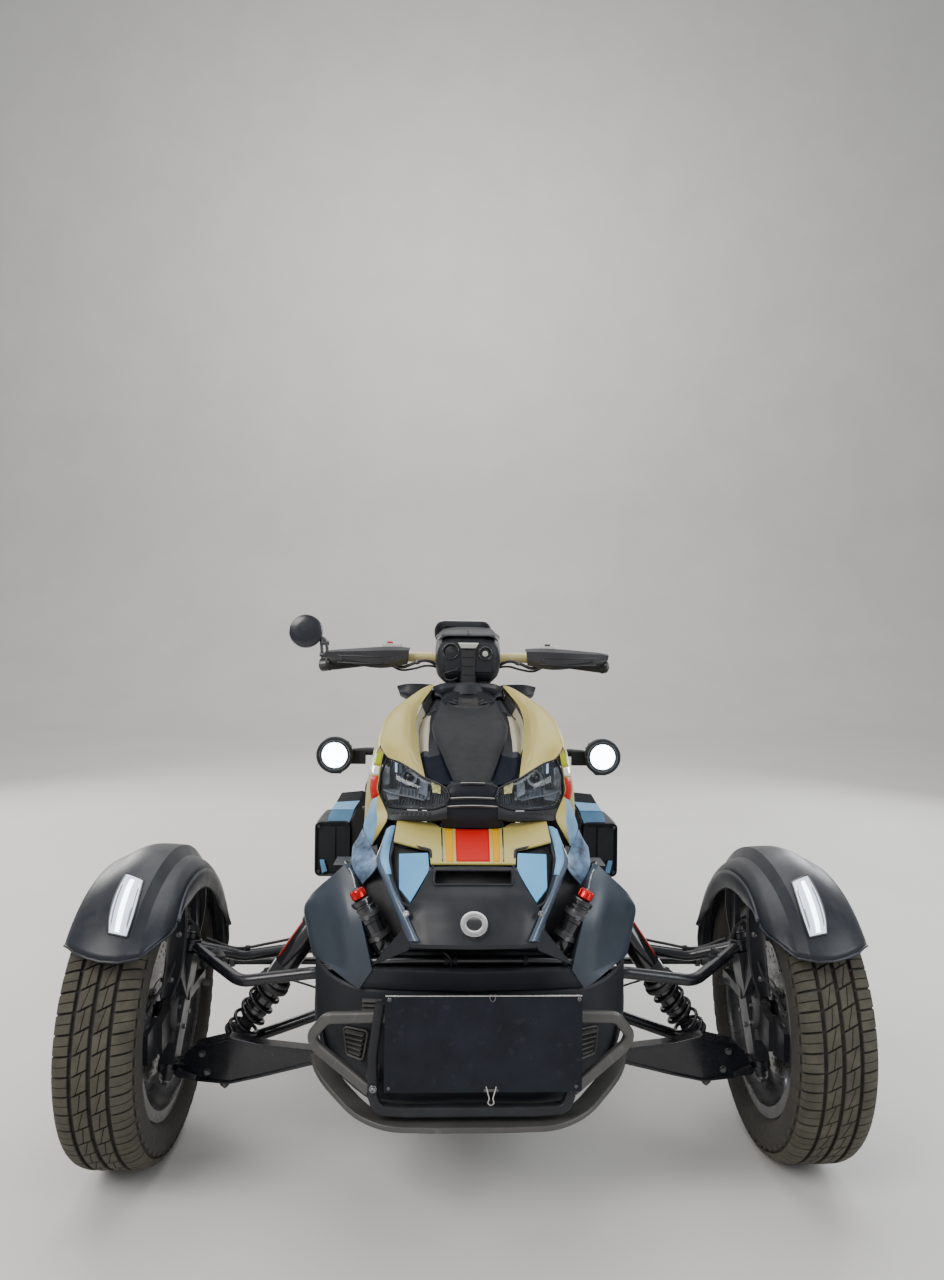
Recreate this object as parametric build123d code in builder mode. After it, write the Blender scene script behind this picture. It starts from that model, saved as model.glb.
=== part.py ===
from build123d import *
import math
import os

# Three-wheeled motor trike, two steered wheels in front and one driven wheel behind.
# Millimetres. The front faces -Y, +X is the rider's left, Z is up, the ground is Z = 0.
# The origin lies on the ground in the middle of the overall length and width.

os.makedirs("parts", exist_ok=True)

# ---------------------------------------------------------------- driving dimensions
OVERALL_LENGTH = 2352.0
OVERALL_WIDTH = 1509.0
WHEELBASE = 1709.0
FRONT_OVERHANG = 318.0
GROUND_CLEARANCE = 121.0
YF = -OVERALL_LENGTH / 2 + FRONT_OVERHANG  # front axle
YR = YF + WHEELBASE  # rear axle
REAR_END = OVERALL_LENGTH / 2

# wheels: section width, outer radius, rim seat radius
FW, FR, RIM_R = 150.0, 290.2, 203.2
RW, RR = 205.0, 295.5
FX = (OVERALL_WIDTH - FW) / 2  # centre plane of a front wheel
FZ, RZ = FR, RR

# king pin: lower and upper ball joint on the +X side, (x, distance behind front axle, z)
KP_LOW = (625.0, -11.0, 176.0)
KP_TOP = (588.0, 11.0, 424.0)
STUD_R, SPINDLE_R, RUN = 8.0, 15.0, 0.05

# steering column: a point on its axis and its lean from the vertical
COLUMN = (0.0, 405.0, 935.0)
COLUMN_LEAN = 25.0
COLUMN_R = 19.0

# lid over the storage box: hinge pin at its front edge
LID_PIN = (-66.0, 764.0)
LID_PIN_R = 4.0

SIDES = ((1, "left"), (-1, "right"))


def ahead(a):
    """Y of a point that lies a mm behind the front axle."""
    return YF + a


def at(p, s=1):
    """Point (x, distance behind the front axle, z) on side s."""
    return (s * p[0], ahead(p[1]), p[2])


def save(part, name):
    part.label = name
    export_step(part, "parts/" + name + ".step")


def king_pin(s):
    low, top = Vector(*at(KP_LOW, s)), Vector(*at(KP_TOP, s))
    return low, top, (top - low).normalized()


def column_plane(shift=0.0):
    lean = math.radians(COLUMN_LEAN)
    z = Vector(0, math.sin(lean), math.cos(lean))
    return Plane(origin=Vector(*at(COLUMN)) + z * shift, x_dir=(1, 0, 0), z_dir=z)


def tube(points, r, s=1, bend=40.0):
    """Round tube along straight runs joined by arcs."""
    pts = [at(p, s) for p in points]
    with BuildPart() as p:
        with BuildLine() as path:
            if len(pts) > 2:
                FilletPolyline(*pts, radius=bend)
            else:
                Line(*pts)
        with BuildSketch(Plane(origin=path.line @ 0, z_dir=path.line % 0)):
            Circle(r)
        sweep(path=path.line)
    return p.part


def rod(a, b, r, s=1, hole=0.0):
    """Straight round bar between two points."""
    a, b = Vector(*at(a, s)), Vector(*at(b, s))
    with BuildPart() as p:
        with BuildSketch(Plane(origin=a, z_dir=(b - a).normalized())):
            Circle(r)
            if hole:
                Circle(hole, mode=Mode.SUBTRACT)
        extrude(amount=(b - a).length)
    return p.part


def sections(rows, mirrored=True):
    """Straight-sided body through cross sections. rows: (distance behind front axle, ((x, z), ...)) of the +X half."""
    with BuildPart() as p:
        for a, half in rows:
            full = list(half)
            if mirrored:
                full += [(-x, z) for x, z in reversed(half) if x > 0]
            with BuildSketch(Plane.XZ.offset(-ahead(a))):
                with BuildLine():
                    Polyline(*full, close=True)
                make_face()
        loft(ruled=True)
    return p.part


def side_plate(outline, x0, x1):
    """Plate with an outline of (distance behind front axle, z) between x0 and x1."""
    with BuildPart() as p:
        with BuildSketch(Plane.YZ.offset(min(x0, x1))):
            with BuildLine():
                Polyline(*[(ahead(a), z) for a, z in outline], close=True)
            make_face()
        extrude(amount=abs(x1 - x0))
    return p.part


def block(x0, x1, a0, a1, z0, z1, soft=0.0):
    """Box between planes, its edges along Z and X eased by soft."""
    with BuildPart() as p:
        with BuildSketch(Plane.XY.offset(z0)):
            with Locations(((x0 + x1) / 2, ahead((a0 + a1) / 2))):
                Rectangle(abs(x1 - x0), abs(a1 - a0))
        extrude(amount=z1 - z0)
        if soft:
            chamfer(p.edges().filter_by(Axis.Z), soft)
            chamfer(p.edges().group_by(Axis.Z)[-1].filter_by(Axis.X), soft * 0.8)
    return p.part


def wheel_turned(profile, x, y, z):
    """Body of revolution about a wheel's axle, profile of (offset from centre plane, radius)."""
    with BuildPart() as p:
        with BuildSketch(Plane(origin=(x, y, z), x_dir=(1, 0, 0), z_dir=(0, 0, 1))):
            with BuildLine():
                Polyline(*profile, close=True)
            make_face()
        revolve(axis=Axis((x, y, z), (1, 0, 0)))
    return p.part


# ---------------------------------------------------------------- wheels
def tyre(width, radius, x, y, z):
    w = width / 2
    wall = radius - RIM_R
    profile = [  # (offset, radius)
        (-w + 21, RIM_R), (-w + 21, RIM_R + 9), (-w + 5, RIM_R + 0.2 * wall), (-w, RIM_R + 0.45 * wall), (-w + 2, RIM_R + 0.72 * wall),
        (-w + 8, RIM_R + 0.9 * wall), (-w + 23, radius - 2.2), (-w + 45, radius), (w - 45, radius), (w - 23, radius - 2.2),
        (w - 8, RIM_R + 0.9 * wall), (w - 2, RIM_R + 0.72 * wall), (w, RIM_R + 0.45 * wall), (w - 5, RIM_R + 0.2 * wall),
        (w - 21, RIM_R + 9), (w - 21, RIM_R),
    ]
    return wheel_turned(profile, x, y, z)


def rim(width, x, y, z, s, spokes, face, hub_in, hub_out):
    """Deep wheel with its spokes at the outer face. face: offset of the spokes' middle, hub_in, hub_out: hub ends."""
    w = width / 2 - 14
    barrel = [
        (-w, RIM_R - 13), (-w, RIM_R + 8), (-w + 6, RIM_R + 8), (-w + 6, RIM_R - 0.3), (w - 6, RIM_R - 0.3),
        (w - 6, RIM_R + 8), (w, RIM_R + 8), (w, RIM_R - 13),
    ]
    ring = wheel_turned(barrel, x, y, z)
    with BuildPart() as p:
        add(ring)
        with BuildSketch(Plane.YZ.offset(x + s * face - 11)):
            with Locations((y, z)):
                Circle(58)
                with PolarLocations(122, spokes):
                    Rectangle(152, 26)
        extrude(amount=22)
        with BuildSketch(Plane.YZ.offset(min(x + s * hub_in, x + s * hub_out))):
            with Locations((y, z)):
                Circle(46)
        extrude(amount=abs(hub_out - hub_in))
        with BuildSketch(Plane.YZ.offset(x - 130)):
            with Locations((y, z)):
                Circle(SPINDLE_R + RUN)
        extrude(amount=260, mode=Mode.SUBTRACT)
    return p.part


def brake_disc(x0, y, z, r_out, r_in, thick):
    with BuildPart() as p:
        with BuildSketch(Plane.YZ.offset(x0)):
            with Locations((y, z)):
                Circle(r_out)
                Circle(r_in, mode=Mode.SUBTRACT)
        extrude(amount=thick)
    return p.part


for s, side in SIDES:
    save(tyre(FW, FR, s * FX, YF, FZ), "front_tyre_" + side)
    wheel = rim(FW, s * FX, YF, FZ, s, 5, 40, -28, 40)
    disc = brake_disc(min(s * 653, s * 658), YF, FZ, 135, 44, 5)
    with BuildPart() as whole:
        add(wheel)
        add(disc)
        with BuildSketch(Plane.YZ.offset(min(s * 650, s * 658))):
            with Locations((YF, FZ)):
                Circle(46)
                Circle(SPINDLE_R + RUN, mode=Mode.SUBTRACT)
        extrude(amount=8)
    save(whole.part, "front_wheel_" + side)

save(tyre(RW, RR, 0, YR, RZ), "rear_tyre")
save(rim(RW, 0, YR, RZ, -1, 5, 60, -62, 60), "rear_wheel")

# ---------------------------------------------------------------- steered uprights, fenders, fender lamps
# fender cross section: (distance from the vehicle's middle, radius about the axle), outside then inside
FENDER = (
    (752, 292), (752, 306), (722, 321), (700, 332), (682, 338), (632, 339), (618, 336), (608, 315), (588, 306), (574, 294), (570, 282),
    (575, 282), (579, 291), (592, 301), (612, 310), (622, 331), (634, 334), (681, 333), (698, 327), (719, 316), (747, 302), (747, 292),
)
FENDER_FROM, FENDER_TO = 35.0, 186.0  # degrees up from the front horizontal


def fender_arc(s, profile, start, arc):
    a = math.radians(start)
    base = Plane(origin=(0, YF, FZ), x_dir=(1, 0, 0), z_dir=(0, -math.sin(a), -math.cos(a)))
    with BuildPart() as p:
        with BuildSketch(base):
            with BuildLine():
                Polyline(*[(s * x, r) for x, r in profile], close=True)
            make_face()
        revolve(axis=Axis((0, YF, FZ), (-1, 0, 0)), revolution_arc=arc)
    return p.part


for s, side in SIDES:
    low, top, up = king_pin(s)
    spindle = rod((600, 0, FZ), (716, 0, FZ), SPINDLE_R, s)
    spindle_cap = rod((712 + 14, 0, FZ), (732, 0, FZ), 22, s)
    shoulder = rod((600, 0, FZ), (642, 0, FZ), 30, s)
    # (outline of distance behind front axle and z, inner x, outer x)
    plates = [
        side_plate([(-18, 318), (-62, 380), (-66, 540), (-52, 581.5), (-34, 584.5), (-34, 400), (-5, 334)], s * 586, s * 598),
        side_plate([(18, 318), (66, 380), (72, 540), (58, 580), (42, 583), (42, 396), (5, 334)], s * 586, s * 598),
        side_plate([(0, 308), (0, 328), (120, 328), (120, 310)], s * 586, s * 604),
        side_plate([(-10, 250), (-30, 312), (-96, 300), (-96, 240)], s * 612, s * 630),
        side_plate([(-92, 232), (-92, 312), (-150, 300), (-150, 244)], s * 622, s * 670),
    ]
    caliper_slot = side_plate([(-86, 225), (-86, 320), (-146, 320), (-146, 225)], s * 648, s * 662)
    with BuildPart() as knuckle:
        with BuildSketch(Plane(origin=low + up * 14, x_dir=(0, 1, 0), z_dir=up)):
            Rectangle(54, 30)
        extrude(amount=(top - low).length - 28)
        for origin in (low, top):
            with BuildSketch(Plane(origin=origin - up * 24, z_dir=up)):
                Circle(STUD_R)
            extrude(amount=48)
        with BuildSketch(Plane(origin=low - up * 24, z_dir=up)):
            Circle(14)
        extrude(amount=11)
        with BuildSketch(Plane(origin=top + up * 13, z_dir=up)):
            Circle(14)
        extrude(amount=11)
        add(shoulder)
        add(spindle)
        for piece in plates:
            add(piece)
        add(caliper_slot, mode=Mode.SUBTRACT)
    save(knuckle.part, "knuckle_" + side)
    lamp_cut = fender_arc(s, [(636, 328), (636, 343), (680, 343), (680, 328)], 44, 26)
    with BuildPart() as fender:
        add(fender_arc(s, FENDER, FENDER_FROM, FENDER_TO - FENDER_FROM))
        add(lamp_cut, mode=Mode.SUBTRACT)
    save(fender.part, "fender_" + side)
    save(fender_arc(s, [(636.5, 328), (636.5, 342), (679.5, 342), (679.5, 328)], 44.2, 25.6), "fender_lamp_" + side)

# ---------------------------------------------------------------- suspension arms, shocks, tie rods
# arm legs on the +X side: points of (x, distance behind front axle, z)
UPPER_LEGS = (
    ((584, 6, 422), (466, -66, 373), (318, -86, 398), (111, -88, 402)),
    ((584, 10, 422), (486, 48, 384), (366, 64, 396), (111, 60, 402)),
)
LOWER_TUBE = ((618, -2, 182), (452, 46, 212), (116, 60, 326))
ARM_R = 12.0

upper_legs = [(tube(leg, ARM_R, s, 60), s) for s, _ in SIDES for leg in UPPER_LEGS]
lower_tubes = {s: tube(LOWER_TUBE, ARM_R, s, 60) for s, _ in SIDES}


def boss(centre, up, r=19.0):
    with BuildPart() as p:
        with BuildSketch(Plane(origin=centre - up * 12, z_dir=up)):
            Circle(r)
        extrude(amount=24)
    return p.part


def stud_hole(centre, up):
    with BuildPart() as p:
        with BuildSketch(Plane(origin=centre - up * 40, z_dir=up)):
            Circle(STUD_R + RUN)
        extrude(amount=80)
    return p.part


def gap_disc(centre, up, lo, hi, r=40.0):
    """Air beside a ball joint's boss."""
    with BuildPart() as p:
        with BuildSketch(Plane(origin=centre + up * lo, z_dir=up)):
            Circle(r)
        extrude(amount=hi - lo)
    return p.part


upper_parts, lower_parts = [], []
for s, side in SIDES:
    low, top, up = king_pin(s)
    upper_parts.append((boss(top, up), stud_hole(top, up), gap_disc(top, up, 12, 40), gap_disc(top, up, -40, -12)))
    lower_parts.append((boss(low, up), stud_hole(low, up), gap_disc(low, up, 12, 44), gap_disc(low, up, -44, -12)))
# front leg of a lower arm is a deep pressed plate: (x, distance, z bottom, z top, half thickness)
LOWER_PLATE = ((606, -14, 164, 192, 11), (560, -24, 157, 232, 12), (490, -40, 158, 254, 12), (424, -54, 178, 246, 12), (322, -66, 208, 240, 12),
               (111, -88, 236, 268, 12))


def arm_plate(rows, s):
    with BuildPart() as p:
        for x, a, z0, z1, h in rows:
            with BuildSketch(Plane.YZ.offset(s * x)):
                with BuildLine():
                    Polyline((ahead(a - h), z0), (ahead(a + h), z0), (ahead(a + h), z1), (ahead(a - h), z1), close=True)
                make_face()
        loft(ruled=True)
    return p.part


arm_plates = {s: arm_plate(LOWER_PLATE, s) for s, _ in SIDES}
shock_seats = {s: side_plate([(-34, 182), (44, 190), (42, 201), (-34, 200)], s * 478, s * 512) for s, _ in SIDES}
with BuildPart() as upper_arms:
    for leg, _ in upper_legs:
        add(leg)
    for lump, hole, over, under in upper_parts:
        add(lump)
    for lump, hole, over, under in upper_parts:
        add(over, mode=Mode.SUBTRACT)
        add(under, mode=Mode.SUBTRACT)
        add(hole, mode=Mode.SUBTRACT)
save(upper_arms.part, "upper_arms")

with BuildPart() as lower_arms:
    for s, side in SIDES:
        add(lower_tubes[s])
        add(arm_plates[s])
        add(shock_seats[s])
    for lump, hole, over, under in lower_parts:
        add(lump)
    for lump, hole, over, under in lower_parts:
        add(over, mode=Mode.SUBTRACT)
        add(under, mode=Mode.SUBTRACT)
        add(hole, mode=Mode.SUBTRACT)
save(lower_arms.part, "lower_arms")

# shocks: from the lower arm's seat up and inwards to the cross beam
SHOCK_LOW, SHOCK_TOP = (499.0, 8.0, 213.0), (262.0, 8.0, 566.0)
shock_dir = Vector(SHOCK_TOP[0] - SHOCK_LOW[0], 0, SHOCK_TOP[2] - SHOCK_LOW[2]).normalized()
SHOCK_LENGTH = Vector(SHOCK_TOP[0] - SHOCK_LOW[0], 0, SHOCK_TOP[2] - SHOCK_LOW[2]).length
# steps of a shock from its lower eye: (start, end, radius)
SHOCK_STEPS = ((2, 24, 10), (24, 32, 28), (32, 150, 32), (150, 160, 30), (160, 414, 23))


def along(low, direction, d):
    return (low[0] + direction.X * d, low[1], low[2] + direction.Z * d)


shock_bits = []
for s, side in SIDES:
    for d0, d1, r in SHOCK_STEPS:
        shock_bits.append(rod(along(SHOCK_LOW, shock_dir, d0), along(SHOCK_LOW, shock_dir, d1), r, s))
    shock_bits.append(rod((SHOCK_LOW[0], -16, SHOCK_LOW[2]), (SHOCK_LOW[0], 15, SHOCK_LOW[2]), 11, s))
# remote reservoirs of the shocks beside the nose: (top, bottom), with an adjuster knob
RES_TOP, RES_LOW = (206.0, -196.0, 596.0), (160.0, -206.0, 498.0)
res_dir = (Vector(*RES_TOP) - Vector(*RES_LOW)).normalized()
res_bits = []
for s, side in SIDES:
    knob_end = Vector(*RES_TOP) + res_dir * 22
    res_bits.append(rod(RES_LOW, RES_TOP, 21, s))
    res_bits.append(rod(RES_TOP, tuple(knob_end), 15, s))
with BuildPart() as front_shocks:
    for piece in shock_bits + res_bits:
        add(piece)
save(front_shocks.part, "front_shocks")

# tie rods and their centre link, one sliding piece behind the front axle
TIE = (110.0, 350.0)  # distance behind the axle, height
link = rod((-582, TIE[0], TIE[1]), (582, TIE[0], TIE[1]), 8)
eyes = [rod((s * 582, TIE[0], TIE[1] - 8), (s * 582, TIE[0], TIE[1] + 10), 15) for s, _ in SIDES]
rack = rod((-150, TIE[0], TIE[1]), (150, TIE[0], TIE[1]), 14)
with BuildPart() as tie_rods:
    add(link)
    add(rack)
    for piece in eyes:
        add(piece)
save(tie_rods.part, "tie_rods")

# ---------------------------------------------------------------- frame, engine, drive
HEAD_LOW, HEAD_TOP = -372.0, -44.0  # along the column from its point
with BuildPart() as head_tube:
    with BuildSketch(column_plane(HEAD_LOW)):
        Circle(33)
    extrude(amount=HEAD_TOP - HEAD_LOW)
with BuildPart() as head_bore:
    with BuildSketch(column_plane(-320)):
        Circle(COLUMN_R + RUN)
    extrude(amount=330)
frame_blocks = [
    block(-90, 90, -104, 1010, 132, 196),  # keel
    block(-110, 110, -104, 78, 190, 600),  # front tower
    block(-286, 286, -26, 44, 574, 600),  # shock cross beam
    block(-50, 50, 60, 330, 548, 602),  # neck beam
    block(-46, 46, 250, 1280, 520, 566),  # spine to the tail
    block(-88, 88, 950, 1010, 140, 566),  # rear upright
    side_plate([(840, 560), (1150, 560), (1330, 600), (1330, 636), (1292, 636), (1180, 583), (840, 583)], -74, 74),  # tail beam
]
with BuildPart() as main_frame:
    for piece in frame_blocks:
        add(piece)
    add(head_tube.part)
    add(head_bore.part, mode=Mode.SUBTRACT)
save(main_frame.part, "main_frame")

save(block(-150, 150, 190, 890, 200, 512, 30), "engine_block")

with BuildPart() as drive_cover:  # belt drive housing on the rider's left
    with BuildSketch(Plane.YZ.offset(151)):
        with BuildLine():
            Polyline((ahead(330), 232), (ahead(420), 214), (ahead(760), 236), (ahead(842), 300), (ahead(846), 372),
                     (ahead(790), 430), (ahead(470), 458), (ahead(352), 438), (ahead(286), 350), (ahead(286), 290), close=True)
        make_face()
    extrude(amount=72, taper=8)
save(drive_cover.part, "drive_cover")

save(block(-142, 142, -80, 560, GROUND_CLEARANCE, 131, 0), "skid_plate")

# ---------------------------------------------------------------- nose
# cross sections of the lower front body: (distance behind front axle, +X half of (x, z))
FASCIA = (
    (-278, ((0, 208), (104, 208), (184, 262), (202, 330), (198, 470), (170, 516), (0, 516))),
    (-240, ((0, 180), (124, 180), (222, 244), (250, 330), (250, 500), (202, 566), (0, 566))),
    (-184, ((0, 146), (140, 146), (258, 232), (298, 330), (300, 540), (248, 610), (0, 610))),
    (-118, ((0, 140), (150, 140), (262, 236), (302, 330), (304, 560), (262, 640), (0, 640))),
)
NOSE = (
    (-315, ((0, 498), (136, 498), (150, 512), (96, 574), (0, 580))),
    (-248, ((0, 520), (176, 520), (176, 566), (104, 632), (0, 640))),
    (-190, ((0, 540), (170, 540), (176, 650), (112, 684), (0, 690))),
    (-108, ((0, 560), (170, 560), (172, 690), (130, 714), (0, 716))),
)
nose_core = sections(NOSE)
nose_slot = block(-66, 66, -280, -190, 618, 634)
fascia_core = sections(FASCIA)
fascia_cuts = [
    block(-196, 196, -320, -237, 268, 492),  # mouth
    block(126, 240, -330, -160, 478, 660),  # reservoir bays
    block(-240, -126, -330, -160, 478, 660),
]
with BuildPart() as nose_panel:
    add(nose_core)
    add(nose_slot, mode=Mode.SUBTRACT)
    add(block(126, 240, -330, -164, 440, 590), mode=Mode.SUBTRACT)
    add(block(-240, -126, -330, -164, 440, 590), mode=Mode.SUBTRACT)
    chamfer(nose_panel.edges().filter_by(Axis.X).sort_by(Axis.Y)[0], 2)
save(nose_panel.part, "nose_panel")
with BuildPart() as front_fascia:
    add(fascia_core)
    for piece in fascia_cuts:
        add(piece, mode=Mode.SUBTRACT)
    add(nose_core, mode=Mode.SUBTRACT)
save(front_fascia.part, "front_fascia")

with BuildPart() as grille:
    with BuildSketch(Plane.XZ.offset(-ahead(-238))):
        with Locations((0, 380)):
            Rectangle(390, 216)
            with GridLocations(0, 24, 1, 8):
                Rectangle(372, 12, mode=Mode.SUBTRACT)
    extrude(amount=10)
save(grille.part, "grille")

# front bumper: tube runs of (x, distance behind front axle, z)
BUMPER_R = 11.0
hoop = tube(((150, -288, 408), (176, -294, 300), (168, -298, 236), (-168, -298, 236), (-176, -294, 300), (-150, -288, 408)),
            BUMPER_R, 1, 14)
cross_bar = rod((-152, -290, 398), (152, -290, 398), 9)
wings = [tube(((150, -290, 400), (270, -278, 386), (312, -236, 322), (180, -300, 272)), BUMPER_R, s, 18) for s, _ in SIDES]
with BuildPart() as front_bumper:
    add(hoop)
    add(cross_bar)
    for piece in wings:
        add(piece)
    add(front_fascia.part, mode=Mode.SUBTRACT)
save(front_bumper.part, "front_bumper")

# blank display plate on the bumper
with BuildPart() as display_plate:
    with BuildSketch(Plane.XZ.offset(-ahead(-FRONT_OVERHANG + 6))):
        with Locations((19, 360)):
            RectangleRounded(350, 170, 4)
    extrude(amount=6)
    with BuildSketch(Plane.XZ.offset(-ahead(-FRONT_OVERHANG + 6))):
        with Locations((-60, 398), (94, 398)):
            Rectangle(22, 26)
    extrude(amount=-26)
    add(front_bumper.part, mode=Mode.SUBTRACT)
save(display_plate.part, "display_plate")

# ---------------------------------------------------------------- upper body
# storage box under the lid, open at the top, carries the lid's hinge pin
TUB = (-50.0, 262.0, 92.0, 664.0)  # front, rear, half width, floor height
LID_EAR = ((-71, 738), (-71, 765), (-68, 769), (-64, 769), (-60, 765), (TUB[0], 750), (TUB[0], 716))
with BuildPart() as storage_box:
    add(side_plate([(TUB[0], TUB[3]), (TUB[1] - 36, TUB[3]), (TUB[1], 744), (TUB[1], 866), (100, 816), (TUB[0], 752)],
                   -TUB[2], TUB[2]))
    add(side_plate([(TUB[0] + 4, TUB[3] + 4), (TUB[1] - 40, TUB[3] + 4), (TUB[1] - 4, 746), (TUB[1] - 4, 900), (TUB[0] + 4, 900)],
                   -TUB[2] + 4, TUB[2] - 4), mode=Mode.SUBTRACT)
    add(side_plate(LID_EAR, -64, -52))
    add(side_plate(LID_EAR, 52, 64))
    add(rod((-64, LID_PIN[0], LID_PIN[1]), (64, LID_PIN[0], LID_PIN[1]), LID_PIN_R))
save(storage_box.part, "storage_box")

# lid: side profile of its top face, and its plan outline of (half width, distance behind front axle)
LID_TOP = ((-70, 782), (0, 816), (110, 866), (230, 908), (344, 940))
LID_PLAN = ((58, -72), (96, -30), (124, 90), (124, 210), (100, 344))
LID_THICK = 10.0
with BuildPart() as lid_outline:
    with BuildSketch(Plane.XY.offset(700)):
        with BuildLine():
            Polyline(*[(x, ahead(a)) for x, a in LID_PLAN], *[(-x, ahead(a)) for x, a in reversed(LID_PLAN)], close=True)
        make_face()
    extrude(amount=300)
with BuildPart() as storage_lid:
    add(side_plate(LID_TOP + tuple((a, z - LID_THICK) for a, z in reversed(LID_TOP)), -140, 140))
    add(lid_outline.part, mode=Mode.INTERSECT)
    add(side_plate([(-58, 762), (-58, 776), (-40, 792), (-40, 776)], -48, 48))
    add(rod((-48, LID_PIN[0], LID_PIN[1]), (48, LID_PIN[0], LID_PIN[1]), 9))
    add(rod((-70, LID_PIN[0], LID_PIN[1]), (70, LID_PIN[0], LID_PIN[1]), LID_PIN_R + RUN), mode=Mode.SUBTRACT)
save(storage_lid.part, "storage_lid")

# painted side panels: (distance, ((x, z) quad of outer and inner skin on +X))
SIDE_PANEL = (
    (-56, ((186, 700), (200, 700), (196, 812), (150, 816))),
    (60, ((214, 640), (232, 640), (206, 842), (134, 862))),
    (200, ((222, 640), (240, 640), (196, 880), (132, 908))),
    (330, ((196, 690), (214, 690), (164, 910), (112, 940))),
    (440, ((150, 760), (168, 760), (138, 900), (110, 930))),
)


def hand(rows, s):
    return [(a, tuple((s * x, z) for x, z in quad)) for a, quad in rows]


HEADLIGHT = (
    (-124, ((52, 700), (150, 704), (150, 716), (56, 752))),
    (-96, ((50, 696), (178, 704), (180, 752), (72, 782))),
    (-46, ((104, 694), (196, 704), (188, 800), (104, 800))),
)
panel_of = {s: sections(hand(SIDE_PANEL, s), False) for s, _ in SIDES}
light_of = {s: sections(hand(HEADLIGHT, s), False) for s, _ in SIDES}
with BuildPart() as headlights:
    for s, _ in SIDES:
        add(light_of[s])
    add(block(-80, 80, -76, 0, 640, 830), mode=Mode.SUBTRACT)
    add(nose_core, mode=Mode.SUBTRACT)
save(headlights.part, "headlights")
with BuildPart() as side_panels:
    for s, _ in SIDES:
        add(panel_of[s])
    for s, _ in SIDES:
        add(light_of[s], mode=Mode.SUBTRACT)
    add(lid_outline.part, mode=Mode.SUBTRACT)
save(side_panels.part, "side_panels")

# centre mask with its slats, between the headlights
with BuildPart() as centre_mask:
    add(side_plate([(-120, 718), (-104, 716), (-80, 690), (-80, 756), (-94, 772), (-116, 762)], -48, 48))
save(centre_mask.part, "centre_mask")

# inner cowl behind headlights and panels, down to the cross beam
cowl = sections((
    (-100, ((0, 606), (200, 606), (190, 690), (60, 690), (0, 690))),
    (40, ((0, 604), (212, 604), (208, 700), (150, 806), (0, 806))),
    (270, ((0, 604), (200, 604), (216, 680), (150, 866), (0, 866))),
    (400, ((0, 620), (150, 620), (148, 740), (106, 890), (0, 890))),
))
with BuildPart() as inner_cowl:
    add(cowl)
    add(block(-TUB[2] - 1, TUB[2] + 1, TUB[0] - 60, TUB[1] + 1, TUB[3] - 1, 1000), mode=Mode.SUBTRACT)
    with BuildSketch(column_plane(HEAD_LOW - 4)):
        Circle(34)
    extrude(amount=420, mode=Mode.SUBTRACT)
    for s, _ in SIDES:
        add(panel_of[s], mode=Mode.SUBTRACT)
    for s, _ in SIDES:
        add(light_of[s], mode=Mode.SUBTRACT)
    add(nose_core, mode=Mode.SUBTRACT)
    with BuildSketch(column_plane(-34)):
        Circle(64)
        Circle(34.5, mode=Mode.SUBTRACT)
    extrude(amount=36)
    for s, _ in SIDES:
        add(panel_of[s], mode=Mode.SUBTRACT)
    add(lid_outline.part, mode=Mode.SUBTRACT)
    add(main_frame.part, mode=Mode.SUBTRACT)
save(inner_cowl.part, "inner_cowl")

# console between the bars and the seat: (distance, +X half of (x, z))
console_core = sections((
    (402, ((0, 640), (140, 640), (146, 800), (112, 896), (0, 900))),
    (500, ((0, 600), (142, 600), (150, 780), (122, 884), (0, 902))),
    (640, ((0, 590), (126, 590), (124, 720), (88, 800), (0, 822))),
    (790, ((0, 580), (104, 580), (96, 640), (70, 676), (0, 684))),
))
wing_fins = [side_plate([(470, 866), (462, 894), (560, 880), (566, 858)], s * 100, s * 196) for s, _ in SIDES]
with BuildPart() as console:
    add(console_core)
    for piece in wing_fins:
        add(piece)
    with BuildSketch(column_plane(HEAD_LOW - 4)):
        Circle(34)
    extrude(amount=420, mode=Mode.SUBTRACT)
    add(inner_cowl.part, mode=Mode.SUBTRACT)
    for s, _ in SIDES:
        add(panel_of[s], mode=Mode.SUBTRACT)
    add(main_frame.part, mode=Mode.SUBTRACT)
save(console.part, "console")


# ---------------------------------------------------------------- side radiators and lamps
with BuildPart() as radiators:
    for s, _ in SIDES:
        with BuildSketch(Plane.XZ.offset(-ahead(250))):
            with Locations((s * 324, 566)):
                RectangleRounded(88, 140, 14)
        extrude(amount=-170)
        with BuildSketch(Plane.XZ.offset(-ahead(250))):
            with Locations((s * 324, 566)):
                RectangleRounded(72, 120, 10)
        extrude(amount=-14, mode=Mode.SUBTRACT)
        with BuildSketch(Plane.XZ.offset(-ahead(290))):
            with Locations((s * 246, 566)):
                Rectangle(92, 70)
        extrude(amount=-110)
    add(console_core, mode=Mode.SUBTRACT)
    add(cowl, mode=Mode.SUBTRACT)
save(radiators.part, "radiators")

LAMP = (308.0, 150.0, 802.0)
lamp_bits = []
for s, _ in SIDES:
    lamp_bits.append(rod(LAMP, (LAMP[0], LAMP[1] + 54, LAMP[2]), 42, s))
    lamp_bits.append(rod((LAMP[0] - 30, LAMP[1] + 40, LAMP[2] + 6), (196, LAMP[1] + 40, LAMP[2] + 6), 9, s))
with BuildPart() as side_lamps:
    for piece in lamp_bits:
        add(piece)
    for s, _ in SIDES:
        add(panel_of[s], mode=Mode.SUBTRACT)
    add(cowl, mode=Mode.SUBTRACT)
save(side_lamps.part, "side_lamps")

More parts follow.
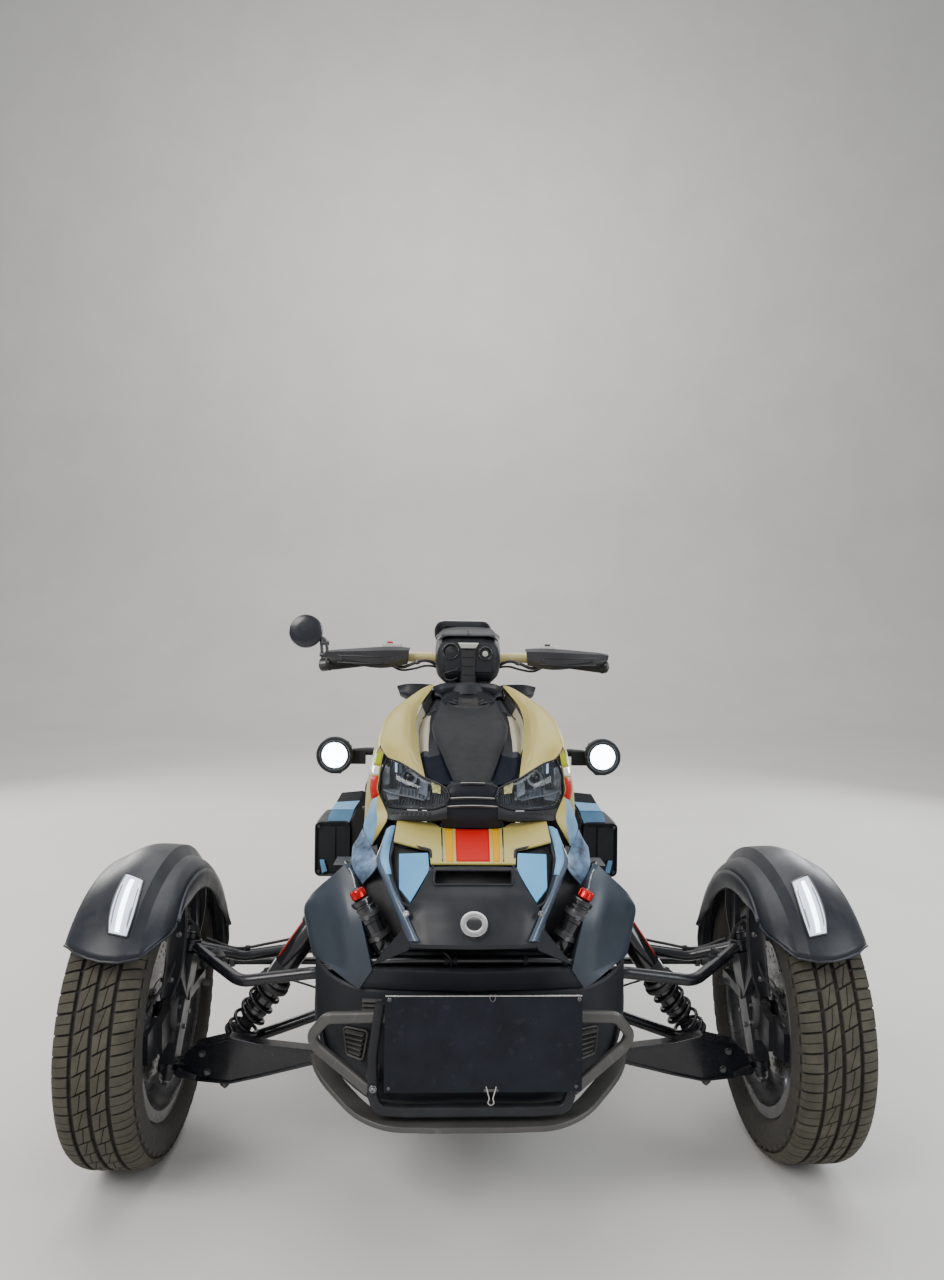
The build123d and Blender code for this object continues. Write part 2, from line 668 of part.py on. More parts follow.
# ---------------------------------------------------------------- seat and tail
seat_core = sections((
    (760, ((0, 690), (72, 690), (78, 716), (60, 738), (0, 742))),
    (880, ((0, 584), (122, 584), (140, 612), (120, 640), (0, 648))),
    (1020, ((0, 584), (158, 584), (176, 606), (150, 636), (0, 640))),
    (1170, ((0, 584), (150, 584), (168, 616), (140, 676), (0, 684))),
    (1290, ((0, 640), (110, 640), (122, 680), (96, 722), (0, 728))),
))
with BuildPart() as seat:
    add(seat_core)
    add(console_core, mode=Mode.SUBTRACT)
    add(main_frame.part, mode=Mode.SUBTRACT)
save(seat.part, "seat")


# ---------------------------------------------------------------- rear arm, hub, shock, rear fender, lamp
HUB_X = 62.0
arm_main = sections(((1012, ((-84, 262), (112, 262), (112, 372), (-84, 372))), (1180, ((-70, 272), (150, 272), (150, 372), (-70, 372))),
                     (1340, ((40, 270), (176, 270), (176, 352), (40, 352))),
                     (1372, ((112, 264), (176, 264), (176, 344), (112, 344))),
                     (1709, ((112, 246), (170, 246), (170, 344), (112, 344)))), False)
axle_stub = rod((112, WHEELBASE, RZ), (-52, WHEELBASE, RZ), SPINDLE_R)
drive_case = rod((66, WHEELBASE, RZ), (174, WHEELBASE, RZ), 82)
with BuildPart() as rear_arm:
    add(arm_main)
    add(drive_case)
    add(axle_stub)
save(rear_arm.part, "rear_arm")

shock_rear_low, shock_rear_top = Vector(0, 1168, 374), Vector(0, 1066, 512)
rear_dir = (shock_rear_top - shock_rear_low).normalized()
rear_len = (shock_rear_top - shock_rear_low).length
rear_bits = [
    rod(tuple(shock_rear_low + rear_dir * d0), tuple(shock_rear_low + rear_dir * d1), r)
    for d0, d1, r in ((8, 60, 10), (30, 40, 32), (40, 140, 24), (138, rear_len - 8, 32))
]
with BuildPart() as rear_shock:
    for piece in rear_bits:
        add(piece)
    add(arm_main, mode=Mode.SUBTRACT)
    add(main_frame.part, mode=Mode.SUBTRACT)
save(rear_shock.part, "rear_shock")

# rear fender over the tyre: (offset from the middle, radius about the axle)
REAR_FENDER = ((118, 300), (118, 322), (96, 338), (-96, 338), (-118, 322), (-118, 300), (-113, 300), (-113, 320), (-94, 333),
               (94, 333), (113, 320), (113, 300))
a0 = math.radians(64)
with BuildPart() as rear_fender:
    with BuildSketch(Plane(origin=(0, YR, RZ), x_dir=(1, 0, 0), z_dir=(0, -math.sin(a0), -math.cos(a0)))):
        with BuildLine():
            Polyline(*REAR_FENDER, close=True)
        make_face()
    revolve(axis=Axis((0, YR, RZ), (-1, 0, 0)), revolution_arc=92)
    add(side_plate([(WHEELBASE - 96, 330), (WHEELBASE + 40, 330), (WHEELBASE + 60, 596), (WHEELBASE - 60, 612), (WHEELBASE - 110, 600)],
                   113, 125))
    add(rear_arm.part, mode=Mode.SUBTRACT)
save(rear_fender.part, "rear_fender")

# tail lamp with the blank plate carrier behind it
TAIL_A = REAR_END - YF  # rear end, as distance behind the front axle
with BuildPart() as tail_lamp:
    add(side_plate([(TAIL_A - 62, 468), (TAIL_A - 30, 530), (TAIL_A - 12, 512), (TAIL_A - 4, 478), (TAIL_A - 34, 452)], -92, 92))
    add(side_plate([(TAIL_A - 22, 452), (TAIL_A - 8, 480), (TAIL_A, 470), (TAIL_A - 8, 318), (TAIL_A - 14, 318)], -88, 88))
    add(rear_fender.part, mode=Mode.SUBTRACT)
save(tail_lamp.part, "tail_lamp")

# ---------------------------------------------------------------- exhaust and footrests
pipe = tube(((-152, 560, 262), (-186, 640, 232), (-196, 860, 228)), 24, 1, 40)
with BuildPart() as muffler:
    add(pipe)
    with BuildSketch(Plane.XZ.offset(-ahead(850))):
        with Locations((-202, 250)):
            RectangleRounded(104, 136, 34)
    extrude(amount=-420)
    with BuildSketch(Plane.XZ.offset(-ahead(1250))):
        with Locations((-202, 262)):
            Circle(30)
            Circle(25, mode=Mode.SUBTRACT)
    extrude(amount=-50)
    with BuildSketch(Plane.XZ.offset(-ahead(980))):
        with Locations((-120, 250)):
            Rectangle(62, 30)
    extrude(amount=-26)
    add(rear_arm.part, mode=Mode.SUBTRACT)
    add(main_frame.part, mode=Mode.SUBTRACT)
    add(block(-150, 150, 190, 890, 200, 512, 30), mode=Mode.SUBTRACT)
save(muffler.part, "muffler")

rest_bits = []
for s, _ in SIDES:
    rest_bits.append(block(min(s * 232, s * 262), max(s * 232, s * 262), 330, 640, 150, 186))
    for a in (380, 560):
        rest_bits.append(block(min(s * 91, s * 236), max(s * 91, s * 236), a, a + 36, 152, 184))
    rest_bits.append(block(min(s * 258, s * 392), max(s * 258, s * 392), 420, 496, 190, 214))
    rest_bits.append(block(min(s * 236, s * 270), max(s * 236, s * 270), 436, 480, 150, 214))
with BuildPart() as footrests:
    for piece in rest_bits:
        add(piece)
save(footrests.part, "footrests")

# ---------------------------------------------------------------- handlebar
BAR = ((0, 446, 1022), (120, 448, 1028), (230, 458, 1022), (372, 500, 1004))
bar_tube = tube([(-x, a, z) for x, a, z in reversed(BAR[1:])] + list(BAR[1:]), 13, 1, 60)
with BuildPart() as handlebar:
    with BuildSketch(column_plane(-312)):
        Circle(COLUMN_R)
    extrude(amount=348)
    with BuildSketch(column_plane(6)):
        Circle(30)
    extrude(amount=22)
    add(block(-34, 34, 416, 470, 962, 1044))
    add(bar_tube)
save(handlebar.part, "handlebar")

grip_dir = (Vector(*BAR[3]) - Vector(*BAR[2])).normalized()
with BuildPart() as grips:
    for s, _ in SIDES:
        start, end = Vector(*BAR[2]) + grip_dir * 12, Vector(*BAR[3]) + grip_dir * 4
        d = Vector(s * grip_dir.X, grip_dir.Y, grip_dir.Z)
        with BuildSketch(Plane(origin=at(tuple(start), s), z_dir=d)):
            Circle(17.5)
            Circle(13.2, mode=Mode.SUBTRACT)
        extrude(amount=(end - start).length)
save(grips.part, "grips")

# hand guards: sections on +X of (x, (distance, z) quad)
GUARD = ((166, ((414, 996), (430, 996), (430, 1040), (416, 1042))), (250, ((398, 984), (412, 984), (412, 1040), (400, 1042))),
         (372, ((424, 1006), (440, 1004), (440, 1036), (428, 1038))))


def guard(s):
    with BuildPart() as p:
        for x, quad in GUARD:
            with BuildSketch(Plane.YZ.offset(s * x)):
                with BuildLine():
                    Polyline(*[(ahead(a), z) for a, z in quad], close=True)
                make_face()
        loft(ruled=True)
    return p.part


guards = [guard(s) for s, _ in SIDES]
guard_mounts = [block(min(s * 168, s * 200), max(s * 168, s * 200), 426, 470, 1004, 1040) for s, _ in SIDES]
with BuildPart() as hand_guards:
    for piece in guards:
        add(piece)
    for piece in guard_mounts:
        add(piece)
    add(handlebar.part, mode=Mode.SUBTRACT)
save(hand_guards.part, "hand_guards")

# gauge pod, its face tilted to the rider, and the visor over it
with BuildPart() as gauge_pod:
    add(sections((
        (372, ((0, 992), (62, 992), (78, 1016), (80, 1050), (64, 1070), (0, 1074))),
        (412, ((0, 958), (60, 958), (84, 1000), (84, 1064), (70, 1090), (0, 1096))),
        (500, ((0, 1052), (66, 1052), (76, 1062), (78, 1098), (64, 1118), (0, 1124))),
        (520, ((0, 1058), (62, 1058), (72, 1066), (74, 1100), (60, 1118), (0, 1122))),
    )))
    add(handlebar.part, mode=Mode.SUBTRACT)
save(gauge_pod.part, "gauge_pod")

with BuildPart() as mirror:
    add(rod((-380, 503, 1008), (-388, 500, 1076), 6))
    add(rod((-388, 500, 1076), (-420, 494, 1084), 6))
    add(rod((-432, 486, 1086), (-432, 502, 1088), 45))
    add(rod((-374, 501, 1003), (-392, 507, 1001), 16))
    add(handlebar.part, mode=Mode.SUBTRACT)
    add(grips.part, mode=Mode.SUBTRACT)
save(mirror.part, "mirror")
print("written")
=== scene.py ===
"""Looks of a three-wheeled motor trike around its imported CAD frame.

Geometry is written in millimetres as (x, a, z): x towards the rider's left, a the distance behind the front axle, z up.
"""

import bpy
import bmesh
import math
import random
import numpy as np
from mathutils import Matrix, Vector


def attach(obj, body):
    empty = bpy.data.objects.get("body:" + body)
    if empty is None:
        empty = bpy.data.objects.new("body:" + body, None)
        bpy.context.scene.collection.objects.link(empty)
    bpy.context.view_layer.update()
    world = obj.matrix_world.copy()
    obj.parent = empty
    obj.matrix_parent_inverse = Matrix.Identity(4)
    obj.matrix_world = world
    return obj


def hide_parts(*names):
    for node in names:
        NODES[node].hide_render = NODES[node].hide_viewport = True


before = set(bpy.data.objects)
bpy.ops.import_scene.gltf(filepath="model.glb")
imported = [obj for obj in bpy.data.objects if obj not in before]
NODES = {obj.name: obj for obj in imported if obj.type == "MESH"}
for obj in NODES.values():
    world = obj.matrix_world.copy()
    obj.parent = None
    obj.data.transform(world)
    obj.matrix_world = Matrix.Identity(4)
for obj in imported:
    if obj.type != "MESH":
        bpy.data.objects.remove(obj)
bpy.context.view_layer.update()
YF = -0.858
FX, FZ, RA, RZ = 679.5, 290.2, 1709.0, 295.5  # front wheel centre x and z, rear wheel centre a and z
random.seed(7)

# ---------------------------------------------------------------- camera: the photograph's viewing angle
FOCAL, CX, CY = 870.0, 478.0, 640.0  # pixels of a 944 x 1280 image
CAM = Vector((-0.055, YF - 1.85, 1.073))
_yaw, _roll = math.radians(2.05), math.radians(0.72)
_fwd = Vector((math.sin(_yaw), math.cos(_yaw), 0.0))
_right = Vector((math.cos(_yaw), -math.sin(_yaw), 0.0))
_up = Vector((0, 0, 1))
CAM_R = _right * math.cos(_roll) + _up * math.sin(_roll)
CAM_U = _up * math.cos(_roll) - _right * math.sin(_roll)


def px(u, v, a):
    """The point at distance a that the camera sees at (u, v) of its 944 x 1280 image."""
    d = _fwd + CAM_R * ((u - CX) / FOCAL) + CAM_U * ((CY - v) / FOCAL)
    t = (YF + a / 1000 - CAM.y) / d.y
    p = CAM + d * t
    return (p.x * 1000, a, p.z * 1000)


cam_data = bpy.data.cameras.new("camera")
cam_data.sensor_width = 36.0
cam_data.lens = FOCAL * 36.0 / 1280
cam_data.shift_x = -(CX - 472) / 1280
cam_data.clip_start, cam_data.clip_end = 0.05, 60
camera = bpy.data.objects.new("camera", cam_data)
bpy.context.scene.collection.objects.link(camera)
rot = Matrix((CAM_R, CAM_U, -_fwd)).transposed()
camera.matrix_world = Matrix.Translation(CAM) @ rot.to_4x4()
bpy.context.scene.camera = camera


# ---------------------------------------------------------------- mesh helpers
def V(p):
    return np.array(p, float)


def unit(d):
    d = V(d)
    return d / np.linalg.norm(d)


def basis(d):
    """Two unit vectors square to d."""
    d = unit(d)
    ref = np.array([0, 0, 1.0]) if abs(d[2]) < 0.9 else np.array([0, 1.0, 0])
    u = unit(np.cross(ref, d))
    return u, np.cross(d, u)


class Geo:
    """Faces in millimetres, with one material index each."""

    def __init__(self):
        self.v, self.f, self.m = [], [], []

    def put(self, verts, faces, mat=0):
        n = len(self.v)
        self.v.extend((float(p[0]), float(p[1]), float(p[2])) for p in verts)
        self.f.extend(tuple(int(i) + n for i in f) for f in faces)
        self.m.extend([mat] * len(faces))
        return self

    def add(self, other, mat=None):
        n = len(self.v)
        self.v.extend(other.v)
        self.f.extend(tuple(i + n for i in f) for f in other.f)
        self.m.extend(other.m if mat is None else [mat] * len(other.f))
        return self

    def mirror(self):
        g = Geo()
        g.v = [(-x, a, z) for x, a, z in self.v]
        g.f = [tuple(reversed(f)) for f in self.f]
        g.m = list(self.m)
        return g

    def both(self):
        """This and its mirror image across x = 0."""
        return Geo().add(self).add(self.mirror())

    def moved(self, dx=0, da=0, dz=0):
        g = Geo()
        g.v = [(x + dx, a + da, z + dz) for x, a, z in self.v]
        g.f, g.m = list(self.f), list(self.m)
        return g


def build(name, geo, mats, body, replaces=(), slot=None, bevel=0.0, segments=2, subdiv=0, angle=34, solid=0.0, weld=0.0, fix=True):
    """Makes a piece from a Geo. bevel, solid and weld in mm."""
    me = bpy.data.meshes.new(name)
    me.from_pydata([(x / 1000, YF + a / 1000, z / 1000) for x, a, z in geo.v], [], geo.f)
    mats = mats if isinstance(mats, (list, tuple)) else [mats]
    for m in mats:
        me.materials.append(m)
    me.polygons.foreach_set("material_index", geo.m)
    me.validate()
    bm = bmesh.new()
    bm.from_mesh(me)
    if weld:
        bmesh.ops.remove_doubles(bm, verts=bm.verts, dist=weld / 1000)
    if fix:
        bmesh.ops.recalc_face_normals(bm, faces=bm.faces)
    bm.to_mesh(me)
    bm.free()
    me.polygons.foreach_set("use_smooth", [True] * len(me.polygons))
    o = bpy.data.objects.new(name, me)
    bpy.context.scene.collection.objects.link(o)
    if subdiv:
        s = o.modifiers.new("subdiv", "SUBSURF")
        s.levels = s.render_levels = subdiv
    if solid:
        s = o.modifiers.new("solid", "SOLIDIFY")
        s.thickness, s.offset = solid / 1000, -1
        s.use_even_offset = True
    if bevel:
        b = o.modifiers.new("bevel", "BEVEL")
        b.width, b.segments = bevel / 1000, segments
        b.limit_method, b.angle_limit = "ANGLE", math.radians(30)
        b.use_clamp_overlap = True
        n = o.modifiers.new("normals", "WEIGHTED_NORMAL")
        n.keep_sharp, n.weight = True, 60
    else:
        me.set_sharp_from_angle(angle=math.radians(angle))
    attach(o, body)
    if replaces:
        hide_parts(*([replaces] if isinstance(replaces, str) else replaces))
    return o


def round_path(pts, r, steps=6, closed=False):
    """Polyline with its corners turned into arcs of radius r."""
    pts = [V(p) for p in pts]
    out = [] if closed else [pts[0]]
    idx = range(len(pts)) if closed else range(1, len(pts) - 1)
    for i in idx:
        p, q, s = pts[i - 1], pts[i], pts[(i + 1) % len(pts)]
        a, b = unit(p - q), unit(s - q)
        ang = math.acos(max(-1, min(1, float(a @ b))))
        if ang > math.pi - 0.02:
            out.append(q)
            continue
        cut = min(r / math.tan(ang / 2), 0.48 * np.linalg.norm(p - q), 0.48 * np.linalg.norm(s - q))
        rr = cut * math.tan(ang / 2)
        c = q + unit(a + b) * (rr / math.sin(ang / 2))
        t0, t1 = q + a * cut, q + b * cut
        n0, n1 = unit(t0 - c), unit(t1 - c)
        om = math.acos(max(-1, min(1, float(n0 @ n1))))
        for k in range(steps + 1):
            t = k / steps
            d = (math.sin((1 - t) * om) * n0 + math.sin(t * om) * n1) / max(math.sin(om), 1e-9)
            out.append(c + d * rr)
    if not closed:
        out.append(pts[-1])
    return out


def sweep(geo, pts, section, mat=0, caps=True, closed=False, up=None, scale=None):
    """Carries a closed 2D section (list of (u, v) mm) along points. up fixes the section's v direction."""
    pts = [V(p) for p in pts]
    n, k = len(pts), len(section)
    rings, u = [], None
    for i in range(n):
        if closed:
            d = unit(pts[(i + 1) % n] - pts[i - 1])
        else:
            d = unit(pts[min(i + 1, n - 1)] - pts[max(i - 1, 0)])
        if up is not None:
            w = V(up)
            u = unit(np.cross(w, d))
        elif u is None:
            u = basis(d)[0]
        else:
            u = unit(u - d * float(u @ d))
        v = np.cross(d, u)
        s = 1.0 if scale is None else scale[i] if hasattr(scale, "__len__") else scale
        rings.append([pts[i] + u * (c[0] * s) + v * (c[1] * s) for c in section])
    verts = [p for ring in rings for p in ring]
    faces = []
    for i in range(n if closed else n - 1):
        j = (i + 1) % n
        for c in range(k):
            e = (c + 1) % k
            faces.append((i * k + c, i * k + e, j * k + e, j * k + c))
    if caps and not closed:
        faces.append(tuple(reversed(range(k))))
        faces.append(tuple((n - 1) * k + c for c in range(k)))
    geo.put(verts, faces, mat)
    return geo


def circle(r, n=16, start=0.0):
    return [(r * math.cos(2 * math.pi * i / n + start), r * math.sin(2 * math.pi * i / n + start)) for i in range(n)]


def rounded_rect(w, h, r, n=4):
    """Closed outline of a rectangle with rounded corners, centred."""
    out = []
    for cx, cy, a0 in ((w / 2 - r, h / 2 - r, 0), (-w / 2 + r, h / 2 - r, 90), (-w / 2 + r, -h / 2 + r, 180), (w / 2 - r, -h / 2 + r, 270)):
        for i in range(n + 1):
            t = math.radians(a0 + 90 * i / n)
            out.append((cx + r * math.cos(t), cy + r * math.sin(t)))
    return out


def tube(geo, pts, r, mat=0, n=14, bend=0.0, closed=False, caps=True, steps=6):
    path = round_path(pts, bend, steps, closed) if bend else pts
    return sweep(geo, path, circle(r, n), mat, caps, closed)


def lathe(geo, origin, axis, profile, mat=0, n=32, closed=False, arc=None):
    """Turns a profile of (distance along axis, radius) about the axis. closed joins the profile's ends."""
    o, d = V(origin), unit(axis)
    u, v = basis(d)
    k = len(profile)
    verts, faces = [], []
    for t, r in profile:
        for i in range(n):
            a = 2 * math.pi * i / n
            verts.append(o + d * t + (u * math.cos(a) + v * math.sin(a)) * r)
    rows = k if closed else k - 1
    for j in range(rows):
        j2 = (j + 1) % k
        for i in range(n):
            i2 = (i + 1) % n
            faces.append((j * n + i, j * n + i2, j2 * n + i2, j2 * n + i))
    if not closed:
        if profile[0][1] > 0.01:
            faces.append(tuple(reversed(range(n))))
        if profile[-1][1] > 0.01:
            faces.append(tuple((k - 1) * n + i for i in range(n)))
    geo.put(verts, faces, mat)
    return geo


def rod(geo, p, q, r, mat=0, n=24, ease=1.0, r2=None):
    """Round bar between two points with eased ends."""
    p, q = V(p), V(q)
    h = float(np.linalg.norm(q - p))
    r2 = r if r2 is None else r2
    e = min(ease, h / 3, r / 2, r2 / 2)
    return lathe(geo, p, q - p, [(0, max(r - e, 0.01)), (e * 0.3, r - 0.3 * e), (e, r), (h - e, r2), (h - e * 0.3, r2 - 0.3 * e), (h, max(r2 - e, 0.01))], mat, n)


def slab(geo, outline, origin, u, v, thick, mat=0, inset=0.0):
    """Plate from a 2D outline in the plane (u, v), thick along u x v. inset slopes its far face inward."""
    o, u, v = V(origin), unit(u), unit(v)
    w = np.cross(u, v)
    pts = [V((x, y)) for x, y in outline]
    far = pts
    if inset:
        far = []
        k = len(pts)
        area = sum(pts[i][0] * pts[(i + 1) % k][1] - pts[(i + 1) % k][0] * pts[i][1] for i in range(k))
        sg = 1 if area > 0 else -1
        for i in range(k):
            a, b, c = pts[i - 1], pts[i], pts[(i + 1) % k]
            e1, e2 = b - a, c - b
            n1 = V((-e1[1], e1[0])) * sg / max(np.linalg.norm(e1), 1e-9)
            n2 = V((-e2[1], e2[0])) * sg / max(np.linalg.norm(e2), 1e-9)
            m = n1 + n2
            m = m / max(float(m @ m) / 2, 0.3)
            far.append(b + m * inset)
    k = len(pts)
    verts = [o + u * p[0] + v * p[1] for p in pts] + [o + u * p[0] + v * p[1] + w * thick for p in far]
    faces = [tuple(reversed(range(k))), tuple(range(k, 2 * k))]
    for i in range(k):
        j = (i + 1) % k
        faces.append((i, j, k + j, k + i))
    geo.put(verts, faces, mat)
    return geo


def front_plate(geo, outline, a, thick, mat=0, inset=0.0):
    """Plate facing forward: outline of (x, z), its front face at a, thick rearwards; inset slopes its front face."""
    return slab(geo, [(x, z) for x, z in outline], (0, a + thick, 0), (1, 0, 0), (0, 0, 1), thick, mat, inset)


def side_plate(geo, outline, x0, thick, mat=0, inset=0.0):
    """Plate facing sideways: outline of (a, z) at x0, thick towards +X."""
    return slab(geo, outline, (x0, 0, 0), (0, 1, 0), (0, 0, 1), thick, mat, inset)


def top_plate(geo, outline, z0, thick, mat=0, inset=0.0):
    return slab(geo, outline, (0, 0, z0), (1, 0, 0), (0, 1, 0), thick, mat, inset)


def box(geo, x0, x1, a0, a1, z0, z1, mat=0):
    return top_plate(geo, [(x0, a0), (x1, a0), (x1, a1), (x0, a1)], z0, z1 - z0, mat)


def loft(geo, rings, mat=0, caps=True, closed=True):
    """Skin through rings of equal point counts."""
    k, n = len(rings[0]), len(rings)
    verts = [p for ring in rings for p in ring]
    faces = []
    for i in range(n - 1):
        for c in range(k if closed else k - 1):
            e = (c + 1) % k
            faces.append((i * k + c, i * k + e, (i + 1) * k + e, (i + 1) * k + c))
    if caps and closed:
        faces.append(tuple(reversed(range(k))))
        faces.append(tuple((n - 1) * k + c for c in range(k)))
    geo.put(verts, faces, mat)
    return geo


def spline(pts, n=6, sharp=(), closed=False):
    """Smooth curve through points (chord-scaled Hermite), n steps a span, corners at the indices in sharp."""
    p = np.array([V(q) for q in pts])
    k = len(p)
    if closed:
        p = np.concatenate([p[-1:], p, p[:2]])
    d = np.maximum(np.linalg.norm(np.diff(p, axis=0), axis=1), 1e-6)
    s = np.diff(p, axis=0) / d[:, None]
    m = len(p)
    tin, tout = np.zeros_like(p), np.zeros_like(p)
    for i in range(m):
        j = i - 1 if closed else i
        if i == 0:
            t0 = t1 = s[0]
        elif i == m - 1:
            t0 = t1 = s[-1]
        elif j in sharp:
            t0, t1 = s[i - 1], s[i]
        else:
            t0 = t1 = (d[i] * s[i - 1] + d[i - 1] * s[i]) / (d[i - 1] + d[i])
        tin[i], tout[i] = t0, t1
    out = []
    lo, hi = (1, k + 1) if closed else (0, k - 1)
    for i in range(lo, hi):
        for c in range(n):
            t = c / n
            h00, h10, h01, h11 = 2 * t**3 - 3 * t * t + 1, t**3 - 2 * t * t + t, -2 * t**3 + 3 * t * t, t**3 - t * t
            out.append(h00 * p[i] + h10 * d[i] * tout[i] + h01 * p[i + 1] + h11 * d[i] * tin[i + 1])
    if not closed:
        out.append(p[-1])
    return np.array(out)


def net(geo, rows, nr=5, nc=5, sharp_r=(), sharp_c=(), mat=0, closed_c=False, mat_of=None, flip=False):
    """Smooth surface through a net of control points. rows are lists of points with equal counts."""
    lines = [spline(r, nc, sharp_c, closed_c) for r in rows]
    grid = np.array([spline([line[j] for line in lines], nr, sharp_r) for j in range(len(lines[0]))])
    grid = np.transpose(grid, (1, 0, 2))
    nrw, ncl = grid.shape[:2]
    faces, mats = [], []
    for i in range(nrw - 1):
        for j in range(ncl if closed_c else ncl - 1):
            e = (j + 1) % ncl
            f = (i * ncl + j, i * ncl + e, (i + 1) * ncl + e, (i + 1) * ncl + j)
            faces.append(tuple(reversed(f)) if flip else f)
            mats.append(mat_of(grid[i, j]) if mat_of else mat)
    n = len(geo.v)
    geo.put(grid.reshape(-1, 3), faces, mat)
    if mat_of:
        geo.m[-len(mats):] = mats
    return geo


def bolt(geo, p, d, r=5.0, h=4.0, mat=0, kind="hex"):
    """Bolt head standing on p along d."""
    p, d = V(p), unit(d)
    lathe(geo, p - d * 1.0, d, [(0, r * 1.35), (1.6, r * 1.35), (2.0, r * 1.25)], mat, 20)
    if kind == "hex":
        lathe(geo, p + d * 0.9, d, [(0, r * 1.08), (h - 0.8, r * 1.08), (h, r * 0.9)], mat, 6)
    else:
        lathe(geo, p + d * 0.9, d, [(0, r), (h - 0.8, r), (h, r * 0.86), (h, r * 0.52), (h * 0.45, r * 0.5)], mat, 18)
    return geo


def helix(p, q, r, turns, n=18):
    """Points of a coil between p and q."""
    p, q = V(p), V(q)
    u, v = basis(q - p)
    total = int(turns * n)
    out = []
    for i in range(total + 1):
        t = i / total
        # end turns lie closer together
        s = t + 0.035 * math.sin(2 * math.pi * t) * -1
        a = 2 * math.pi * turns * t
        out.append(p + (q - p) * s + (u * math.cos(a) + v * math.sin(a)) * r)
    return out


def mirrored_build(name, geo, mats, bodies, **kw):
    """The +X piece on bodies[0] and its mirror image on bodies[1]."""
    reps, slot = kw.pop("replaces", (None, None)), kw.pop("slot", None)
    a = build(name + "_left", geo, mats, bodies[0], replaces=reps[0] or (), slot=slot, **kw)
    b = build(name + "_right", geo.mirror(), mats, bodies[1], replaces=reps[1] or (), slot=slot, **kw)
    return a, b


# ---------------------------------------------------------------- materials
def new_material(name):
    m = bpy.data.materials.new(name)
    m.use_nodes = True
    nt = m.node_tree
    return m, nt, nt.nodes["Principled BSDF"]


def node(nt, kind, **values):
    n = nt.nodes.new("ShaderNode" + kind)
    for k, v in values.items():
        if k.startswith("in_"):
            n.inputs[int(k[3:])].default_value = v
        else:
            setattr(n, k, v)
    return n


def noise(nt, co, scale, detail=3.0, rough=0.55, distortion=0.0):
    n = node(nt, "TexNoise")
    n.inputs["Scale"].default_value = scale
    n.inputs["Detail"].default_value = detail
    n.inputs["Roughness"].default_value = rough
    n.inputs["Distortion"].default_value = distortion
    nt.links.new(co, n.inputs["Vector"])
    return n.outputs["Fac"]


def ramp(nt, fac, stops, mode="LINEAR"):
    n = node(nt, "ValToRGB")
    cr = n.color_ramp
    cr.interpolation = mode
    while len(cr.elements) < len(stops):
        cr.elements.new(0.5)
    for e, (pos, col) in zip(cr.elements, stops):
        e.position = pos
        e.color = (*col, 1) if len(col) == 3 else col
    nt.links.new(fac, n.inputs[0])
    return n.outputs[0]


def grey(v):
    return (v, v, v)


def mix(nt, fac, a, b, kind="MIX"):
    """Mixes two colours; each is a socket or a colour."""
    n = node(nt, "Mix", data_type="RGBA", blend_type=kind)
    for sock, val in ((n.inputs[0], fac), (n.inputs[6], a), (n.inputs[7], b)):
        if hasattr(val, "links") or hasattr(val, "is_output"):
            nt.links.new(val, sock)
        else:
            sock.default_value = val if not hasattr(val, "__len__") else (*val[:3], 1)
    return n.outputs[2]


def math_node(nt, op, a, b=None, clamp=False):
    n = node(nt, "Math", operation=op, use_clamp=clamp)
    for i, val in enumerate((a, b)):
        if val is None:
            continue
        if hasattr(val, "is_output"):
            nt.links.new(val, n.inputs[i])
        else:
            n.inputs[i].default_value = val
    return n.outputs[0]


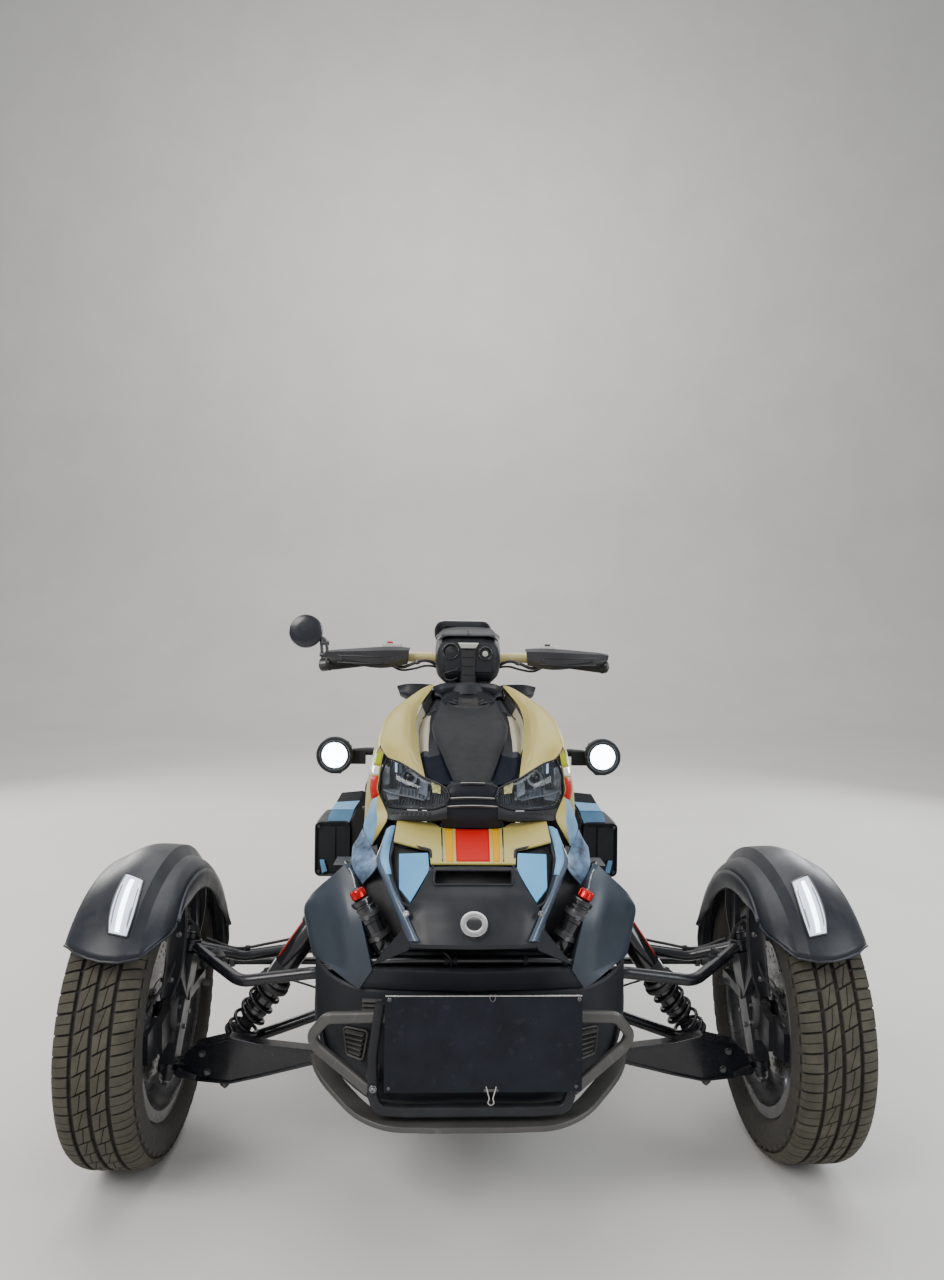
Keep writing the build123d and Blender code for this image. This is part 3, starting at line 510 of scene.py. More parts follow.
def finish(name, color, rough=0.5, metal=0.0, coat=0.0, coat_rough=0.08, grain=(900, 0.10), patch=(7, 0.14), rough_var=0.10, dust=0.0,
           dust_color=(0.22, 0.20, 0.17), scratches=0.0, sheen=0.0, ior=None, stretch=None, lumps=None):
    """Procedural finish. grain: (scale per metre, bump strength); patch: (scale, share of colour change)."""
    m, nt, b = new_material(name)
    co = node(nt, "TexCoord").outputs["Object"]
    if stretch:
        mp = node(nt, "Mapping")
        mp.inputs["Scale"].default_value = stretch
        nt.links.new(co, mp.inputs["Vector"])
        fine_co = mp.outputs[0]
    else:
        fine_co = co
    big = noise(nt, co, patch[0], 4.0, 0.6)
    lo = tuple(c * (1 - patch[1]) for c in color)
    hi = tuple(min(1.0, c * (1 + patch[1])) for c in color)
    col = ramp(nt, big, [(0.32, lo), (0.68, hi)])
    fine = noise(nt, fine_co, grain[0], 2.0, 0.5)
    rough_f = noise(nt, co, patch[0] * 3.1, 5.0, 0.65)
    r_out = ramp(nt, rough_f, [(0.25, grey(max(0.02, rough - rough_var))), (0.75, grey(min(1.0, rough + rough_var)))])
    if dust:
        geo = node(nt, "NewGeometry")
        sep = node(nt, "SeparateXYZ")
        nt.links.new(geo.outputs["Normal"], sep.inputs[0])
        up = ramp(nt, sep.outputs["Z"], [(0.35, grey(0.15)), (0.95, grey(1.0))])
        spots = ramp(nt, noise(nt, co, 38, 6.0, 0.7), [(0.40, grey(0.0)), (0.72, grey(1.0))])
        amount = math_node(nt, "MULTIPLY", math_node(nt, "MULTIPLY", up, spots), dust, True)
        col = mix(nt, amount, col, dust_color)
        r_out = mix(nt, amount, r_out, grey(0.9))
    if scratches:
        mp = node(nt, "Mapping")
        mp.inputs["Scale"].default_value = (1.0, 14.0, 1.0)
        mp.inputs["Rotation"].default_value = (0.3, 0.5, 0.8)
        nt.links.new(co, mp.inputs["Vector"])
        sc = ramp(nt, noise(nt, mp.outputs[0], 46, 3.0, 0.7), [(0.60, grey(0.0)), (0.66, grey(1.0))])
        am = math_node(nt, "MULTIPLY", sc, scratches, True)
        col = mix(nt, am, col, tuple(min(1.0, c * 2.2 + 0.05) for c in color))
    nt.links.new(col, b.inputs["Base Color"])
    nt.links.new(r_out, b.inputs["Roughness"])
    b.inputs["Metallic"].default_value = metal
    if coat:
        b.inputs["Coat Weight"].default_value = coat
        b.inputs["Coat Roughness"].default_value = coat_rough
    if sheen:
        b.inputs["Sheen Weight"].default_value = sheen
    if ior:
        b.inputs["IOR"].default_value = ior
    height = fine
    if lumps:
        height = math_node(nt, "ADD", fine, math_node(nt, "MULTIPLY", noise(nt, co, lumps[0], 3.0, 0.5), lumps[1]))
    bump = node(nt, "Bump")
    bump.inputs["Strength"].default_value = grain[1]
    bump.inputs["Distance"].default_value = 0.0006
    nt.links.new(height, bump.inputs["Height"])
    nt.links.new(bump.outputs[0], b.inputs["Normal"])
    return m


def glow(name, color, strength, base=(0.8, 0.85, 0.9)):
    m, nt, b = new_material(name)
    co = node(nt, "TexCoord").outputs["Object"]
    ribs = noise(nt, co, 90, 2.0)
    col = ramp(nt, ribs, [(0.3, tuple(c * 0.82 for c in color)), (0.7, color)])
    nt.links.new(col, b.inputs["Emission Color"])
    b.inputs["Emission Strength"].default_value = strength
    b.inputs["Base Color"].default_value = (*base, 1)
    b.inputs["Roughness"].default_value = 0.25
    return m


def clear(name, tint=(0.75, 0.78, 0.8), low=0.10, high=0.75, rough=0.04):
    """Thin clear cover: mostly see-through, more mirror-like at grazing angles."""
    m, nt, b = new_material(name)
    lw = node(nt, "LayerWeight")
    lw.inputs["Blend"].default_value = 0.35
    co = node(nt, "TexCoord").outputs["Object"]
    haze = noise(nt, co, 60, 3.0)
    a = ramp(nt, lw.outputs["Facing"], [(0.0, grey(low)), (1.0, grey(high))])
    a = math_node(nt, "ADD", a, math_node(nt, "MULTIPLY", haze, 0.04), True)
    nt.links.new(a, b.inputs["Alpha"])
    b.inputs["Base Color"].default_value = (*tint, 1)
    b.inputs["Roughness"].default_value = rough
    b.inputs["Coat Weight"].default_value = 1.0
    b.inputs["Coat Roughness"].default_value = 0.02
    m.surface_render_method = "BLENDED"
    return m


M = {
    "matte": finish("matte_black", (0.016, 0.018, 0.022), 0.46, ior=1.36, grain=(1500, 0.22), patch=(9, 0.18), rough_var=0.07, dust=0.10, lumps=(420, 0.5)),
    "fender": finish("fender_black", (0.015, 0.018, 0.025), 0.34, ior=1.38, grain=(1300, 0.12), patch=(8, 0.16), rough_var=0.07, dust=0.10),
    "panel": finish("panel_black", (0.018, 0.020, 0.024), 0.38, ior=1.36, grain=(1400, 0.14), patch=(7, 0.15), rough_var=0.06, dust=0.06),
    "lid": finish("lid_black", (0.016, 0.018, 0.020), 0.50, ior=1.17, grain=(1200, 0.12), patch=(6, 0.12), rough_var=0.05, dust=0.05),
    "gloss": finish("gloss_black", (0.012, 0.012, 0.014), 0.16, coat=0.6, grain=(700, 0.03), patch=(12, 0.2), rough_var=0.05, dust=0.04),
    "under": finish("hidden_black", (0.012, 0.012, 0.014), 0.62, grain=(900, 0.25), patch=(14, 0.3), rough_var=0.1, dust=0.15),
    "cream": finish("cream_paint", (0.42, 0.35, 0.095), 0.42, ior=1.40, metal=0.04, coat=0.18, coat_rough=0.12, grain=(2600, 0.05), patch=(5, 0.05), rough_var=0.04),
    "red": finish("red_paint", (0.50, 0.008, 0.005), 0.50, ior=1.28, grain=(2600, 0.03), patch=(8, 0.08), rough_var=0.04),
    "yellow": finish("yellow_paint", (0.64, 0.32, 0.0), 0.50, ior=1.28, grain=(2600, 0.03), patch=(8, 0.07), rough_var=0.04),
    "lime": finish("lime_paint", (0.36, 0.46, 0.0), 0.50, ior=1.28, grain=(2600, 0.03), patch=(8, 0.07), rough_var=0.04),
    "white": finish("white_paint", (0.78, 0.77, 0.74), 0.30, coat=1.0, coat_rough=0.05, grain=(2600, 0.03), patch=(8, 0.04), rough_var=0.04),
    "frame": finish("frame_paint", (0.012, 0.013, 0.017), 0.36, coat=0.10, grain=(1100, 0.10), patch=(10, 0.2), dust=0.18, scratches=0.10),
    "arm": finish("arm_paint", (0.009, 0.010, 0.014), 0.26, coat=0.35, coat_rough=0.12, ior=1.4, grain=(900, 0.06), patch=(9, 0.2), dust=0.14, scratches=0.08),
    "bumper": finish("bumper_grey", (0.075, 0.073, 0.068), 0.40, metal=0.25, grain=(1600, 0.16), patch=(11, 0.14), scratches=0.18, dust=0.06),
    "guard": finish("guard_black", (0.026, 0.026, 0.030), 0.30, grain=(1200, 0.10), patch=(9, 0.15), dust=0.05),
    "guard_top": finish("guard_grey", (0.22, 0.22, 0.22), 0.30, metal=0.7, grain=(1400, 0.10), patch=(11, 0.12)),
    "rubber": finish("grip_rubber", (0.018, 0.018, 0.018), 0.72, grain=(1900, 0.30), patch=(16, 0.2), dust=0.08),
    "rim": finish("rim_black", (0.020, 0.020, 0.022), 0.28, coat=0.4, grain=(900, 0.06), patch=(9, 0.2), dust=0.20, scratches=0.06),
    "steel": finish("bright_steel", (0.58, 0.57, 0.55), 0.28, metal=1.0, grain=(1400, 0.10), patch=(30, 0.12), rough_var=0.10),
    "zinc": finish("bolt_zinc", (0.24, 0.24, 0.25), 0.38, metal=1.0, grain=(1400, 0.12), patch=(60, 0.2), dust=0.1),
    "dark_steel": finish("dark_steel", (0.10, 0.10, 0.105), 0.36, metal=0.9, grain=(1400, 0.12), patch=(20, 0.2), dust=0.12),
    "disc": finish("brake_disc", (0.46, 0.45, 0.44), 0.30, metal=1.0, grain=(1900, 0.20), patch=(20, 0.10), stretch=(1, 1, 1)),
    "alloy": finish("cast_alloy", (0.30, 0.30, 0.30), 0.46, metal=0.85, grain=(1300, 0.40), patch=(9, 0.12), dust=0.15, lumps=(300, 0.6)),
    "alloy_dark": finish("cast_dark", (0.070, 0.070, 0.074), 0.50, metal=0.5, grain=(1300, 0.45), patch=(9, 0.15), dust=0.20, lumps=(300, 0.6)),
    "exhaust": finish("exhaust_steel", (0.33, 0.31, 0.29), 0.34, metal=1.0, grain=(700, 0.18), patch=(7, 0.2), stretch=(1, 0.05, 1), scratches=0.15),
    "heat": finish("exhaust_black", (0.020, 0.020, 0.021), 0.50, grain=(1200, 0.2), patch=(8, 0.2), dust=0.12),
    "chrome": finish("reflector_chrome", (0.80, 0.81, 0.82), 0.10, metal=1.0, grain=(300, 0.03), patch=(20, 0.05), rough_var=0.04),
    "bezel": finish("lamp_bezel", (0.016, 0.017, 0.020), 0.22, coat=0.5, grain=(1000, 0.05), patch=(12, 0.2)),
    "knob": finish("red_anodised", (0.62, 0.020, 0.022), 0.30, metal=0.85, grain=(1600, 0.12), patch=(50, 0.12)),
    "plate": finish("plate_dark", (0.008, 0.010, 0.016), 0.46, ior=1.28, grain=(600, 0.05), patch=(14, 0.35), rough_var=0.12, scratches=0.10),
    "seat": finish("seat_vinyl", (0.024, 0.024, 0.026), 0.52, grain=(1900, 0.55), patch=(6, 0.14), sheen=0.15, dust=0.05, lumps=(500, 0.8)),
    "stitch": finish("seat_thread", (0.16, 0.16, 0.17), 0.75, grain=(3000, 0.4), patch=(90, 0.2)),
    "cable": finish("cable_black", (0.014, 0.014, 0.015), 0.42, grain=(1500, 0.15), patch=(20, 0.2)),
    "braid": finish("hose_braid", (0.10, 0.10, 0.11), 0.45, metal=0.5, grain=(2600, 0.5), patch=(60, 0.3)),
    "fin": finish("radiator_fin", (0.055, 0.056, 0.060), 0.42, metal=0.6, grain=(1800, 0.2), patch=(20, 0.3), dust=0.2),
    "red_lens": finish("red_lens", (0.50, 0.012, 0.012), 0.12, coat=1.0, coat_rough=0.03, grain=(500, 0.04), patch=(40, 0.2)),
    "amber": finish("amber_lens", (0.75, 0.24, 0.02), 0.12, coat=1.0, coat_rough=0.03, grain=(500, 0.04), patch=(40, 0.2)),
    "lens": clear("clear_lens"),
    "smoke": clear("smoked_screen", (0.05, 0.05, 0.06), 0.80, 0.96, 0.06),
    "mirror_glass": finish("mirror_glass", (0.86, 0.88, 0.90), 0.03, metal=1.0, grain=(40, 0.01), patch=(4, 0.02), rough_var=0.01),
    "display": finish("gauge_screen", (0.010, 0.012, 0.016), 0.10, coat=1.0, coat_rough=0.02, grain=(400, 0.02), patch=(20, 0.3), rough_var=0.03),
    "led": glow("led_lit", (0.72, 0.86, 1.0), 9.0),
    "led_soft": glow("led_diffuser", (0.36, 0.55, 0.92), 0.85),
    "lamp": glow("lamp_lit", (0.80, 0.92, 1.0), 16.0),
    "grey_panel": finish("grey_panel", (0.42, 0.41, 0.38), 0.36, coat=0.3, grain=(1500, 0.08), patch=(9, 0.08)),
}


def tyre_material():
    """Dusty tread rubber: brown-grey on the crown, darker in the grooves and on the walls."""
    m, nt, b = new_material("tyre_rubber")
    co = node(nt, "TexCoord").outputs["Object"]
    dusty = ramp(nt, noise(nt, co, 26, 6.0, 0.7), [(0.28, (0.036, 0.033, 0.024)), (0.55, (0.060, 0.055, 0.039)), (0.8, (0.094, 0.086, 0.060))])
    clean = ramp(nt, noise(nt, co, 60, 4.0), [(0.3, (0.020, 0.019, 0.018)), (0.7, (0.034, 0.032, 0.030))])
    at = node(nt, "Attribute", attribute_name="dust")
    col = mix(nt, at.outputs["Fac"], clean, dusty)
    nt.links.new(col, b.inputs["Base Color"])
    r = ramp(nt, noise(nt, co, 90, 4.0), [(0.2, grey(0.72)), (0.8, grey(0.95))])
    nt.links.new(r, b.inputs["Roughness"])
    bump = node(nt, "Bump")
    bump.inputs["Strength"].default_value = 0.45
    bump.inputs["Distance"].default_value = 0.0008
    nt.links.new(noise(nt, co, 700, 5.0, 0.7), bump.inputs["Height"])
    nt.links.new(bump.outputs[0], b.inputs["Normal"])
    return m


M["tyre"] = tyre_material()


def floor_material():
    m, nt, b = new_material("floor_pale")
    co = node(nt, "TexCoord").outputs["Object"]
    col = ramp(nt, noise(nt, co, 1.4, 3.0), [(0.3, (0.60, 0.585, 0.56)), (0.7, (0.64, 0.625, 0.60))])
    nt.links.new(col, b.inputs["Base Color"])
    b.inputs["Roughness"].default_value = 0.55
    return m


# ---------------------------------------------------------------- stage: pale floor and soft studio light
def stage():
    me = bpy.data.meshes.new("floor")
    s = 14.0
    rows = []
    for t in range(21):  # floor that curves up into a backdrop far behind
        y = -s + t * (s + 7) / 10 if t <= 10 else 7 + 3.0 * math.sin(math.pi / 2 * (t - 10) / 10)
        z = 0.0 if t <= 10 else 3.0 * (1 - math.cos(math.pi / 2 * (t - 10) / 10))
        rows.append((y, z))
    rows.append((10.0, 17.0))
    verts = [(x, y, z) for y, z in rows for x in (-s, s)]
    faces = [(2 * i, 2 * i + 1, 2 * i + 3, 2 * i + 2) for i in range(len(rows) - 1)]
    me.from_pydata(verts, [], faces)
    me.materials.append(floor_material())
    for p in me.polygons:
        p.use_smooth = True
    o = bpy.data.objects.new("floor", me)
    bpy.context.scene.collection.objects.link(o)
    world = bpy.data.worlds.new("studio")
    bpy.context.scene.world = world
    world.use_nodes = True
    bg = world.node_tree.nodes["Background"]
    bg.inputs[0].default_value = (0.93, 0.95, 1.0, 1)
    bg.inputs[1].default_value = 0.55
    for name, loc, aim, size, power, color in (
        ("key", (-2.6, -3.4, 3.4), (0, -0.4, 0.5), (2.4, 2.0), 150, (1.0, 0.97, 0.93)),
        ("fill", (3.2, -2.8, 2.4), (0, -0.4, 0.6), (2.2, 2.2), 80, (0.94, 0.97, 1.0)),
        ("top", (0.0, 0.6, 4.0), (0, 0.0, 0.4), (3.6, 3.6), 110, (1.0, 1.0, 1.0)),
        ("rim_l", (-3.0, 2.8, 2.2), (0, 0.4, 0.6), (1.4, 2.4), 70, (1.0, 0.98, 0.95)),
        ("rim_r", (3.0, 2.8, 2.2), (0, 0.4, 0.6), (1.4, 2.4), 70, (0.96, 0.98, 1.0)),
        ("wall", (0.0, 4.0, 7.5), (0, 10.0, 4.0), (6.0, 3.0), 420, (1.0, 0.99, 0.98)),
    ):
        ld = bpy.data.lights.new(name, "AREA")
        ld.shape, ld.size, ld.size_y = "RECTANGLE", size[0], size[1]
        ld.energy, ld.color = power, color
        lo = bpy.data.objects.new(name, ld)
        lo.location = loc
        lo.rotation_euler = (Vector(aim) - Vector(loc)).to_track_quat("-Z", "Y").to_euler()
        bpy.context.scene.collection.objects.link(lo)


stage()

# finishes of the CAD nodes that stay
KEEP = {
    "main_frame": "frame", "knuckle_left": "frame", "knuckle_right": "frame", "upper_arms": "arm", "lower_arms": "arm", "rear_arm": "frame",
    "storage_box": "under", "inner_cowl": "under", "skid_plate": "matte", "engine_block": "alloy_dark", "drive_cover": "matte",
    "centre_mask": "gloss", "console": "matte", "tie_rods": "arm", "footrests": "arm", "grille": "under",
}
for _n, _o in NODES.items():
    _key = KEEP.get(_n, "matte")
    _o.data.materials.clear()
    _o.data.materials.append(M[_key])
    for _p in _o.data.polygons:
        _p.use_smooth = True
        _p.material_index = 0
    _o.data.set_sharp_from_angle(angle=math.radians(32))
    if _key in ("frame", "arm", "matte", "alloy_dark") and _n in KEEP:
        _b = _o.modifiers.new("edges", "BEVEL")
        _b.width, _b.segments, _b.limit_method, _b.angle_limit = 0.0018, 2, "ANGLE", math.radians(32)
        _b.use_clamp_overlap = True


# ---------------------------------------------------------------- wheels
def tyre(name, width, radius, x, a, z, body, replaces, pitches, ribs, groove=7.0, wall_edge=0.93, rim_r=203.2, mirror_tread=1):
    """Carcass with separate tread blocks. ribs: list of (s0, s1, kind) across the tread, s in mm of arc from the middle."""
    w = width / 2
    wall = radius - rim_r
    half = [(0, radius), (w - 45, radius - 0.3), (w - 23, radius - 2.4), (w - 8, rim_r + 0.885 * wall), (w - 1.5, rim_r + 0.70 * wall),
            (w - 0.3, rim_r + 0.45 * wall), (w - 5, rim_r + 0.2 * wall), (w - 17, rim_r + 10), (w - 21, rim_r + 2)]
    full = [(-p[0], p[1]) for p in reversed(half[1:])] + half
    line = spline([(p[0], p[1], 0) for p in full], 8)
    mid = int(np.argmin(abs(line[:, 0])))
    seg = np.concatenate([[0], np.cumsum(np.linalg.norm(np.diff(line, axis=0), axis=1))])
    seg -= seg[mid]

    def cross(s):
        """Offset and radius at arc distance s, and the outward normal there."""
        o, r = np.interp(s, seg, line[:, 0]), np.interp(s, seg, line[:, 1])
        o1, r1 = np.interp(s - 1, seg, line[:, 0]), np.interp(s - 1, seg, line[:, 1])
        o2, r2 = np.interp(s + 1, seg, line[:, 0]), np.interp(s + 1, seg, line[:, 1])
        t = unit((o2 - o1, r2 - r1))
        return o, r, (-t[1], t[0])

    def place(s, th, h=0.0):
        o, r, n = cross(s)
        o, r = o + n[0] * h, r + n[1] * h
        return (x + o, a - r * math.cos(th), z + r * math.sin(th))

    edge = ribs[-1][1]
    depth = 7.0
    g = Geo()
    dust = []

    def low(s):
        k = abs(s)
        if k < edge - 4:
            return -depth
        if k < edge + 9:
            return -depth * (1 - (k - edge + 4) / 13) - 0.6
        return 0.0

    stations = np.concatenate([np.linspace(seg[0], -edge - 12, 12), np.linspace(-edge - 8, edge + 8, 34), np.linspace(edge + 12, seg[-1], 12)])
    n = 120
    verts, faces = [], []
    for s in stations:
        k = abs(s)
        ring = 0.0
        if k > edge + 12:  # raised rings on the wall
            q = (k - edge - 12) / max(seg[-1] - edge - 12, 1)
            ring = 1.1 if 0.30 < q < 0.38 or 0.80 < q < 0.93 else 0.0
        for i in range(n):
            verts.append(place(s, 2 * math.pi * i / n, low(s) + ring))
            dust.append(0.12 if k < edge + 4 else 0.34)
    m = len(stations)
    for j in range(m - 1):
        for i in range(n):
            e = (i + 1) % n
            faces.append((j * n + i, (j + 1) * n + i, (j + 1) * n + e, j * n + e))
    # inner closing wall, hidden by the rim
    base = len(verts)
    for k in (0, m - 1):
        o, r = (line[0], line[-1])[k > 0][:2]
        for i in range(n):
            th = 2 * math.pi * i / n
            verts.append((x + o, a - (rim_r + 1) * math.cos(th), z + (rim_r + 1) * math.sin(th)))
            dust.append(0.1)
    for i in range(n):
        e = (i + 1) % n
        faces.append((base + i, i, e, base + e))
        faces.append(((m - 1) * n + i, base + n + i, base + n + e, (m - 1) * n + e))
        faces.append((base + n + i, base + i, base + e, base + n + e))
    g.put(verts, faces)

    def block(c, ns, nt):
        """c: four corners (s, angle) in order; a raised block with a small chamfer."""
        c = np.array(c, float)
        mean_r = radius

        def pt(u, v):
            p = (1 - u) * (1 - v) * c[0] + u * (1 - v) * c[1] + u * v * c[2] + (1 - u) * v * c[3]
            return p
        ls = max(np.hypot(*((c[1] - c[0]) * (1, mean_r))), 1)
        lt = max(np.hypot(*((c[3] - c[0]) * (1, mean_r))), 1)
        iu, iv = min(0.9 / ls, 0.2), min(0.9 / lt, 0.2)
        us, vs = np.linspace(iu, 1 - iu, ns + 1), np.linspace(iv, 1 - iv, nt + 1)
        vv, ff = [], []
        for v in vs:
            for u in us:
                s, th = pt(u, v)
                vv.append(place(s, th, 0.0))
        for j in range(nt):
            for i in range(ns):
                p = j * (ns + 1) + i
                ff.append((p, p + 1, p + ns + 2, p + ns + 1))
        border = [(i, 0) for i in range(ns)] + [(ns, j) for j in range(nt)] + [(ns - i, nt) for i in range(ns)] + [(0, nt - j) for j in range(nt)]
        top = [j * (ns + 1) + i for i, j in border]
        o1 = len(vv)
        for i, j in border:
            u = i / ns
            v = j / nt
            s, th = pt(u, v)
            vv.append(place(s, th, -0.9))
        o2 = len(vv)
        for i, j in border:
            s, th = pt(i / ns, j / nt)
            vv.append(place(s, th, min(-1.2, low(s) - 0.6)))
        k = len(border)
        for i in range(k):
            e = (i + 1) % k
            ff.append((top[i], o1 + i, o1 + e, top[e]))
            ff.append((o1 + i, o2 + i, o2 + e, o1 + e))
        g.put(vv, ff)
        dust.extend([1.0] * o1 + [0.75] * k + [0.1] * k)

    pitch = 2 * math.pi / pitches
    slope = math.tan(math.radians(27)) * mirror_tread
    for i in range(pitches):
        t0 = i * pitch
        for s0, s1, kind in ribs:
            gap = 3.6 / radius
            if kind == "shoulder":
                inner, outer = (s0, s1) if s0 > 0 else (s1, s0)
                th0 = t0 + slope * 0.25 * (outer - inner) / radius
                for lo_, hi_ in ((0.0, 0.5), (0.5, 1.0)):
                    ta = t0 + pitch * lo_ + (gap / 2 if lo_ == 0 else 0.65 / radius)
                    tb = t0 + pitch * hi_ - (gap / 2 if hi_ == 1 else 0.65 / radius)
                    sh = th0 - t0
                    q = [(inner, ta), (outer, ta + sh), (outer, tb + sh), (inner, tb)]
                    if inner < 0 or outer < 0:
                        q = [q[1], q[0], q[3], q[2]]
                    block(q, 5, 2)
            else:
                sh = slope * (s1 - s0) / radius
                ta, tb = t0 + gap / 2, t0 + pitch - gap / 2
                f0, f1 = (0.30, 0.72) if (i + (s0 > 0)) % 2 else (0.42, 0.60)
                cut = 0.6 / (s1 - s0)
                a0, a1 = s0 + (s1 - s0) * (f0 - cut), s0 + (s1 - s0) * (f0 + cut)
                b0, b1 = s0 + (s1 - s0) * (f1 - cut), s0 + (s1 - s0) * (f1 + cut)

                def th(s, t):
                    return t + sh * (s - s0) / (s1 - s0)
                block([(s0, th(s0, ta)), (a0, th(a0, ta)), (b0, th(b0, tb)), (s0, th(s0, tb))], 2, 2)
                block([(a1, th(a1, ta)), (s1, th(s1, ta)), (s1, th(s1, tb)), (b1, th(b1, tb))], 2, 2)
    # small lugs where the tread runs out on the wall
    for i in range(pitches):
        for sg in (-1, 1):
            s0, s1 = edge + 5, edge + 13
            t0 = (i + 0.22) * pitch
            q = [(sg * s0, t0), (sg * s1, t0), (sg * s1, t0 + pitch * 0.5), (sg * s0, t0 + pitch * 0.5)]
            if sg < 0:
                q = [q[1], q[0], q[3], q[2]]
            c = np.array(q)
            vv = [place(p[0], p[1], 0.7) for p in c] + [place(p[0], p[1], -2.5) for p in c]
            g.put(vv, [(0, 1, 2, 3), (0, 4, 5, 1), (1, 5, 6, 2), (2, 6, 7, 3), (3, 7, 4, 0)])
            dust.extend([0.6] * 4 + [0.3] * 4)
    o = build(name, g, M["tyre"], body, replaces, "tyre_rubber", angle=38, fix=True)
    at = o.data.attributes.new("dust", "FLOAT", "POINT")
    at.data.foreach_set("value", np.array(dust, np.float32))
    return o


FRONT_RIBS = [(-79, -37.5, "shoulder"), (-30, -4, "rib"), (4, 30, "rib"), (37.5, 79, "shoulder")]
REAR_RIBS = [(-106, -66, "shoulder"), (-58, -34, "rib"), (-26, -4, "rib"), (4, 26, "rib"), (34, 58, "rib"), (66, 106, "shoulder")]
tyre("tyre_front_left", 150, 290.2, FX, 0, FZ, "wheel_l", "front_tyre_left", 50, FRONT_RIBS, mirror_tread=1)
tyre("tyre_front_right", 150, 290.2, -FX, 0, FZ, "wheel_r", "front_tyre_right", 50, FRONT_RIBS, mirror_tread=1)
tyre("tyre_rear", 205, 295.5, 0, RA, RZ, "wheel_rear", "rear_tyre", 52, REAR_RIBS)


def wheel(name, width, x, a, z, s, face, hub_in, hub_out, body, replaces, disc):
    """Rim with five split spokes near its outer face. s is the outward side."""
    w, r = width / 2 - 14, 203.2
    o, ax = (x, a, z), (s, 0, 0)
    g = Geo()
    lathe(g, o, ax, [(-w, r - 14), (-w, r + 7), (-w + 1.5, r + 8), (-w + 4.5, r + 7), (-w + 5.5, r - 0.4), (-w + 26, r - 1), (-w + 40, r - 13),
                     (w - 40, r - 13), (w - 24, r - 1), (w - 5.5, r - 0.4), (w - 4.5, r + 7), (w - 1.5, r + 8), (w, r + 7), (w, r - 8),
                     (w - 4, r - 13), (w - 22, r - 19), (w - 44, r - 24), (-w + 44, r - 24), (-w + 24, r - 13), (-w + 6, r - 10)], 0, 72, closed=True)
    c, u, v = V(o), np.array([0, 1.0, 0]), np.array([0, 0, 1.0])
    for i in range(5):
        for sg in (-1, 1):
            rings = []
            for k, (rad, off, half, thick, bow) in enumerate(((46, 3, 9.5, 19, 0), (80, 10, 8.5, 16, 2.0), (120, 17, 7.5, 14, 3.0), (160, 22, 8.0, 14, 2.0), (186, 25, 11, 18, -1.0))):
                th = 2 * math.pi * i / 5 + 0.3
                d = u * math.cos(th) + v * math.sin(th)
                e = -u * math.sin(th) + v * math.cos(th)
                mid = c + d * rad + e * (sg * off) + V(ax) * (face + bow)
                ring = []
                for p, q in ((-1, -0.5), (-0.72, -1), (0.72, -1), (1, -0.5), (0.86, 0.62), (0.5, 1), (-0.5, 1), (-0.86, 0.62)):
                    ring.append(mid + e * (p * half) + V(ax) * (q * thick / 2))
                rings.append(ring)
            loft(g, rings)
    lathe(g, o, ax, [(hub_in, 30), (hub_in, 45), (hub_in + 3, 46), (face - 18, 46), (face - 12, 58), (face + 6, 58), (face + 9, 54), (face + 9, 34), (face + 4, 31),
                     (face + 4, 26), (face + 12, 24), (face + 14, 20)], 0, 48)
    for i in range(5):
        th = 2 * math.pi * i / 5 + 0.3 + math.pi / 5
        p = c + u * (44 * math.cos(th)) + v * (44 * math.sin(th)) + V(ax) * (face + 9)
        bolt(g, p, ax, 6.2, 7, 1, "hex")
    lathe(g, c + V(ax) * (face + 13), ax, [(0, 15), (3, 15), (5, 13), (5, 6), (7, 5)], 1, 6)
    # valve
    th = 0.3 + math.pi / 5
    d = u * math.cos(th) + v * math.sin(th)
    rod(g, c + d * (r - 14) + V(ax) * (face - 4), c + d * (r - 48) + V(ax) * (face + 2), 3.2, 2, 12, 0.8)
    o1 = build(name, g, [M["rim"], M["zinc"], M["rubber"]], body, replaces, "rim_black", bevel=0, angle=40)
    if disc:
        x0, x1, ro, ri = disc
        g = Geo()
        n, k = 120, 6
        rings = []
        for t, rad in ((x0, ri), (x0, ro), (x1, ro), (x1, ri)):
            rings.append([(t, a + (rad + (2.2 * math.cos(9 * 2 * math.pi * i / n) if rad == ro else 0)) * math.cos(2 * math.pi * i / n),
                           z + (rad + (2.2 * math.cos(9 * 2 * math.pi * i / n) if rad == ro else 0)) * math.sin(2 * math.pi * i / n)) for i in range(n)])
        rings.append(rings[0])
        loft(g, rings, 0, caps=False)
        for j, rad in enumerate((ro - 10, ro - 19, ro - 28)):
            for i in range(24):
                th = 2 * math.pi * (i + j * 0.33) / 24
                for t, e in ((x0 - 0.12, -1), (x1 + 0.12, 1)):
                    lathe(g, (t - 0.15 * e, a + rad * math.cos(th), z + rad * math.sin(th)), (e, 0, 0), [(0, 3.1), (0.15, 3.0), (0.15, 0.01)], 1, 12)
        for i in range(6):
            th = 2 * math.pi * i / 6
            p = ((x0 + x1) / 2, a + (ri + 5) * math.cos(th), z + (ri + 5) * math.sin(th))
            bolt(g, (p[0] - s * 3, p[1], p[2]), (-s, 0, 0), 4.5, 4, 2, "socket")
        lathe(g, ((x0 + x1) / 2, a, z), (s, 0, 0), [(-4, 30), (-4, ri + 6), (4, ri + 6), (4, 46), (12, 46), (12, 30)], 3, 40, closed=True)
        build(name + "_disc", g, [M["disc"], M["under"], M["zinc"], M["rim"]], body, slot="shock_metal", angle=40)
    return o1


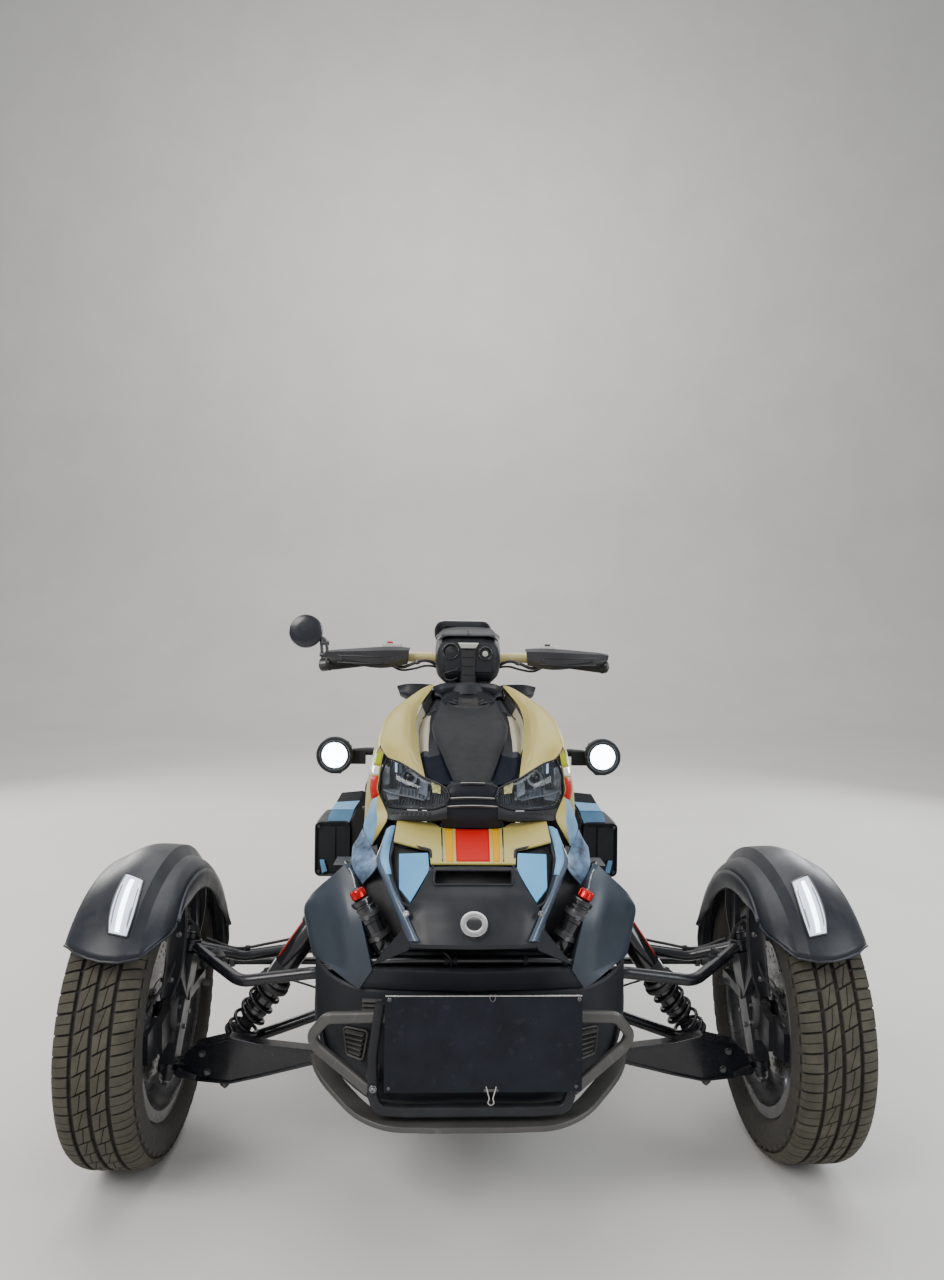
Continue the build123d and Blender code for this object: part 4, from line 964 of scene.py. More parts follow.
wheel("wheel_front_left", 150, FX, 0, FZ, 1, 38, -26, 34, "wheel_l", "front_wheel_left", (653, 658, 134, 52))
wheel("wheel_front_right", 150, -FX, 0, FZ, -1, 38, -26, 34, "wheel_r", "front_wheel_right", (-658, -653, 134, 52))
wheel("wheel_rear_rim", 205, 0, RA, RZ, -1, 58, -60, 54, "wheel_rear", "rear_wheel", None)


# ---------------------------------------------------------------- front fenders with their lamps
def put_rows(geo, rows, mat=0):
    n = len(rows[0])
    geo.put([p for r in rows for p in r], [(i * n + j, i * n + j + 1, (i + 1) * n + j + 1, (i + 1) * n + j) for i in range(len(rows) - 1) for j in range(n - 1)], mat)


def ease(t):
    t = min(max(t, 0.0), 1.0)
    return t * t * (3 - 2 * t)


F_BASE = ((751, 292), (752.5, 303), (745, 308.5), (722, 320), (702, 331), (686, 336.5), (645, 338), (621, 336), (608, 313.5), (598, 309.5), (591, 306.5),
          (583, 300), (577, 292), (574, 283))
F_FRONT = ((751, 293), (752.5, 305), (745, 315), (722, 327), (694, 334.5), (668, 338), (642, 338.5), (624, 336.5), (607, 322), (597, 319.5), (589, 315),
           (577, 307), (569, 296), (565, 286))
F_SPAN = ((44.5, 164), (43.5, 172), (42.5, 179), (39.5, 184), (37.5, 186), (36.3, 186), (36, 186), (36.5, 185), (38, 184), (39.5, 183), (41.5, 181),
          (45, 176), (48.5, 170), (53, 164))
FB = spline([(x, r, 0) for x, r in F_BASE], 6, (7, 8))
FF = spline([(x, r, 0) for x, r in F_FRONT], 6, (7, 8))
FS = spline([(s, e, 0) for s, e in F_SPAN], 6)


def fender_point(j, t, lift=0.0):
    phi = FS[j][0] + t * (FS[j][1] - FS[j][0])
    w = 1 - ease((phi - 48) / 32)
    x, r = (FB[j] * (1 - w) + FF[j] * w)[:2]
    p = math.radians(phi)
    return (x, -(r + lift) * math.cos(p), FZ + (r + lift) * math.sin(p))


def fender_radius(x, phi):
    w = 1 - ease((phi - 48) / 32)
    sec = (FB * (1 - w) + FF * w)[6:]
    return float(np.interp(-x, -sec[:, 0], sec[:, 1]))


def on_fender(x, phi, lift=0.0):
    r, p = fender_radius(x, phi) + lift, math.radians(phi)
    return (x, -r * math.cos(p), FZ + r * math.sin(p))


g = Geo()
nj, nt = len(FB), 61
g.put([fender_point(j, i / (nt - 1)) for i in range(nt) for j in range(nj)],
      [(i * nj + j, (i + 1) * nj + j, (i + 1) * nj + j + 1, i * nj + j + 1) for i in range(nt - 1) for j in range(nj - 1)])
mirrored_build("front_fender", g, M["fender"], ("knuckle_l", "knuckle_r"), replaces=("fender_left", "fender_right"), slot="matte_black",
               solid=3.5, angle=26, fix=False)
g = Geo()
rim_path = [fender_point(j, 0, -1.2) for j in range(nj)] + [fender_point(nj - 1, i / 60, -1.2) for i in range(1, 61)]
rim_path += [fender_point(j, 1, -1.2) for j in range(nj - 2, -1, -1)] + [fender_point(0, i / 60, -1.2) for i in range(59, 0, -1)]
sweep(g, rim_path, circle(2.3, 8), closed=True)
mirrored_build("front_fender_edge", g, M["fender"], ("knuckle_l", "knuckle_r"), slot="matte_black", angle=40)

# inner skirt below the fender's inner edge, and the groove above it
g = Geo()
rows = []
for i in range(nt):
    t = 0.02 + 0.96 * i / (nt - 1)
    phi = FS[nj - 1][0] + t * (FS[nj - 1][1] - FS[nj - 1][0])
    k = ease((phi - 54) / 26) * ease((163 - phi) / 26)
    x0, a0, z0 = fender_point(nj - 1, t)
    p = math.radians(phi)
    rows.append([(x0 + dx, a0 + dr * k * math.cos(p), z0 - dr * k * math.sin(p)) for dx, dr in ((1.2, -2.0 / max(k, 0.2)), (-1.6, 6), (-2.6, 14), (-2.4, 24), (-0.6, 33), (3.4, 37))])
put_rows(g, rows)
mirrored_build("fender_skirt", g, M["fender"], ("knuckle_l", "knuckle_r"), slot="matte_black", solid=3, angle=30, fix=False)

LAMP_L = spline([(630, 43.6, 0), (629, 50, 0), (632, 58, 0), (637, 65.6, 0)], 5)
LAMP_R = spline([(666, 44.8, 0), (675, 51.5, 0), (679, 60, 0), (678, 69.2, 0)], 5)


def lamp_point(s, t, lift):
    k = t * (len(LAMP_L) - 1)
    i = min(int(k), len(LAMP_L) - 2)
    f = k - i
    a, b = LAMP_L[i] * (1 - f) + LAMP_L[i + 1] * f, LAMP_R[i] * (1 - f) + LAMP_R[i + 1] * f
    q = a * (1 - s) + b * s
    return on_fender(q[0], q[1], lift)


def patch(geo, s0, s1, t0, t1, lift, mat, ns=6, nt=14, skirt=6.0):
    """Raised cushion on the lamp's place, with its sides down into the fender."""
    vv = []
    for i in range(nt + 1):
        for j in range(ns + 1):
            s, t = s0 + (s1 - s0) * j / ns, t0 + (t1 - t0) * i / nt
            edge = min(1 - abs(2 * j / ns - 1) ** 5, 1 - abs(2 * i / nt - 1) ** 9)
            vv.append(lamp_point(s, t, lift - 1.8 * (1 - edge)))
    ff = [(i * (ns + 1) + j, (i + 1) * (ns + 1) + j, (i + 1) * (ns + 1) + j + 1, i * (ns + 1) + j + 1) for i in range(nt) for j in range(ns)]
    border = [(0, j) for j in range(ns)] + [(i, ns) for i in range(nt)] + [(nt, ns - j) for j in range(ns)] + [(nt - i, 0) for i in range(nt)]
    top = [i * (ns + 1) + j for i, j in border]
    base = len(vv)
    for i, j in border:
        vv.append(lamp_point(s0 + (s1 - s0) * j / ns, t0 + (t1 - t0) * i / nt, lift - 1.8 - skirt))
    k = len(border)
    ff += [(top[i], top[(i + 1) % k], base + (i + 1) % k, base + i) for i in range(k)]
    geo.put(vv, ff, mat)


g = Geo()
patch(g, 0.0, 1.0, 0.0, 1.0, 3.2, 0)
patch(g, 0.40, 0.66, 0.05, 0.93, 4.4, 1, 4, 12, 1.5)
patch(g, 0.10, 0.22, 0.10, 0.90, 4.0, 3, 3, 12, 1.2)
patch(g, 0.80, 0.90, 0.10, 0.90, 4.0, 3, 3, 12, 1.2)
loop = [lamp_point(j / 8, 0, 1.8) for j in range(8)] + [lamp_point(1, i / 20, 1.8) for i in range(20)]
loop += [lamp_point(1 - j / 8, 1, 1.8) for j in range(8)] + [lamp_point(0, 1 - i / 20, 1.8) for i in range(20)]
sweep(g, round_path(loop, 4, 3, True), rounded_rect(3.4, 3.0, 1.0, 2), 2, closed=True)
mirrored_build("fender_lamp", g, [M["led_soft"], M["led"], M["bezel"], M["chrome"]], ("knuckle_l", "knuckle_r"),
               replaces=("fender_lamp_left", "fender_lamp_right"), slot="led_white", angle=40)

# fender stay: pressed strip from the upright up into the fender, seen through the wheel's front
g = Geo()
stay = spline([(587, -48, 574), (588, -56, 548), (591, -66, 500), (595, -68, 440), (603, -66, 385), (616, -60, 338)], 6)
wide = spline([(5, 0, 0), (9, 0, 0), (17, 0, 0), (20, 0, 0), (18, 0, 0), (13, 0, 0)], 6)[:, 0]
rings = []
for k, p in enumerate(stay):
    w = wide[k]
    rings.append([V(p) + V(q) for q in ((-w, 2.5, 0), (-w, -0.5, 0), (-w + 3, -3.5, 0), (-w + 7, -1.5, 0), (0, -1.0, 0), (w - 7, -1.5, 0), (w - 3, -3.5, 0), (w, -0.5, 0),
                                        (w, 2.5, 0))])
loft(g, rings)
for k in (5, 15, 25):
    p = stay[k]
    bolt(g, (p[0] + (1 if k != 15 else -3), p[1] - 1.5, p[2]), (0, -1, 0), 4.6, 3.4, 1, "socket")
rear_stay = spline([(589, 54, 570), (589, 66, 544), (590, 76, 490), (594, 70, 430), (600, 52, 376)], 6)
rings = []
for k, p in enumerate(rear_stay):
    w = 7 + 8 * math.sin(math.pi * min(1.0, 0.12 + k / (len(rear_stay) - 1)))
    rings.append([V(p) + V(q) for q in ((-w, -2.5, 0), (-w, 0.5, 0), (-w + 3, 3, 0), (0, 1.0, 0), (w - 3, 3, 0), (w, 0.5, 0), (w, -2.5, 0))])
loft(g, rings)
mirrored_build("fender_stay", g, [M["frame"], M["zinc"]], ("knuckle_l", "knuckle_r"), slot="frame_paint", angle=30, bevel=0.8)

# ---------------------------------------------------------------- uprights: boots, brake calipers, hoses
KLOW, KTOP = V((625, -11, 176)), V((588, 11, 424))
KUP = unit(KTOP - KLOW)
g = Geo()


def boot(geo, centre, d, folds, r0, r1, length, mat):
    prof = [(0, r0 * 0.6)]
    for i in range(folds * 2 + 1):
        t = i / (folds * 2)
        prof.append((t * length, (r0 * (1 - t) + r1 * t) * (1.0 if i % 2 == 0 else 0.82)))
    prof.append((length, r1 * 0.5))
    lathe(geo, centre, d, prof, mat, 28)


boot(g, KTOP - KUP * 13.5, -KUP, 3, 15, 13, 13, 1)
boot(g, KLOW + KUP * 13.5, KUP, 3, 16, 13, 13, 1)
lathe(g, KTOP + KUP * 24, KUP, [(0, 11), (2, 13), (4, 13), (4, 11)], 2, 24)
lathe(g, KTOP + KUP * 26, KUP, [(0, 10.5), (9, 10.5), (11, 9)], 2, 6)
lathe(g, KLOW - KUP * 24, -KUP, [(0, 11), (2, 13), (4, 13), (4, 11)], 2, 24)
lathe(g, KLOW - KUP * 26, -KUP, [(0, 10.5), (9, 10.5), (11, 9)], 2, 6)
# wheel carrier round the spindle: ribbed cast ring with bolts towards the brake disc
lathe(g, (600, 0, FZ), (1, 0, 0), [(0, 31), (0, 42), (3, 44), (16, 44), (18, 42), (18, 36), (34, 34), (36, 31)], 0, 40)
for i in range(6):
    th = 2 * math.pi * (i + 0.5) / 6
    p = V((600, 37 * math.cos(th), FZ + 37 * math.sin(th)))
    bolt(g, p, (-1, 0, 0), 4.6, 5, 2, "hex")
for th in (55, 125, 235, 305):
    c, s = math.cos(math.radians(th)), math.sin(math.radians(th))
    rings = [[V((x, rr * c - w * s, FZ + rr * s + w * c)) for w, x in ((-h, 606), (h, 606), (h, 618), (-h, 618))] for rr, h in ((40, 7), (58, 5), (66, 3.5))]
    loft(g, rings)
# caliper over the disc's front edge
ang = [math.radians(a) for a in (150, 160, 170, 180, 190, 200)]
for x0, x1, r0, r1 in ((634, 650, 96, 140), (661, 674, 98, 138)):
    rings = []
    for t in ang:
        k = 1 - 0.12 * abs(math.degrees(t) - 175) / 25
        rings.append([(x, math.cos(t) * r, FZ + 0 - math.sin(t) * -1 * r) for x, r in ((x0, r0 + (1 - k) * 40), (x1, r0 + (1 - k) * 40), (x1, r1 * k + r0 * (1 - k)), (x0, r1 * k + r0 * (1 - k)))])
    loft(g, rings, 3)
rings = [[(x, math.cos(t) * r, FZ + math.sin(t) * r) for x, r in ((634, 139), (674, 139), (674, 149), (654, 153), (634, 149))] for t in ang]
loft(g, rings, 3)
for t in (158, 178, 196):
    c, s = math.cos(math.radians(t)), math.sin(math.radians(t))
    lathe(g, (635, 118 * c, FZ + 118 * s), (-1, 0, 0), [(0, 15), (3, 15), (5, 13.5), (5, 8), (3.5, 7)], 3, 26)
for t in (150, 202):
    c, s = math.cos(math.radians(t)), math.sin(math.radians(t))
    bolt(g, (632, 112 * c, FZ + 112 * s), (-1, 0, 0), 5.5, 5, 2, "hex")
hose = spline([(634, -132, 330), (618, -128, 362), (602, -84, 392), (597, -56, 430), (592, -40, 470), (584, -28, 486), (572, -14, 470), (566, 0, 440)], 6)
tube(g, hose, 3.2, 4, 10)
lathe(g, (634, -132, 326), (0, 0, 1), [(0, 4.5), (12, 4.5), (13, 3.5)], 2, 6)
# steering arm's stud and nut under the tie rod's eye
lathe(g, (582, 110, 308), (0, 0, -1), [(0, 9), (2, 9), (2, 8), (10, 8), (11, 6.5)], 2, 6)
mirrored_build("upright_detail", g, [M["alloy_dark"], M["rubber"], M["zinc"], M["alloy_dark"], M["cable"]], ("knuckle_l", "knuckle_r"),
               slot="frame_paint", angle=34)

# ---------------------------------------------------------------- arms: clamps, bolts, plate flanges, brake hose, rod ends
g = Geo()
rows = [(606, -14, 164, 192, 11), (560, -24, 157, 232, 12), (490, -40, 158, 254, 12), (424, -54, 178, 246, 12), (322, -66, 208, 240, 12), (113, -88, 236, 268, 12)]
for edge in (0, 1):  # rolled flanges along the pressed plate's upper and lower edges
    path = [(x, a - h - 1.0, (z1 - 3 if edge else z0 + 3)) for x, a, z0, z1, h in rows[1:]]
    sweep(g, round_path(path, 40, 5), rounded_rect(6, 6, 2, 2), 0)
plate_mid = [(x, a - h - 0.6, z0 + (z1 - z0) * 0.5) for x, a, z0, z1, h in rows[1:]]
mid = spline(plate_mid, 6)
for k in (19,):  # pressed oval beads
    p, q = mid[k], mid[min(k + 2, len(mid) - 1)]
    d = unit(q - p)
    ring = []
    for j in range(20):
        th = 2 * math.pi * j / 20
        ring.append(p + d * (20 * math.cos(th)) + V((0, 0, 1)) * (9 * math.sin(th)))
    sweep(g, ring, circle(1.6, 8), 0, closed=True)
for x, a, z in ((548, -39.5, 214), (536, -42, 178)):
    bolt(g, (x, a, z), (0, -1, 0), 5.5, 5, 1, "hex")
# pinch clamp and lower lug
lathe(g, KLOW - KUP * 11.5, KUP, [(0, 19), (1, 21), (9, 22), (14, 22), (22, 21), (23, 19)], 0, 36)
lathe(g, KTOP - KUP * 11.5, KUP, [(0, 19), (1, 21), (9, 22), (14, 22), (22, 21), (23, 19)], 0, 36)
loft(g, [[(500 + u, a, z) for u, z in ((-13, 163), (13, 161), (9, 151), (0, 144), (-8, 150))] for a in (-44, -28)])
loft(g, [[(x, a, z) for x, z in ((560, 170), (560, 160), (598, 164), (606, 172), (598, 182))] for a in (-38, -14)])
rod(g, (500, -47, 152), (500, -25, 152), 3.5, 1, 16)
# gussets where the upper legs meet
loft(g, [[(x, a, z) for x, a in ((566, -10), (566, 22), (530, 26), (506, -26), (530, -32))] for z in (405, 411)])
# inner pivots
for a, z, w in ((-88, 402, 26), (60, 402, 26), (60, 324, 26), (-88, 252, 30)):
    lathe(g, (124, a - w, z), (0, 1, 0), [(0, 11), (0, 17), (2, 18.5), (2 * w - 2, 18.5), (2 * w, 17), (2 * w, 11)], 0, 30)
    bolt(g, (124, a - w, z), (0, -1, 0), 7, 6, 1, "hex")
# hose along the rear upper leg with two clips
leg = [(560, 24, 430), (500, 44, 402), (430, 58, 408), (366, 66, 418), (300, 66, 422), (230, 62, 424), (180, 50, 430)]
tube(g, spline(leg, 6), 3.0, 2, 10)
for k in (8, 20):
    p = spline(leg, 6)[k]
    lathe(g, p - V((5, 0, 0)), (1, 0, 0), [(0, 4.2), (1, 5), (9, 5), (10, 4.2)], 3, 16)
# second thin line under the front leg
thin = [(404, -20, 362), (380, -16, 358), (350, -16, 350), (310, -18, 338), (250, -20, 326)]
tube(g, spline(thin, 6), 2.2, 2, 8)
build("arm_detail", g.both(), [M["arm"], M["dark_steel"], M["cable"], M["rubber"]], "chassis", slot="arm_steel", angle=34)

g = Geo()
lathe(g, (582, 110, 342.2), (0, 0, 1), [(0, 13), (1, 15.2), (16.8, 15.2), (18, 13), (18, 7), (21, 6)], 0, 30)
lathe(g, (582, 110, 360), (0, 0, 1), [(0, 9), (1.5, 11), (3, 8.5), (4, 5)], 1, 24)
lathe(g, (566, 110, 350), (-1, 0, 0), [(0, 10), (4, 12), (30, 12), (34, 10)], 0, 24)
lathe(g, (528, 110, 350), (-1, 0, 0), [(0, 9), (0, 12.5), (10, 12.5), (10, 9)], 2, 6)
prof = [(0, 15)]
for i in range(13):
    prof.append((8 + i * 7, (21 if i % 2 == 0 else 16) - i * 0.45))
prof.append((98, 9))
lathe(g, (146, 110, 350), (1, 0, 0), prof, 1, 28)
for t in (10, 94):
    lathe(g, (146 + t, 110, 350), (1, 0, 0), [(0, 19 if t == 10 else 11.5), (0, 22.5 if t == 10 else 13.5), (4, 22.5 if t == 10 else 13.5), (4, 19 if t == 10 else 11.5)], 3, 28)
build("tie_rod_ends", g.both(), [M["alloy_dark"], M["rubber"], M["zinc"], M["steel"]], "tie_link", slot="arm_steel", angle=34)

# ---------------------------------------------------------------- front shocks with coil springs, and their reservoirs
def M_(u, v, a):
    p = px(u, v, a)
    return (-p[0], a, p[2])


LO, HI = V((499, 8, 213)), V((262, 8, 566))
SD = unit(HI - LO)
SL = float(np.linalg.norm(HI - LO))
g = Geo()
for t in (0, SL - 12):  # eyes with sleeves
    c = LO + SD * t
    lathe(g, c - V((0, 12, 0)), (0, 1, 0), [(0, 6), (0, 11), (2, 13), (24, 13), (26, 11), (26, 6)], 0, 28)
    lathe(g, c - V((0, 17, 0)), (0, 1, 0), [(0, 5), (0, 8), (32, 8), (32, 5)], 2, 24)
    bolt(g, c - V((0, 17, 0)), (0, -1, 0), 6, 6, 2, "hex")
lathe(g, LO, SD, [(8, 10), (12, 12), (20, 12), (21, 31), (24, 33), (28, 33), (30, 31), (30, 20), (40, 18), (42, 12)], 0, 40)
lathe(g, LO, SD, [(36, 8.0), (120, 8.0)], 5, 24)
lathe(g, LO, SD, [(44, 11), (46, 17), (50, 14), (54, 16.5), (58, 13.5), (62, 15.5), (66, 12)], 4, 26)
lathe(g, LO, SD, [(66, 12), (67, 20), (70, 23.5), (74, 24.5), (154, 24.5), (158, 23)], 1, 40)
lathe(g, LO, SD, [(88, 24.6), (89, 26), (96, 26), (97, 24.6)], 6, 40)
lathe(g, LO, SD, [(160, 24), (162, 25.5), (352, 25.5), (356, 23), (SL - 34, 21), (SL - 16, 16)], 1, 44)
for i in range(10):  # thread under the spring's upper seat
    lathe(g, LO, SD, [(160 + i * 4.2, 25.4), (162 + i * 4.2, 26.8), (164.1 + i * 4.2, 25.4)], 1, 40)
lathe(g, LO, SD, [(146, 24), (147, 34), (150, 36), (156, 36), (158, 34), (159, 25)], 0, 40)
lathe(g, LO, SD, [(160, 25), (161, 32), (169, 32), (170, 25)], 6, 40)
u, v = basis(SD)
for i in range(14):
    th = 2 * math.pi * i / 14
    rod(g, LO + SD * 162 + (u * math.cos(th) + v * math.sin(th)) * 31.4, LO + SD * 168 + (u * math.cos(th) + v * math.sin(th)) * 31.4, 2.6, 6, 8, 0.4)
coil = helix(LO + SD * 33, LO + SD * 144, 29.5, 4.6, 26)
tube(g, coil, 3.9, 3, 12)
d = unit(V((SD[2], -0.5, -SD[0])))  # thin stripe along the body's outer side
rod(g, LO + SD * 212 + d * 25.6, LO + SD * 350 + d * 25.6, 1.7, 7, 8, 0.5)
lathe(g, LO, SD, [(300, 25.6), (301, 27.5), (309, 27.5), (310, 25.6)], 6, 40)
# banjo fitting and hose to the reservoir
fit = LO + SD * 340 + V((0, -24, 0))
lathe(g, fit, (0, -1, 0), [(0, 8), (8, 8), (9, 6.5), (14, 6.5)], 2, 6)
hose = spline([fit + V((0, -12, 0)), fit + V((-8, -60, 22)), (268, -120, 566), (246, -172, 560), (222, -196, 540), (186, -202, 500), (164, -206, 478), (158, -206, 490)], 6)
tube(g, hose, 4.2, 8, 12)
RT, RL = V((212, -197, 580)), V((163, -206, 488))
RD = unit(RT - RL)
RLN = float(np.linalg.norm(RT - RL))
lathe(g, RL, RD, [(-6, 12), (-3, 18), (0, 20), (22, 20.6), (24, 19), (27, 19), (29, 20.6), (58, 20.6), (60, 22.6), (68, 22.6), (70, 20.6), (RLN - 16, 20.6), (RLN - 14, 18.6),
                  (RLN - 11, 18.6), (RLN - 9, 21), (RLN - 2, 21), (RLN, 19)], 1, 40)
for t0 in (33, 76):
    lathe(g, RL, RD, [(t0, 20.7), (t0, 21.6), (t0 + 6, 21.6), (t0 + 6, 20.7)], 6, 40)
prof_n = 12
u, v = basis(RD)
rings = []
for t, rr in ((RLN + 1, 9), (RLN + 2, 12.5), (RLN + 4, 14.5), (RLN + 16, 14.5), (RLN + 19, 12.5), (RLN + 20, 8)):
    ring = []
    for i in range(prof_n * 4):
        th = 2 * math.pi * i / (prof_n * 4)
        q = rr * (1 - (0.10 if i % 4 in (0,) and 10 < rr else 0))
        ring.append(RL + RD * t + (u * math.cos(th) + v * math.sin(th)) * q)
    rings.append(ring)
loft(g, rings, 9)
lathe(g, RL + RD * (RLN + 18.5), RD, [(0, 6), (3, 5.4), (3, 2.6), (1.4, 2.4)], 2, 20)
# saddle that carries the reservoir, running back into the nose
for t in (30, 74):
    c = RL + RD * t
    lathe(g, c - RD * 4.5, RD, [(0, 20.6), (0, 23.6), (9, 23.6), (9, 20.6)], 0, 36, closed=True)
    loft(g, [[c + V((x, a, 0)) + RD * h for x, h in ((-9, -4), (9, -4), (9, 4), (-9, 4))] for a in (20, 60)], 0)
    bolt(g, c + V((0, -23, 0)), (0, -1, 0.2), 4, 3.5, 2, "socket")
# thin bleed line up from the knob
line = spline([RT + RD * 14 + V((4, 6, 6)), M_(353, 877, -172), M_(347, 866, -128), M_(345.5, 861, -70), (256, -22, 604), (262, 4, 596), (262, 8, 580)], 6)
tube(g, line, 1.9, 10, 8)
build("front_shock_units", g.both(), [M["alloy_dark"], M["gloss"], M["zinc"], M["arm"], M["rubber"], M["chrome"], M["dark_steel"], M["red"], M["braid"], M["knob"],
      M["steel"]], "chassis", replaces="front_shocks", slot="shock_metal", angle=36)


# ---------------------------------------------------------------- nose: cream panel, stripes, dome, scoops, fascia
def L(u, v, a):
    """The +X twin of the point seen at (u, v) on the image's left half."""
    p = px(u, v, a)
    return (-p[0], a, p[2])


def grid_of(rows, nr=5, nc=5, sharp_r=(), sharp_c=()):
    lines = [spline(r, nc, sharp_c) for r in rows]
    g_ = np.array([spline([line[j] for line in lines], nr, sharp_r) for j in range(len(lines[0]))])
    return np.transpose(g_, (1, 0, 2))


def put_grid(geo, grid, mat=0, skip=None):
    nr, nc = grid.shape[:2]
    ff = [(i * nc + j, i * nc + j + 1, (i + 1) * nc + j + 1, (i + 1) * nc + j) for i in range(nr - 1) for j in range(nc - 1) if not (skip and skip(i, j))]
    geo.put(grid.reshape(-1, 3), ff, mat)


def cream_z(x, a):
    return 695.5 + 0.431 * (a + 113) + 0.0006 * x * x * max(0.0, min(1.0, (a + 200) / 82))


def quad(geo, c, nu, nv, mat=0, lift=0.0, zf=cream_z):
    """Patch over the surface zf from four (x, a) corners in order."""
    c = np.array(c, float)
    vv = []
    for j in range(nv + 1):
        for i in range(nu + 1):
            s, t = i / nu, j / nv
            p = (1 - s) * (1 - t) * c[0] + s * (1 - t) * c[1] + s * t * c[2] + (1 - s) * t * c[3]
            vv.append((p[0], p[1], zf(p[0], p[1]) + lift))
    geo.put(vv, [(j * (nu + 1) + i, j * (nu + 1) + i + 1, (j + 1) * (nu + 1) + i + 1, (j + 1) * (nu + 1) + i) for j in range(nv) for i in range(nu)], mat)


g = Geo()
quad(g, [(0, -113), (57, -113), (57, -177), (0, -177)], 6, 6)
quad(g, [(0, -177), (57, -177), (57, -213), (0, -213)], 6, 4)
quad(g, [(57, -113), (80, -99), (84, -177), (57, -177)], 3, 6)
quad(g, [(57, -177), (84, -177), (80, -213), (57, -213)], 3, 4)
quad(g, [(80, -99), (149, -101), (153, -160), (84, -177)], 7, 6)
build("nose_cream", g.both(), M["cream"], "chassis", replaces="nose_panel", slot="cream_paint", solid=5, bevel=1.6, segments=3, weld=0.4)
g = Geo()
for x0, x1, mat in ((0.0, 33.5, 0), (39.5, 53.5, 1), (59.5, 62.0, 2)):
    quad(g, [(x0, -114.5), (x1, -114.5), (x1 * 0.95, -208.5), (x0 * 0.95, -208.5)], 6, 12, mat, 0.35)
build("nose_stripes", g.both(), [M["red"], M["yellow"], M["gloss"]], "chassis", slot="cream_paint", solid=0.5, weld=0.2)

# dome with the air slot over it
D = [
    [(0, -214, 647), (40, -214, 647), (71, -214, 646), (83, -214, 645)],
    [(0, -221, 641), (40, -221, 641), (71, -221, 641), (84, -222, 641)],
    [(0, -240, 619), (40, -240, 619), (71, -240, 619), (96, -243, 616)],
    [(0, -264, 600), (42, -263, 600), (82, -261, 598), (114, -262, 592)],
    [(0, -284, 579), (44, -281, 579), (88, -273, 577), (125, -264, 573)],
    [(0, -297, 562), (46, -294, 562), (92, -284, 561), (131, -266, 557)],
    [(0, -307, 545), (44, -304, 545), (88, -296, 544), (124, -282, 543)],
    [(0, -314, 533), (42, -312, 533), (80, -307, 532), (113, -299, 531)],
    [(0, -311, 525), (42, -309, 525), (80, -304, 524), (112, -296, 523)],
    [(0, -262, 508), (42, -260, 508), (80, -256, 508), (112, -248, 507)],
]
n_r, n_c = 6, 6
grid = grid_of(D, n_r, n_c, (1, 2, 7, 8), (2,))
g = Geo()
put_grid(g, grid, 0, lambda i, j: n_r <= i < 2 * n_r and j < 2 * n_c)
build("nose_dome", g.both(), M["panel"], "chassis", slot="matte_black", solid=4, bevel=1.2, segments=2, weld=0.3)
g = Geo()
top = [V(p) for p in grid[n_r][:2 * n_c + 1]]
low = [V(p) for p in grid[2 * n_r][:2 * n_c + 1]]
back = V((0, 46, -14))
rows = [top, [p + back * 0.5 for p in top], [p + back + V((0, 0, -4)) for p in top], [p + back * 0.7 for p in low], low]
gg = Geo()
put_grid(gg, np.array(rows), 0)
end = [r[-1] for r in rows]
gg.put(end, [tuple(range(5))], 0)
build("nose_slot", gg.both(), [M["under"], M["matte"]], "chassis", slot="gloss_black", fix=False)
g = Geo()
edge = list(top) + [V((73.5, -226, 634)), V((73.5, -236, 624))] + list(reversed(low))
full = [V(p) for p in edge] + [V((-p[0], p[1], p[2])) for p in reversed(edge) if p[0] > 0.1]
full = [p for i, p in enumerate(full) if i == 0 or np.linalg.norm(p - full[i - 1]) > 0.5]
sweep(g, [p + V((0, -0.6, 0.8)) for p in full], circle(2.0, 8), closed=True)
build("nose_slot_lip", g, M["matte"], "chassis", slot="matte_black")

# bare round badge seat on the dome, its raised rim and two panel screws
g = Geo()
c = V((0, -297.5, 562.5))
nrm = unit((0, -0.66, 0.75))
c = c + nrm * 5.0
lathe(g, c - nrm * 2, nrm, [(-16, 22.0), (-1, 24.6), (0, 25.0), (3.2, 25.0), (4.4, 24.2), (4.8, 22.0), (5.0, 16.5), (4.6, 14.4), (3.6, 13.6)], 0, 56, closed=True)
lathe(g, c - nrm * 2, nrm, [(0, 13.9), (3.4, 13.8), (3.9, 11), (4.2, 0.01)], 1, 56)
build("nose_disc", g, [M["steel"], M["gloss"]], "chassis", slot="gloss_black", angle=30)
g = Geo()
for sx in (1, -1):
    p = V(L(406, 914, -277))
    bolt(g, (sx * p[0], p[1], p[2]), (sx * 0.15, -0.85, 0.5), 4.4, 3.0, 0, "socket")
build("nose_screws", g, M["zinc"], "chassis", slot="shock_metal")

# scoop panels, their light blue a painted reflection of bluish lamps in black satin, set into a dark pocket
scoop = [L(399, 853.5, -186), L(428, 852.5, -184), L(429.5, 870, -219), L(410.5, 902, -258), L(399, 887, -236)]
g = Geo()
cen = sum(V(p) for p in scoop) / 5
ring0 = [V(p) for p in scoop]
ring1 = [V(p) + V((0, 5, -6)) for p in scoop]
g.put(ring0 + [cen + V((0, 1.5, -1.5))] + ring1, [(i, (i + 1) % 5, 5) for i in range(5)] + [((i + 1) % 5, i, 6 + i, 6 + (i + 1) % 5) for i in range(5)] + [tuple(6 + i for i in range(5))], 0)
M["scoop"] = finish("scoop_painted_reflection", (0.12, 0.39, 0.68), 0.34, metal=0.15, coat=0.4, coat_rough=0.08, grain=(1500, 0.05), patch=(9, 0.10))
build("nose_scoops", g.both(), M["scoop"], "chassis", slot="gloss_black", bevel=1.2, segments=3, angle=20)
g = Geo()
